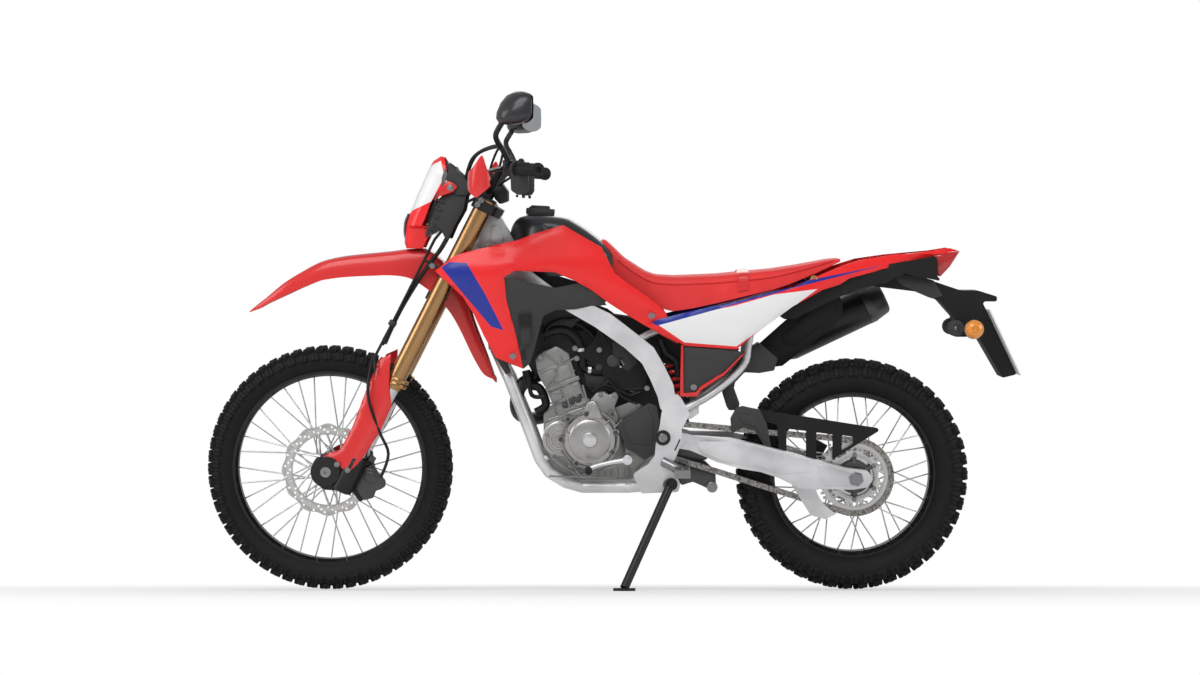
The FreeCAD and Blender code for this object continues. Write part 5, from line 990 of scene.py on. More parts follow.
class MOTORCYCLE_OT_side_panels(bpy.types.Operator):
    """Build the tank shrouds, radiator covers and side covers"""

    bl_idname = "motorcycle.side_panels"
    bl_label = "Side panels"

    def execute(self, context):
        shroud = new_piece("tank_shroud_panels", panel(SHROUD, shroud_side, 0.0035), "shroud_red")
        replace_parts(shroud, "tank_shrouds")
        cover = new_piece(
            "radiator_cover_panels", panel(RADIATOR_COVER, cover_side, 0.004), "black_plastic")
        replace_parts(cover, "radiator_covers")
        # Painted shade: a dark plate on each radiator cover stands in for the shadowed opening of its slot
        # window.
        slot = plate(mm(((-196, 782), (-163, 782), (-163, 700), (-180, 690), (-190, 700))), -0.149, -0.1465,
                     0.001)
        new_piece("radiator_cover_slots", other_side(slot), "gloss_black")
        covers = new_piece("side_cover_panels", panel(SIDE_COVER, side_side, 0.004), "side_white")
        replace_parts(covers, "side_covers")
        lower = panel(LOWER_COVER, lambda x, z: 0.110, 0.004)
        new_piece("lower_cover_panels", lower, "black_plastic")
        new_piece("lower_cover_trim", other_side(plate(LOWER_TRIM, -0.113, -0.108, 0.0008)), "red_plastic")
        places = ((-212, 152, 664), (166, 122, 773), (282, 111, 576))
        heads = bolts([(x, hand * y, z) for hand in (-1, 1) for x, y, z in places], 7)
        new_piece("panel_bolts", heads, "bolt_steel")
        return {"FINISHED"}


SEAT_TOP = mm(((30, 981), (38, 981), (50, 971), (92, 930), (150, 893), (178, 883), (226, 880), (307, 883),
               (350, 885), (400, 890), (500, 899), (567, 909), (661, 926), (686, 927)))
SEAT_LOW = mm(((30, 962), (50, 920), (65, 890), (100, 863), (150, 828), (200, 789), (224, 783), (285, 793),
               (352, 808), (450, 832), (500, 843), (547, 859), (621, 889), (686, 919)))
SEAT_HALF = mm(((30, 46), (90, 60), (180, 86), (280, 103), (440, 103), (560, 93), (690, 70)))


def seat_ring(x):
    """One cross-section of the seat: a crowned top, a seam on its shoulder and sides that pull in."""
    top, low, half = value_at(SEAT_TOP, x), value_at(SEAT_LOW, x), value_at(SEAT_HALF, x)
    tall = top - low
    soft = min(0.024, tall * 0.4)
    side = [(half, 0), (half * 0.985, tall * 0.25), (half * 0.965, tall * 0.5),
            (half * 0.955, tall - soft * 1.5), (half * 0.945, tall - soft * 1.12),
            (half * 0.938, tall - soft), (half * 0.925, tall - soft * 0.72),
            (half * 0.86, tall - soft * 0.36), (half * 0.72, tall - soft * 0.16),
            (half * 0.48, tall - soft * 0.05), (half * 0.22, tall - 0.0004), (0, tall)]
    points = [(x, -y, low + z) for y, z in side]
    return points + [(x, y, low + z) for y, z in reversed(side[:-1])]


class MOTORCYCLE_OT_seat(bpy.types.Operator):
    """Build the padded seat with its seam and strap"""

    bl_idname = "motorcycle.seat"
    bl_label = "Seat"

    def execute(self, context):
        stations = [0.031 + (0.686 - 0.031) * step / 60 for step in range(61)]
        seat = new_piece("seat_cushion", loft([seat_ring(x) for x in stations]), "seat_vinyl")
        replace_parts(seat, "seat")
        welt = []
        for hand in (-1, 1):
            line = []
            for x in stations[4:-1:3]:
                ring = seat_ring(x)
                point = Vector(ring[5])
                line.append((point.x, hand * (abs(point.y) + 0.0005), point.z))
            welt.append(bar(line, 0.0016, 6, 2))
        piping = new_piece("seat_piping", merged(welt), "seat_seam")
        strap_rings = []
        for x in (0.402, 0.405, 0.431, 0.434):
            lift = 0.0045 if 0.403 < x < 0.433 else 0.001
            ring = seat_ring(x)[1:-1]
            middle = Vector((x, 0, value_at(SEAT_LOW, x) + 0.02))
            strap_rings.append([tuple(Vector(p) + (Vector(p) - middle).normalized() * lift) for p in ring])
        new_piece("seat_strap", thickened(loft(strap_rings, False), 0.0025), "red_plastic")
        return {"FINISHED"}


FENDER = (
    ((-950, 779), (-948, 777), 9), ((-926, 799), (-922, 787), 26), ((-900, 819), (-897, 801), 36),
    ((-850, 860), (-850, 823), 50), ((-800, 891), (-800, 846), 58), ((-750, 917), (-751, 865), 63),
    ((-700, 930), (-700, 874), 66), ((-650, 937), (-650, 878), 66), ((-600, 942), (-600, 880), 66),
    ((-550, 947), (-550, 881), 65), ((-500, 953), (-500, 873), 60), ((-446, 950), (-457, 847), 57),
    ((-395, 905), (-425, 820), 54), ((-350, 844), (-400, 792), 50), ((-334, 790), (-381, 765), 47),
    ((-318, 739), (-361, 728), 44), ((-299, 690), (-335, 672), 40), ((-285, 653), (-318, 638), 35),
    ((-272, 615), (-296, 604), 28), ((-262, 582), (-264, 588), 18),
)


def fender_ring(outer, inner, half):
    """One cross-section of the fender: a flat crown, a ridge at each shoulder and hanging sides."""
    outer, inner = Vector((outer[0], 0, outer[1])), Vector((inner[0], 0, inner[1]))
    drop = inner - outer
    side = ((1.0, 1.0), (0.985, 0.7), (0.95, 0.42), (0.90, 0.24), (0.84, 0.12), (0.70, 0.055), (0.45, 0.02),
            (0.2, 0.004), (0, 0))
    points = [outer + drop * down + Vector((0, -half * across, 0)) for across, down in side]
    return points + [Vector((p.x, -p.y, p.z)) for p in reversed(points[:-1])]


class MOTORCYCLE_OT_front_fender(bpy.types.Operator):
    """Build the high front fender"""

    bl_idname = "motorcycle.front_fender"
    bl_label = "Front fender"

    def execute(self, context):
        rows = smooth_line([(*outer, *inner, half) for outer, inner, half in mm_rows(FENDER)], 4)
        rings = [fender_ring(row[0:2], row[2:4], row[4]) for row in rows]
        fender = new_piece("front_fender_shell", thickened(loft(rings, False), 0.003), "red_plastic",
                           "steering")
        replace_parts(fender, "front_fender")
        return {"FINISHED"}


def mm_rows(rows):
    """Rows of numbers or points in millimetres, made into metres."""
    return [tuple(mm([part])[0] if isinstance(part, tuple) else part * MM for part in row) for row in rows]


MASK_ROWS = (
    # height, front, rear, half width in front, half width behind
    (955, 512, 462, 56, 62), (970, 517, 456, 60, 66), (990, 515, 446, 63, 71), (1010, 514, 434, 66, 78),
    (1018, 513, 464, 69, 90), (1030, 511, 458, 69, 91), (1052, 501, 449, 70, 92), (1082, 488, 438, 71, 93),
    (1108, 478, 421, 72, 92), (1118, 473, 410, 72, 92), (1150, 459, 408, 70, 90), (1178, 446, 398, 64, 86),
    (1196, 436, 400, 54, 74), (1208, 418, 406, 40, 52),
)


def mask_ring(height, front, rear, front_half, rear_half):
    """One level section of the mask, round its nose."""
    points = [(-rear, -rear_half), (-rear * 0.6 - front * 0.4, -rear_half * 0.9 - front_half * 0.1),
              (-rear * 0.25 - front * 0.75, -front_half * 1.06), (-front + 6, -front_half * 0.86),
              (-front + 1.5, -front_half * 0.55), (-front, -front_half * 0.2)]
    line = smooth_line(points, 3)
    line = line + [(x, -y) for x, y in reversed(line)]
    return [(x * MM, y * MM, height * MM) for x, y in line]


class MOTORCYCLE_OT_headlight(bpy.types.Operator):
    """Build the headlight mask with its blank number board"""

    bl_idname = "motorcycle.headlight"
    bl_label = "Headlight"

    def execute(self, context):
        mask = loft([mask_ring(*row) for row in MASK_ROWS], False)
        mask = new_piece("headlight_mask_shell", thickened(mask, 0.003), "mask_paint", "steering")
        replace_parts(mask, "headlight_mask")
        return {"FINISHED"}


class MOTORCYCLE_OT_engine(bpy.types.Operator):
    """Build the cylinder, the cases and their round covers"""

    bl_idname = "motorcycle.engine"
    bl_label = "Engine"

    def execute(self, context):
        layers = (
            (((-154, 648), (-143, 664), (-96, 687), (-83, 679), (-60, 665), (-56, 645), (-102, 626),
              (-149, 615)), 58, 0.004),
            (((-150, 617), (-56, 646), (-40, 597), (-118, 560), (-127, 572), (-142, 599)), 60, 0.003),
            (((-122, 561), (-38, 598), (-7, 531), (-16, 524), (-60, 506), (-90, 487)), 56, 0.003),
            (((-139, 610), (-102, 624), (-96, 606), (-112, 584), (-127, 581)), 64, 0.002),
            (((-93, 626), (-63, 637), (-51, 603), (-85, 588), (-102, 587), (-90, 604)), 64, 0.002),
            (((-115, 555), (-85, 567), (-77, 541), (-105, 529)), 62, 0.002),
            (((-81, 569), (-37, 588), (-23, 555), (-68, 537)), 62, 0.003),
            (((-127, 567), (-35, 604), (-30, 594), (-122, 557)), 62, 0.002),
            (((-94, 500), (-8, 538), (-3, 527), (-85, 487)), 62, 0.002),
        )
        parts = [plate(mm(line), -half * MM, half * MM, edge) for line, half, edge in layers]
        for line in (
            ((-130, 615), (-116, 572)),
            ((-115, 620), (-102, 576)),
            ((-79, 634), (-98, 579)),
            ((-63, 637), (-54, 598)),
            ((-106, 534), (-96, 495)),
            ((-23, 578), (-10, 534)),
        ):
            (x0, z0), (x1, z1) = line
            parts.append(bar(mm([(x0, -61, z0), (x1, -61, z1)]), 0.0028, 8, 1))
        head = new_piece("cylinder_block", merged(parts), "engine_alloy")
        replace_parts(head, "cylinder_head")
        plugs = [turned([(0, 10), (4, 10), (5, 8), (5, 4)], (x, -58, z), LEFT) for x, z in
                 ((-71, 524), (-54, 532), (-36, 539))]
        plugs.append(plate(mm(((-83, 529), (-27, 553), (-20, 537), (-76, 511))), -0.0595, -0.055, 0.001))
        new_piece("cylinder_plugs", merged(plugs), "engine_black")

        case = [
            plate(mm(((-132, 430), (-126, 474), (-85, 493), (-60, 508), (-8, 523), (0, 541), (15, 558),
                      (37, 562), (50, 552), (66, 560), (77, 549), (71, 533), (65, 518), (76, 494), (79, 457),
                      (76, 410), (36, 372), (-8, 357), (-52, 338), (-60, 340), (-85, 351), (-112, 375),
                      (-125, 413))), -0.084, -0.058, 0.004),
            plate(mm(((-121, 484), (-8, 523), (80, 478), (97, 390), (108, 346), (108, 317), (-3, 317),
                      (-52, 329), (-102, 368), (-124, 423))), -0.062, 0.060, 0.004),
        ]
        for x in range(20, 111, 18):
            case.append(bar(mm(((x, -62, 347), (x, -62, 318))), 0.002, 6, 1))
        new_piece("case_shell", merged(case), "engine_alloy")

        generator = (-3, 0, 431)
        rows = ((70, 84), (88, 84), (91, 82), (92, 74), (106, 73), (113, 69), (115, 62), (114, 58), (116, 56),
                (119, 50), (120, 24), (120, 22), (125, 21), (126.5, 19), (126.5, 5), (123, 4.5), (123, 1))
        covers = [turned(rows, generator, LEFT, 64)]
        covers.append(plate(mm(((-30, 488), (-8, 535), (8, 539), (15, 535), (37, 485), (20, 480), (-8, 485))),
                            -0.112, -0.084, 0.003))
        covers.append(plate(mm(((-12, 491), (8, 535), (15, 535), (33, 490))), -0.121, -0.100, 0.004))
        covers.append(turned(((58, 50), (86, 50), (89, 46), (89, 40), (87, 38), (87, 33), (91, 31), (91, 25),
                              (89, 23), (89, 17), (93, 15), (93, 1)), (-84, 0, 431), LEFT, 40))
        covers.append(turned(((60, 92), (100, 92), (106, 88), (112, 84), (118, 80), (122, 70), (125, 40),
                              (127, 36), (131, 30), (131, 1)), (15, 0, 425), (0, 1, 0), 64))
        piece = new_piece("engine_cover_shells", merged(covers), "engine_cover")
        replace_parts(piece, "engine_covers")
        caps = [
            turned(((118, 18), (127.5, 18), (128, 16), (128, 1)), generator, LEFT),
            turned(((84, 20), (96, 20), (98, 18), (98, 6), (96, 5), (96, 1)), mm_place((53, 433)), LEFT),
        ]
        new_piece("engine_caps", merged(caps), "bright_alloy")
        ribs = []
        for y, points in (
            (-60.5, ((-131, 670), (-94, 635), (-45, 617))), (-60.5, ((-36, 658), (-82, 633), (-127, 589))),
            (-60.5, ((-127, 584), (-36, 575))), (-60.5, ((-120, 556), (-34, 547))),
            (-60.5, ((-113, 528), (-29, 519))), (-60.5, ((-82, 658), (-71, 565), (-57, 512))),
            (-97, ((-105, 381), (-36, 329))), (-97, ((-82, 399), (-24, 324))), (-97, ((22, 341), (68, 358))),
            (-97, ((-116, 329), (68, 324))), (-97, ((64, 462), (86, 485))),
            (-97, ((-93, 485), (-70, 503), (-36, 497))), (-113, ((-35, 495), (-24, 472))),
            (-113, ((51, 486), (34, 465))), (-113, ((-75, 463), (-56, 447))), (-113, ((64, 388), (45, 401))),
            (-113, ((-1, 350), (-2, 371))),
        ):
            ribs.append(bar(mm([(x, y, z) for x, z in points]), 0.0028, 6, 1))
        rim = ((-82, 433), (-63, 488), (68, 451), (59, 502), (22, 361), (-40, 366), (59, 398), (-12, 502))
        bosses = [turned(((70, 10), (112, 10), (114, 8), (114, 1)), mm_place(place), LEFT,
                         16) for place in rim]
        new_piece("engine_ribs", merged(ribs + bosses), "engine_alloy")
        rim_bolts = bolts([mm_place(place, -114.5) for place in rim], 5)
        new_piece("cover_rim_bolts", rim_bolts, "cap_metal")
        sockets = [(x, -84, z) for x, z in ((27, 554), (65, 553), (-20, 510), (-77, 475), (-122, 442),
                                            (-104, 382), (-59, 354), (-79, 404), (73, 412), (101, 396),
                                            (58, 479), (-52, 449))]
        sockets += [(x, -64, z) for x, z in ((-44, 680), (-39, 652), (-140, 655))]
        heads = merged([bolts(sockets, 6), bolts([(-19, -62, 327)], 10)])
        new_piece("engine_bolts", heads, "bolt_steel")
        return {"FINISHED"}


class MOTORCYCLE_OT_intake(bpy.types.Operator):
    """Build the throttle body, coolant hoses and wiring behind the cylinder"""

    bl_idname = "motorcycle.intake"
    bl_label = "Intake and hoses"

    def execute(self, context):
        def line(points, y):
            return mm([(x, y, z) for x, z in points])

        hoses = [
            bar(line(((-133, 716), (-102, 727), (-69, 727), (-39, 705), (-27, 671), (-24, 627)), -40), 0.0125,
                14),
            bar(line(((-24, 627), (3, 615), (36, 616), (58, 644)), -30), 0.013, 14),
            bar(line(((-130, 749), (-97, 760), (-52, 754), (-8, 727), (25, 683), (20, 644)), -34), 0.006, 8),
            bar(line(((-8, 776), (-52, 760), (-85, 757), (-119, 738), (-127, 699)), -48), 0.0045, 8),
            bar(line(((-3, 754), (25, 727), (47, 691), (58, 671)), -48), 0.005, 8),
            bar(line(((-8, 577), (25, 572), (58, 589), (97, 566), (155, 569)), -50), 0.0042, 8),
            bar(line(((3, 558), (36, 577), (75, 564), (108, 550), (136, 558)), -55), 0.0035, 8),
            bar(line(((-52, 738), (-30, 727), (3, 732), (36, 743)), -20), 0.0035, 6),
            bar(line(((50, 594), (80, 550), (108, 533), (136, 522)), -56), 0.005, 8),
            bar(line(((-180, 616), (-169, 577), (-142, 566), (-125, 521), (-153, 499)), -30), 0.012, 12),
            bar(line(((-172, 599), (-164, 549), (-130, 544)), -45), 0.006, 8),
            bar(line(((191, 705), (207, 666), (235, 644), (241, 600)), -70), 0.009, 10),
            bar(line(((185, 683), (196, 627), (219, 600)), -60), 0.007, 10),
        ]
        # Painted shade: dark plates behind and round the cylinder stand in for the shadowed inside of the
        # motorcycle seen through its gaps.
        shade_plates = [
            plate(mm(((-205, 728), (-165, 775), (-95, 787), (-36, 808), (46, 787), (116, 717), (180, 635),
                      (221, 541), (209, 447), (163, 471), (69, 483), (-25, 483), (-118, 564), (-163, 609),
                      (-189, 658))), -0.012, 0.004, 0.003),
            plate(mm(((-243, 891), (-187, 893), (-117, 888), (-36, 863), (-71, 849), (-143, 835),
                      (-199, 849))), -0.064, -0.050, 0.003),
            plate(mm(((-276, 742), (-260, 728), (-241, 670), (-220, 615), (-234, 610), (-264, 659),
                      (-281, 705))), -0.100, -0.070, 0.003),
            plate(mm(((-130, 822), (-36, 804), (-25, 763), (-57, 728), (-118, 728), (-151, 761))), -0.040,
                  0.040, 0.006),
            plate(mm(((69, 717), (123, 691), (130, 635), (104, 611), (60, 635), (55, 691))), -0.052, 0.010,
                  0.006),
            plate(mm(((-1, 670), (69, 588), (64, 541), (22, 534), (-15, 574), (-25, 635))), -0.034, 0.010,
                  0.006),
            turned(((20, 16), (34, 16), (37, 13), (37, 1)), mm_place((51, 728), 0), LEFT),
            turned(((20, 11), (50, 11), (53, 8), (53, 1)), mm_place((22, 626), 0), LEFT),
        ]
        new_piece("heat_curtain", merged(shade_plates), "black_plastic")
        new_piece("intake_hoses", merged(hoses), "hose_black")
        start, end = ((20, 619), (108, 644))
        way = Vector((end[0] - start[0], 0, end[1] - start[1]))
        body = [
            turned(((0, 26), (12, 26), (14, 30), (22, 30), (24, 25), (52, 25), (54, 31), (64, 31), (66, 27),
                    (88, 27)),
                   (start[0], -6, start[1]), way),
            turned(((0, 15), (6, 17), (26, 17), (28, 12), (34, 12), (34, 1)), mm_place((61, 644), -26), LEFT),
            plate(mm(((50, 674), (80, 680), (89, 649), (80, 627), (53, 627))), -0.046, -0.010, 0.004),
            plate(mm(((20, 727), (44, 738), (69, 694), (44, 677))), -0.040, 0.02, 0.003),
        ]
        new_piece("throttle_body", merged(body), "engine_black")
        bright = [
            turned(((0, 14.5), (9, 14.5)), mm_place((-28, 679), -40), (0.15, 0, -1)),
            turned(((0, 15), (9, 15)), mm_place((-8, 618), -30), (1, 0, -0.1)),
            plate(mm(((78, 652), (89, 658), (94, 633), (80, 624))), -0.052, -0.046, 0.001),
            plate(mm(((80, 566), (97, 589), (138, 591), (144, 566), (119, 554))), -0.044, -0.038, 0.002),
        ]
        new_piece("hose_clamps", merged(bright), "bright_alloy")
        new_piece("bay_bolts", bolts([(x, -58, z) for x, z in ((155, 569), (132, 520), (23, 675))], 6),
                  "bolt_steel")
        cover = [
            plate(mm(((80, 480), (159, 532), (181, 524), (190, 474), (182, 452), (178, 392), (148, 374),
                      (96, 410), (88, 430), (72, 450), (71, 469))), -0.104, -0.092, 0.004),
            plate(mm(((88, 473), (157, 518), (174, 480), (168, 414), (107, 419))), -0.107, -0.100, 0.005),
        ]
        piece = new_piece("sprocket_cover_shell", merged(cover), "black_plastic")
        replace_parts(piece, "sprocket_cover")
        return {"FINISHED"}


class MOTORCYCLE_OT_exhaust(bpy.types.Operator):
    """Build the muffler with its heat plate and end cap"""

    bl_idname = "motorcycle.exhaust"
    bl_label = "Exhaust"

    def execute(self, context):
        start = (472, 128, 645)
        way = Vector((358, 0, 170)).normalized()
        can = turned(((-6, 24), (0, 26), (30, 33), (99, 54), (335, 54), (337, 53), (338, 50)), start, way, 48)
        piece = new_piece("muffler_can", can, "muffler_black")
        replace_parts(piece, "muffler")
        cap = [
            turned(((334, 54.6), (352, 54.6), (356, 53), (390, 46), (396, 40), (397, 24), (397, 20),
                    (380, 18), (380, 1)),
                   start, way, 48),
        ]
        new_piece("muffler_end_cap", merged(cap), "cap_metal")
        shield = [
            plate(mm(((449, 667), (465, 678), (653, 845), (672, 845), (696, 824), (709, 797), (707, 761),
                      (685, 737), (539, 622), (514, 619), (488, 625), (456, 653))), 0.068, 0.073, 0.002),
            plate(mm(((535, 706), (658, 820), (679, 811), (688, 790), (683, 766), (574, 678), (547, 679))),
                  0.0655, 0.069, 0.002),
            plate(mm(((474, 675), (507, 683), (526, 657), (517, 636), (489, 637))), 0.062, 0.069, 0.0025),
        ]
        shield = new_piece("muffler_heat_plate", merged(shield), "shield_black")
        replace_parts(shield, "muffler_shield")
        bolt = turned(((0, 10), (3, 10), (4, 8), (4, 4), (2.5, 3.5), (2.5, 1)), mm_place((490, 659), 62),
                      LEFT)
        new_piece("heat_plate_bolt", bolt, "bolt_steel")
        return {"FINISHED"}


TEETH = 40


class MOTORCYCLE_OT_rear(bpy.types.Operator):
    """Build the tail lamp, turn lamps and the dressing of the chain side"""

    bl_idname = "motorcycle.rear"
    bl_label = "Rear"

    def execute(self, context):
        lamp = plate(mm(((951, 936), (1019, 949), (991, 905), (964, 876), (952, 888))), -0.050, 0.050, 0.004)
        lens = new_piece("tail_lamp_lens", lamp, "red_lens")
        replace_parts(lens, "rear_lamps")
        housing = [plate(mm(((889, 922), (936, 931), (941, 928), (944, 893), (909, 893), (893, 906))), -0.056,
                         0.056, 0.003)]
        housing += [plate(mm(((681, 861), (743, 879), (798, 882), (812, 865), (743, 837), (688, 822))),
                          -0.052, 0.052, 0.004)]
        new_piece("tail_recess", merged(housing), "black_plastic")
        side_lamp = turned(((0, 15), (4, 15), (7, 12), (8, 6), (8, 1)), mm_place((931, 913), -54), LEFT)
        new_piece("tail_reflectors", other_side(side_lamp), "red_lens")
        amber = turned(((0, 25.5), (10, 26), (17, 24), (23, 18), (27, 10), (28, 1)), (1042, -150, 737), LEFT,
                       40)
        new_piece("turn_lamp_lenses", other_side(amber), "amber_lens")
        cups = [
            turned(((-20, 8), (-16, 16), (-8, 23), (0, 27), (3, 27), (3, 25)), (1042, -150, 737), LEFT, 40),
            turned(((40, 23), (54, 23), (58, 20), (60, 12), (60, 1)), (1008, 0, 735), LEFT, 32),
            bar(mm(((1012, -40, 735), (1020, -85, 736), (1034, -120, 737), (1042, -140, 737))), 0.008, 10),
        ]
        new_piece("turn_lamp_mounts", mirrored_parts(cups), "black_plastic")
        dot = turned(((0, 5), (3, 5), (4, 3.5), (4, 1)), (1008, -59, 735), LEFT)
        new_piece("tail_bolts", other_side(dot), "bolt_steel")
        gold = bolts([(612, -92, 871)], 9)
        new_piece("side_cover_bolts", other_side(gold), "gold_bolt")
        filler = [
            plate(mm(((840, 871), (857, 884), (901, 881), (948, 866), (973, 824), (948, 815), (901, 835),
                      (860, 851))), -0.044, 0.044, 0.003),
            plate(mm(((366, 574), (391, 605), (417, 638), (430, 669), (468, 692), (517, 651), (507, 617),
                      (466, 610), (425, 612), (399, 584), (396, 569), (412, 525), (407, 507), (381, 507),
                      (368, 548))), -0.050, 0.050, 0.003),
        ]
        new_piece("mud_flap", merged(filler), "black_plastic")
        root = [
            plate(mm(((387, 446), (383, 490), (399, 519), (416, 524), (464, 513), (483, 475), (496, 408),
                      (477, 413), (452, 454), (414, 465))), -0.104, -0.098, 0.002),
            plate(mm(((404, 504), (452, 498), (469, 465), (486, 425), (479, 423), (452, 465), (414, 477))),
                  -0.107, -0.102, 0.002),
        ]
        new_piece("chain_guard_root", merged(root), "black_plastic")
        stay = [(238, -107, 505), (337, -83, 558), (419, -75, 632), (434, -66, 690), (452, -58, 790)]
        rail = [(130, -83, 705), (230, -57, 745), (520, -57, 805), (760, -46, 885)]
        rails = [bar(mm(rail), 0.0105, 14, 4), bar(mm(stay), 0.0105, 14, 4)]
        for x, z, half in ((230, 745, 57), (520, 805, 57), (760, 885, 46)):
            rails.append(bar(mm(((x, -half, z), (x, 0, z))), 0.0095, 10, 1))
        lug = plate(mm(((256, 496), (274, 486), (297, 503), (297, 529), (277, 524))), -0.092, -0.076, 0.002)
        rails.append(lug)
        piece = new_piece("seat_rails", mirrored_parts(rails), "frame_silver")
        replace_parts(piece, "seat_subframe")
        coil = []
        for step in range(0, 161):
            angle = math.tau * 6.5 * step / 160
            share = 0.30 + 0.52 * step / 160
            coil.append((0.262 - 0.052 * share + 0.033 * math.cos(angle), 0.033 * math.sin(angle),
                         0.462 + 0.253 * share + 0.007 * math.cos(angle)))
        new_piece("shock_spring", bar(coil, 0.006, 8, 1), "red_plastic")
        body = [
            turned(((0, 14), (60, 14), (62, 31), (70, 33), (72, 20), (196, 20), (198, 33), (206, 33),
                    (208, 16), (250, 16)), (262, 0, 462), (-52, 0, 253)),
            turned(((0, 20), (90, 20), (94, 17), (94, 1)), (300, 0, 560), (-52, 0, 253)),
            turned(((0, 8), (50, 8)), (286, 0, 640), (-1, 0, 0)),
        ]
        shock = new_piece("shock_body", merged(body), "black_metal")
        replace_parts(shock, "rear_shock")
        arm = [
            plate(mm(((290, 428), (386, 428), (452, 412), (536, 392), (600, 374), (612, 345), (520, 338),
                      (466, 355), (414, 363), (347, 381), (300, 400))), -0.1275, -0.1235, 0.0015),
            plate(mm(((626, 366), (700, 346), (716, 338), (716, 306), (640, 306), (626, 330))), -0.1275,
                  -0.1235, 0.0015),
        ]
        new_piece("arm_panels", mirrored_parts(arm), "arm_silver")
        link = [
            plate(mm(((301, 362), (322, 354), (345, 331), (346, 304), (330, 287), (313, 296), (282, 310),
                      (251, 300), (224, 337), (243, 362))), -0.070, -0.050, 0.004),
            plate(mm(((195, 400), (282, 410), (330, 390), (320, 371), (262, 358), (195, 362))), -0.064,
                  -0.050, 0.004),
        ]
        new_piece("shock_linkage", mirrored_parts(link), "cap_metal")
        adjuster = [
            turned(((0, 21), (5, 21), (6, 19), (6, 1)), (727, -125, 325), LEFT, 6),
            turned(((0, 13), (11, 13), (12, 11), (12, 1)), (727, -125, 325), LEFT),
            bar(mm(((745, -118, 325), (780, -118, 325))), 0.004, 8, 1),
        ]
        new_piece("axle_adjusters", mirrored_parts(adjuster), "bolt_steel")
        linkage = [
            turned(((0, 15), (6, 15), (7, 13), (7, 7), (5, 6), (5, 1)), (335, -71, 296), LEFT),
            turned(((0, 12), (7, 12), (8, 10), (8, 5), (6, 4), (6, 1)), (197.5, -121, 437.6), LEFT),
            turned(((0, 10), (4, 10), (5, 8), (5, 4), (3, 4), (3, 1)), (133, -96, 309), LEFT),
        ]
        new_piece("pivot_bolts", mirrored_parts(linkage), "bolt_steel")
        collar = turned(((0, 21), (1.5, 21), (2.5, 19), (2.5, 14)), (197.5, -120.5, 437.6), LEFT, 40)
        new_piece("pivot_collars", other_side(collar), "black_metal")
        # Painted shade: a dark sliver stands in for the shadowed opening of the slot beside the pivot.
        slot = plate(mm(((243, 435), (246, 432), (232, 402), (228, 403))), -0.1205, -0.118, 0.0005)
        new_piece("pivot_slot", slot, "gloss_black")
        return {"FINISHED"}


class MOTORCYCLE_OT_foot_controls(bpy.types.Operator):
    """Build the gear lever and brake pedal"""

    bl_idname = "motorcycle.foot_controls"
    bl_label = "Foot controls"

    def execute(self, context):
        lever = [
            bar(mm(((100, -148, 380), (60, -150, 374), (20, -152, 365), (-6, -152, 355))),
                [0.008, 0.006, 0.0055, 0.007], 10),
            turned(((70, 9), (140, 9), (141, 13), (158, 13), (159, 11), (159, 1)), (100, 0, 380), LEFT),
            bar(mm(((205, 125, 342), (150, 150, 335), (80, 162, 338), (25, 166, 345))), 0.007, 10),
            plate(mm(((0, 352), (34, 352), (34, 342), (0, 342))), 0.158, 0.205, 0.002),
            turned(((105, 12), (135, 12), (136, 10), (136, 1)), (205, 0, 342), (0, 1, 0)),
        ]
        piece = new_piece("foot_levers", merged(lever), "arm_silver")
        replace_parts(piece, "foot_controls")
        toe = turned(((146, 8), (147, 10), (160, 10), (162, 9), (164, 10), (178, 10), (180, 9), (182, 10),
                      (189, 10), (190, 8), (190, 1)), (-6, 0, 353), LEFT)
        new_piece("toe_rubber", toe, "grip_rubber")
        teeth = []
        for hand in (-1, 1):
            for step in range(7):
                y = hand * (136 + step * 15)
                teeth.append(plate(mm(((230, 360), (266, 360), (268, 369), (262, 362), (250, 362), (248, 369),
                                       (244, 362), (232, 362), (228, 369))), (y - 2) * MM, (y + 2) * MM))
        new_piece("peg_teeth", merged(teeth), "bolt_steel")
        return {"FINISHED"}


GRIP_WAY = Vector((0.4075, -0.9129, -0.0225))


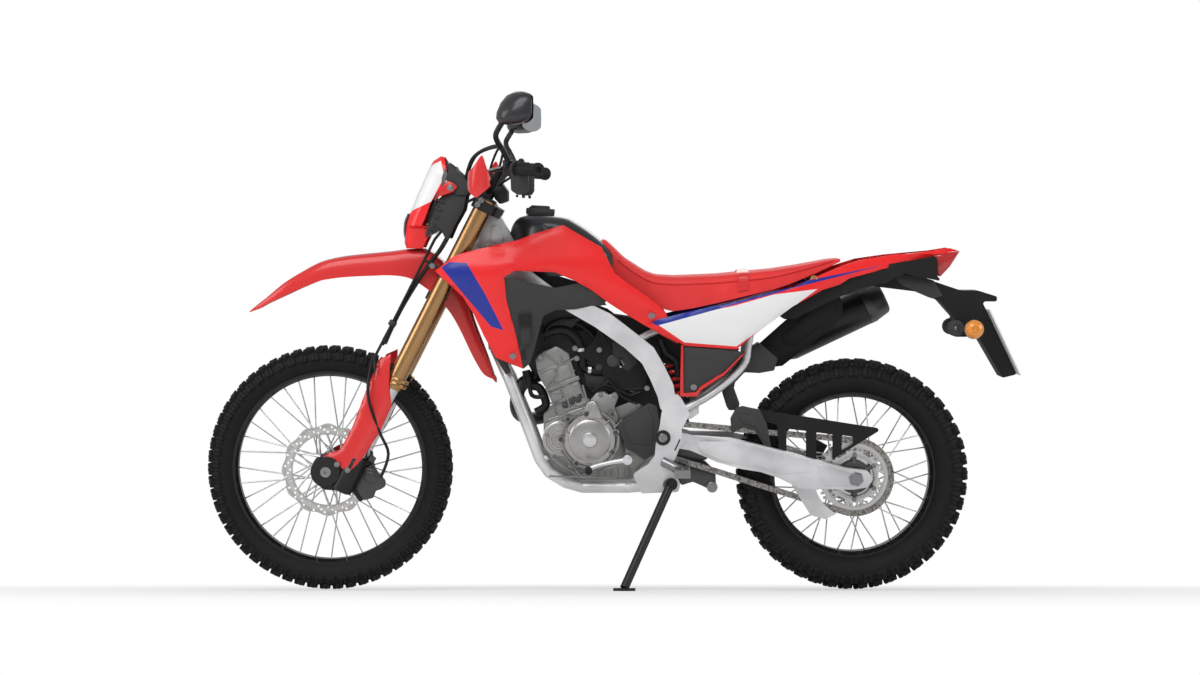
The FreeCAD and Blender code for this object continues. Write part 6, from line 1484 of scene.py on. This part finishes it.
class MOTORCYCLE_OT_controls(bpy.types.Operator):
    """Build grips, levers, switches, hand guards, cables and the tops of the fork"""

    bl_idname = "motorcycle.controls"
    bl_label = "Handlebar controls"

    def execute(self, context):
        start = (-187.7, -282.5, 1168.9)
        rows = [(0, 24), (3, 24.5), (5, 24), (6, 17)]
        for step in range(22):
            rows += [(9 + step * 4.9, 17.2), (11 + step * 4.9, 16.2), (12.4 + step * 4.9, 16.2)]
        rows += [(119, 17), (121, 19), (126, 19), (128, 17), (128, 8), (122, 7), (122, 1)]
        grip = new_piece("bar_grips", other_side(turned(rows, start, GRIP_WAY)), "grip_rubber", "steering")
        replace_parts(grip, "grips")
        pods = [
            turned(((-44, 19), (-42, 24), (-8, 24), (-6, 21), (-6, 1)), start, GRIP_WAY),
            turned(((-86, 16), (-84, 19), (-56, 19), (-54, 16), (-54, 1)), start, GRIP_WAY),
            plate(mm(((-214, 1184), (-195, 1192), (-172, 1189), (-165, 1176), (-165, 1115), (-172, 1103),
                      (-193, 1101), (-211, 1113))), -0.292, -0.250, 0.004),
            plate(mm(((-193, 1192), (-188, 1198), (-180, 1198), (-175, 1191))), -0.286, -0.262, 0.002),
            plate(mm(((-199, 1102), (-192, 1102), (-192, 1095), (-198, 1095))), -0.284, -0.276, 0.001),
            plate(mm(((-183, 1102), (-175, 1102), (-175, 1093), (-182, 1093))), -0.284, -0.270, 0.001),
        ]
        lever = [(-262, -255, 1160), (-284, -262, 1156), (-292, -300, 1152), (-280, -350, 1148),
                 (-262, -392, 1146)]
        pod = new_piece("switch_pods", mirrored_parts(pods), "black_plastic", "steering")
        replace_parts(pod, "hand_controls")
        levers = mirrored_parts([bar(mm(lever), [0.007, 0.0075, 0.006, 0.005, 0.007], 10)])
        new_piece("hand_levers", levers, "black_metal", "steering")
        rings = []
        for x, y, low, high in smooth_line((
                (-259, -404, 1126, 1142), (-270, -411, 1114, 1174), (-281, -413, 1106, 1203),
                (-296, -410, 1094, 1186), (-308, -401, 1101, 1170), (-317, -380, 1108, 1163),
                (-321, -340, 1110, 1159), (-320, -290, 1112, 1156), (-314, -240, 1118, 1150)), 4):
            bulge = [(0, 0), (2.5, 0.12), (4, 0.35), (4, 0.65), (2.5, 0.88), (0, 1)]
            rings.append([(x - out * 0.6, y - out * 0.5, low + (high - low) * up) for out, up in bulge])
        shell = other_side(thickened(loft([mm(ring) for ring in rings], False), 0.003))
        guard = new_piece("hand_guard_shells", shell, "red_plastic", "steering")
        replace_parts(guard, "hand_guards")
        arms = [bar(mm(((-284, -396, 1152), (-276, -385, 1158), (-260, -300, 1166), (-240, -230, 1172))),
                    0.006, 8)]
        arms.append(bar(mm(((-264, -95, 1126), (-286, -150, 1132), (-302, -240, 1134), (-311, -330, 1134))),
                        0.0055, 8))
        new_piece("guard_stays", mirrored_parts(arms), "black_metal", "steering")
        cables = []
        for first, points in enumerate((
            ((-336, 1147), (-331, 1174), (-312, 1208), (-283, 1224), (-245, 1230), (-223, 1212),
             (-212, 1185)),
            ((-342, 1140), (-338, 1162), (-322, 1200), (-291, 1223), (-252, 1234), (-235, 1227),
             (-220, 1194)),
            ((-281, 1153), (-270, 1186), (-254, 1219), (-242, 1229)),
            ((-271, 1132), (-249, 1182), (-237, 1220), (-227, 1209), (-219, 1182)),
            ((-304, 1089), (-271, 1116), (-249, 1132), (-222, 1149)),
        )):
            y = (-258, -246, -215, -190, -70)[first]
            ends = [y * (0.3 + 0.7 * step / (len(points) - 1)) for step in range(len(points))]
            cables.append(bar(mm([(x, e, z) for (x, z), e in zip(points, ends)]),
                              0.0045 if first < 2 else 0.0035, 8))
        cables.append(bar(mm(((-577, -112, 327), (-556, -112, 393), (-580, -122, 457), (-610, -128, 560),
                              (-598, -86, 668))), 0.0042, 8))
        line = [(x, -76, z) for x, z in ((-352, 1087), (-372, 1029), (-407, 960), (-459, 890), (-523, 786),
                                         (-567, 693))]
        cables.append(bar(mm(line), 0.0052, 8))
        cables.append(bar(mm([(x - 7, y + 6, z - 4) for x, y, z in line]), 0.004, 8))
        clips = [turned(((-8, 9), (-6, 11), (6, 11), (8, 9)), (x, -76, z), (0.5, 0, 0.86)) for x,
                 z in ((-439, 911), (-546, 749))]
        new_piece("hose_clips", merged(clips), "black_plastic", "steering")
        new_piece("control_cables", merged(cables), "hose_black", "steering")
        bent = [
            turned(((-20, 29), (-19, 31), (-3, 31), (-2, 29)), (-386, -97, 887), (0.454, 0, 0.891), 40),
            turned(((-14, 31), (-12, 33), (12, 33), (14, 31)), (-293, -97, 1071), (0.454, 0, 0.891), 40),
            turned(((14, 21), (22, 21), (23, 19), (23, 9), (20, 8), (20, 1)), (-293, -97, 1071),
                   (0.454, 0, 0.891), 6),
            plate(mm(((-273, 1119), (-245, 1135), (-229, 1113), (-229, 1085), (-251, 1077), (-265, 1091))),
                  -0.052, -0.018, 0.003),
        ]
        new_piece("fork_clamp_rings", mirrored_parts(bent), "black_metal", "steering")
        clamp_bolts = bolts([(x, -131, z) for x, z in ((-308, 1076), (-298, 1087), (-432, 909))], 6)
        new_piece("clamp_bolts", other_side(clamp_bolts), "bolt_steel", "steering")
        head = [
            plate(mm(((-291, 1073), (-263, 1067), (-235, 1018), (-209, 971), (-235, 955), (-279, 962),
                      (-309, 955), (-321, 985), (-300, 1025))), -0.034, 0.034, 0.006),
            plate(mm(((-279, 1017), (-255, 1020), (-239, 985), (-251, 966), (-279, 973))), -0.042, 0.042,
                  0.003),
        ]
        new_piece("head_casting", merged(head), "frame_silver")
        return {"FINISHED"}


class MOTORCYCLE_OT_mirrors(bpy.types.Operator):
    """Build the mirrors with their glass"""

    bl_idname = "motorcycle.mirrors"
    bl_label = "Mirrors"

    def execute(self, context):
        outline = mm(((-176, 1293), (-193, 1284), (-218, 1283), (-241, 1288), (-249, 1300), (-247, 1317),
                      (-235, 1342), (-217, 1362), (-193, 1373), (-177, 1373)))
        turn = (Matrix.Translation((-0.19, -0.35, 0)) @ Matrix.Rotation(math.radians(26), 4, "Z")
                @ Matrix.Translation((0.19, 0.35, 0)))
        rings = []
        for step in range(13):
            share = step / 12
            bulge = math.sin(math.pi * share) ** 0.5
            rings.append([
                (-0.178 + (x + 0.178) * (0.12 + 0.88 * bulge), -0.290 - 0.124 * share,
                 1.328 + (z - 1.328) * (0.45 + 0.55 * bulge)) for x, z in outline])
        shell = moved(rounded(loft(rings), 0.002), turn)
        mirror = new_piece("mirror_shells", other_side(shell), "mirror_grey", "steering")
        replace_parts(mirror, "mirrors")
        glass = []
        for step in range(13):
            share = step / 12
            bulge = math.sin(math.pi * (0.04 + 0.92 * share)) ** 0.5
            y = -0.294 - 0.116 * share
            tall = 0.041 * (0.45 + 0.55 * bulge)
            glass.append([(-0.1732, y, 1.329 - tall), (-0.1722, y, 1.329), (-0.1732, y, 1.329 + tall)])
        new_piece("mirror_glasses", other_side(moved(loft(glass, False), turn)), "mirror_glass", "steering")
        stalks = mirrored_parts([
            bar(mm(((-222, -262, 1172), (-222, -270, 1196), (-236, -290, 1226), (-246, -315, 1243),
                    (-248, -338, 1262), (-228, -350, 1296))), 0.0075, 10),
            turned(((-4, 12), (0, 12), (14, 12), (16, 10)), (-222, -264, 1178), (0, 0, 1)),
        ])
        new_piece("mirror_stalks", stalks, "black_metal", "steering")
        return {"FINISHED"}


class MOTORCYCLE_OT_tank(bpy.types.Operator):
    """Build the rounded tank with its stepped cap"""

    bl_idname = "motorcycle.tank"
    bl_label = "Fuel tank"

    def execute(self, context):
        stations = ((-226, 985, 12, 8), (-221, 1010, 18, 12), (-210, 1030, 32, 20), (-194, 1042, 52, 28),
                    (-166, 1048, 78, 36), (-120, 1047, 100, 40), (-71, 1042, 106, 42), (-40, 1028, 104, 42),
                    (0, 1000, 96, 36), (30, 975, 80, 30), (60, 945, 60, 24))
        rings = []
        for x, top, half, soft in smooth_line(stations, 3):
            side = [(half * 0.9, 880), (half, 930), (half, top - soft),
                    (half - soft * 0.3, top - soft * 0.42), (half - soft * 0.75, top - soft * 0.12),
                    (half * 0.35, top - 1), (0, top)]
            ring = [(x, -y, z) for y, z in side]
            rings.append(mm(ring + [(x, -y, z) for x, y, z in reversed(ring[:-1])]))
        tank = new_piece("tank_shell", loft(rings), "tank_paint")
        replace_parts(tank, "fuel_tank")
        cap = [
            turned(((0, 38), (6, 40), (16, 40), (19, 38), (19, 1)), (-141, 0, 1046), (0.05, 0, 1), 40),
            turned(((0, 27), (6, 27), (9, 24), (9, 1)), (-141, 0, 1064), (0.05, 0, 1), 32),
            plate(mm(((-172, 1070), (-118, 1072), (-114, 1068), (-172, 1064))), -0.012, 0.012, 0.002),
        ]
        piece = new_piece("fuel_cap_cover", merged(cap), "black_plastic")
        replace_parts(piece, "fuel_cap")
        return {"FINISHED"}


def disc_plate(centre, radius, inner, side, half, lobes, rows):
    """A wavy brake disc with rows of holes: (radius, hole radius, count, phase)."""
    holes = [ring_line(centre, inner, 96)]
    for at, size, count, phase in rows:
        for step in range(count):
            angle = math.tau * (step + phase) / count
            holes.append(ring_line(around(centre, at, angle), size, 10))
    outline = ring_line(centre, radius, 192, 3.4, lobes)
    return pierced(mm(outline), [mm(hole) for hole in holes], (side - half) * MM, (side + half) * MM)


class MOTORCYCLE_OT_brakes(bpy.types.Operator):
    """Build the wavy discs, their carriers and the front caliper"""

    bl_idname = "motorcycle.brakes"
    bl_label = "Brakes"

    def execute(self, context):
        for end, centre, side, radius, inner, table in (
            ("front", FRONT_HUB, -62, 125.4, 98, ((105, 3.4, 24, 0), (112, 3.4, 24, 0.33),
                                                  (119, 3.4, 24, 0.66))),
            ("rear", REAR_HUB, 72, 107.4, 84, ((90, 3.2, 20, 0), (96, 3.2, 20, 0.33), (102, 3.2, 20, 0.66))),
        ):
            steel, body = f"{end}_disc_steel", f"{end}_wheel"
            disc = disc_plate(centre, radius, inner, side, 2, 12, table)
            piece = new_piece(f"{end}_disc_ring", disc, steel, body, False)
            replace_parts(piece, f"{end}_disc")
            hand = -1 if side < 0 else 1
            boss = turned(((45, 30), (50, 46), (64, 46), (66, 43), (66, 26), (60, 25), (60, 12)), centre,
                          (0, hand, 0), 40)
            arms = []
            for step in range(6):
                for lean in (0.55, -0.28):
                    angle = math.tau * step / 6
                    (x0, z0), (x1, z1) = around(centre, 42, angle), around(centre, inner + 2, angle + lean)
                    arms.append(bar(mm(((x0, side, z0), ((x0 + x1) / 2, side, (z0 + z1) / 2),
                                        (x1, side, z1))),
                                    [0.0042, 0.0026, 0.0036], 8, 2))
            new_piece(f"{end}_disc_hub", boss, "black_metal", body)
            new_piece(f"{end}_disc_spider", merged(arms), steel, body)
            spots = [mm_place(around(centre, 36, math.tau * (step + 0.5) / 6),
                              hand * 66) for step in range(6)]
            new_piece(f"{end}_disc_bolts", bolts(spots, 4.5), "bolt_steel", body)
        caliper = [
            plate(mm(((-644, 333), (-624, 354), (-594, 347), (-581, 331), (-567, 314), (-568, 298),
                      (-582, 290), (-594, 287), (-601, 267), (-627, 260), (-642, 281), (-653, 300))), -0.086,
                      -0.066, 0.004),
            plate(mm(((-624, 341), (-600, 338), (-589, 324), (-596, 305), (-619, 308), (-629, 324))), -0.0875,
                  -0.080, 0.003),
            turned(((80, 9), (90, 9), (91, 8), (91, 1)), mm_place((-604, 376)), LEFT),
            bar(mm([(x, -84, z) for x, z in ((-604, 376), (-600, 355), (-593, 338))]), 0.005, 8),
        ]
        bracket = plate(mm(((-671, 337), (-607, 387), (-593, 375), (-607, 354), (-635, 344), (-645, 287),
                            (-626, 261), (-640, 254), (-673, 297))), -0.070, -0.060, 0.003)
        new_piece("caliper_bracket", bracket, "black_metal", "steering")
        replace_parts(new_piece("front_caliper_body", merged(caliper), "cap_metal", "steering"),
                    "front_caliper")
        return {"FINISHED"}


LEG_FOOT = (-676, -97, 317)
LEG_WAY = (0.454, 0, 0.891)


def fork_guard_side(x, z):
    """How far out the fork guard stands: it wraps round the leg."""
    off = (x + 0.5) * 0.891 - (z - 0.62) * 0.454 + 0.012
    return 0.1275 - 1.4 * abs(off) ** 1.6


class MOTORCYCLE_OT_fork_guards(bpy.types.Operator):
    """Build the guards over the fork's lower tubes and the axle carriers"""

    bl_idname = "motorcycle.fork_guards"
    bl_label = "Fork guards"

    def execute(self, context):
        outline = mm(((-548, 667), (-552, 585), (-545, 526), (-577, 456), (-619, 391), (-660, 338),
                      (-674, 343), (-689, 360), (-738, 365), (-738, 383), (-718, 395), (-689, 403),
                      (-654, 468), (-619, 562), (-580, 653)))
        guard = panel(outline[::-1], fork_guard_side, 0.003, 0.005, 0.012)
        piece = new_piece("fork_guard_shells", guard, "red_plastic", "steering")
        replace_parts(piece, "fork_guards")
        heads = bolts([(x, -127, z) for x, z in ((-696, 365), (-667, 349))], 6)
        new_piece("fork_guard_bolts", other_side(heads), "bolt_steel", "steering")
        tube = turned(((20, 22), (400, 22)), LEG_FOOT, LEG_WAY, 32)
        slider = new_piece("slider_tubes", other_side(tube), "slider_chrome", "steering")
        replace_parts(slider, "fork_sliders")
        foot = [
            turned(((-32, 24), (-28, 30), (70, 30), (76, 26), (80, 23)), LEG_FOOT, LEG_WAY, 32),
            turned(((72, 40), (118, 42), (122, 38), (122, 14), (117, 13), (117, 11)), FRONT_HUB, LEFT, 40),
            plate(mm(((-743, 371), (-684, 369), (-644, 338), (-658, 303), (-696, 291), (-733, 293),
                      (-764, 317))), -0.114, -0.090, 0.004),
        ]
        new_piece("axle_carriers", mirrored_parts(foot), "black_metal", "steering")
        ends = turned(((116, 11), (121, 11), (122.5, 9), (122.5, 4), (118, 4), (118, 1)), FRONT_HUB, LEFT)
        new_piece("axle_ends", other_side(ends), "bolt_steel", "steering")
        rings = [
            turned(((0, 29.6), (7, 29.6), (9, 28)), mm_place((-535, 580), -97), LEG_WAY, 40),
            turned(((14, 29.6), (20, 29.6), (22, 28)), mm_place((-535, 580), -97), LEG_WAY, 40),
        ]
        new_piece("fork_tube_rings", mirrored_parts(rings), "gold_tube", "steering")
        return {"FINISHED"}


def lamp_face(wider, deeper):
    """The headlamp's face, made wider all round and set deeper, in millimetres."""
    rings = []
    for z, front, half in ((986 - wider, 518, 36), (992, 519.5, 44), (1008, 520, 50), (1026, 518, 54),
                           (1038, 514.5, 53), (1046 + wider, 509.5, 44)):
        half, front = half + wider, front - deeper
        ring = [(-front + 7, -half, z), (-front + 2, -half * 0.8, z), (-front + 0.4, -half * 0.4, z),
                (-front, 0, z)]
        rings.append(mm(ring + [(x, -y, z) for x, y, z in reversed(ring[:-1])]))
    return loft(rings, False)


class MOTORCYCLE_OT_lamp(bpy.types.Operator):
    """Build the headlamp, its dark housing and the mask's wings"""

    bl_idname = "motorcycle.lamp"
    bl_label = "Headlamp"

    def execute(self, context):
        lens = thickened(lamp_face(0, 0), 0.002)
        piece = new_piece("headlamp_lens", lens, "clear_lens", "steering")
        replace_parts(piece, "headlamp")
        new_piece("headlamp_bezel", thickened(lamp_face(5, 1.2), 0.003), "gloss_black", "steering")
        housing = [plate(mm(((-460, 1008), (-442, 1029), (-430, 1060), (-415, 1095), (-393, 1101),
                             (-355, 1117), (-339, 1111), (-349, 1060), (-374, 1016), (-390, 979), (-399, 982),
                             (-415, 1012))), -0.082, -0.074, 0.003)]
        housing.append(plate(mm(((-400, 1196), (-386, 1187), (-353, 1157), (-336, 1140), (-332, 1117),
                                 (-339, 1101), (-367, 1101), (-377, 1110), (-366, 1123), (-386, 1132),
                                 (-399, 1145), (-389, 1173))), -0.088, -0.080, 0.003))
        for step in range(5):
            housing.append(bar(mm([(-425 - step * 3, -84, 1090 - step * 22),
                                   (-402 - step * 9, -84, 1082 - step * 22)]), 0.004, 8, 1))
        new_piece("lamp_housing", mirrored_parts(housing), "black_plastic", "steering")
        bridge = plate(mm(((-455, 985), (-405, 1010), (-402, 1094), (-440, 1088))), -0.078, 0.078, 0.004)
        new_piece("lamp_bucket", bridge, "gloss_black", "steering")
        wing = plate(mm(((-430, 1085), (-414, 1098), (-398, 1103), (-377, 1110), (-365, 1123), (-369, 1130),
                         (-382, 1138), (-394, 1140), (-408, 1123))), -0.096, -0.091, 0.002)
        new_piece("mask_wings", other_side(wing), "red_plastic", "steering")
        eyes = [
            turned(((0, 9), (2, 9), (2.5, 6)), mm_place((-384, 1122), -96), LEFT),
            turned(((0, 5), (4, 5), (5, 3.5), (5, 1)), mm_place((-384, 1122), -96), LEFT),
        ]
        new_piece("mask_bolts", mirrored_parts(eyes), "bolt_steel", "steering")
        return {"FINISHED"}


class MOTORCYCLE_OT_sprocket(bpy.types.Operator):
    """Build the rear sprocket with its slots and its carrier"""

    bl_idname = "motorcycle.sprocket"
    bl_label = "Rear sprocket"

    def execute(self, context):
        centre = REAR_HUB
        outline = []
        for tooth in range(TEETH):
            for share, reach in ((-0.32, 94.6), (-0.1, 104.6), (0.1, 104.6), (0.32, 94.6)):
                angle = math.tau * (tooth + share) / TEETH
                outline.append(around(centre, reach, angle))
        holes = [ring_line(centre, 55, 72)]
        for step in range(6):
            middle = math.tau * step / 6
            slot = [around(centre, reach, middle + lean)
                    for lean, reach in ((-0.19, 68), (0, 66), (0.19, 68), (0.19, 80), (0, 83), (-0.19, 80))]
            holes.append(slot)
            for lean in (0.33, 0.52, 0.71):
                holes.append(ring_line(around(centre, 76, middle + lean), 3.6 if lean != 0.52 else 5.5, 14))
        ring = pierced(mm(outline), [mm(hole) for hole in holes], -0.0805, -0.0755)
        piece = new_piece("sprocket_ring", ring, "rear_disc_steel", "rear_wheel", False)
        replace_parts(piece, "rear_sprocket")
        arms = [turned(((66, 34), (70, 46), (76, 46), (78, 44), (78, 28), (72, 26), (72, 18)), REAR_HUB, LEFT,
                       48)]
        for step in range(6):
            angle = math.tau * (step + 0.5) / 6
            places = [mm_place(around(centre, r, angle + lean), -y)
                      for r, lean, y in ((38, 0, 73), (50, 0.03, 75), (62, 0, 76))]
            arms.append(bar(mm(places), [0.009, 0.007, 0.008], 8, 2))
        new_piece("sprocket_carrier", merged(arms), "cap_metal", "rear_wheel")
        heads = [mm_place(around(centre, 62, math.tau * (step + 0.5) / 6), -81) for step in range(6)]
        new_piece("sprocket_bolts", bolts(heads, 5.5), "bolt_steel", "rear_wheel")
        return {"FINISHED"}


class MOTORCYCLE_PT_panel(bpy.types.Panel):
    """Lists the pieces in the order in which they are made"""

    bl_idname = "MOTORCYCLE_PT_panel"
    bl_label = "Motorcycle"
    bl_space_type = "VIEW_3D"
    bl_region_type = "UI"
    bl_category = "Motorcycle"

    def draw(self, context):
        for operator in OPERATORS:
            self.layout.operator(operator.bl_idname)
        for key, group in GROUPS.items():
            for name in group.__annotations__:
                self.layout.prop(getattr(context.scene, key), name)


GROUPS = {"motorcycle_stage": StageSettings, "motorcycle_tyres": TyreSettings}
OPERATORS = (
    MOTORCYCLE_OT_finishes,
    MOTORCYCLE_OT_tyres,
    MOTORCYCLE_OT_side_panels,
    MOTORCYCLE_OT_seat,
    MOTORCYCLE_OT_front_fender,
    MOTORCYCLE_OT_headlight,
    MOTORCYCLE_OT_engine,
    MOTORCYCLE_OT_intake,
    MOTORCYCLE_OT_exhaust,
    MOTORCYCLE_OT_rear,
    MOTORCYCLE_OT_foot_controls,
    MOTORCYCLE_OT_controls,
    MOTORCYCLE_OT_mirrors,
    MOTORCYCLE_OT_tank,
    MOTORCYCLE_OT_brakes,
    MOTORCYCLE_OT_fork_guards,
    MOTORCYCLE_OT_lamp,
    MOTORCYCLE_OT_sprocket,
    MOTORCYCLE_OT_stage,
)


def register():
    """Adds the settings, the operators and the panel."""
    for group in (*GROUPS.values(), *OPERATORS, MOTORCYCLE_PT_panel):
        bpy.utils.register_class(group)
    for name, group in GROUPS.items():
        setattr(bpy.types.Scene, name, PointerProperty(type=group))


def unregister():
    """Takes them out again."""
    for name in GROUPS:
        delattr(bpy.types.Scene, name)
    for group in (MOTORCYCLE_PT_panel, *reversed(OPERATORS), *GROUPS.values()):
        bpy.utils.unregister_class(group)


def main():
    register()
    for operator in OPERATORS:
        getattr(bpy.ops.motorcycle, operator.bl_idname.split(".")[1])()


if __name__ == "__main__":
    main()
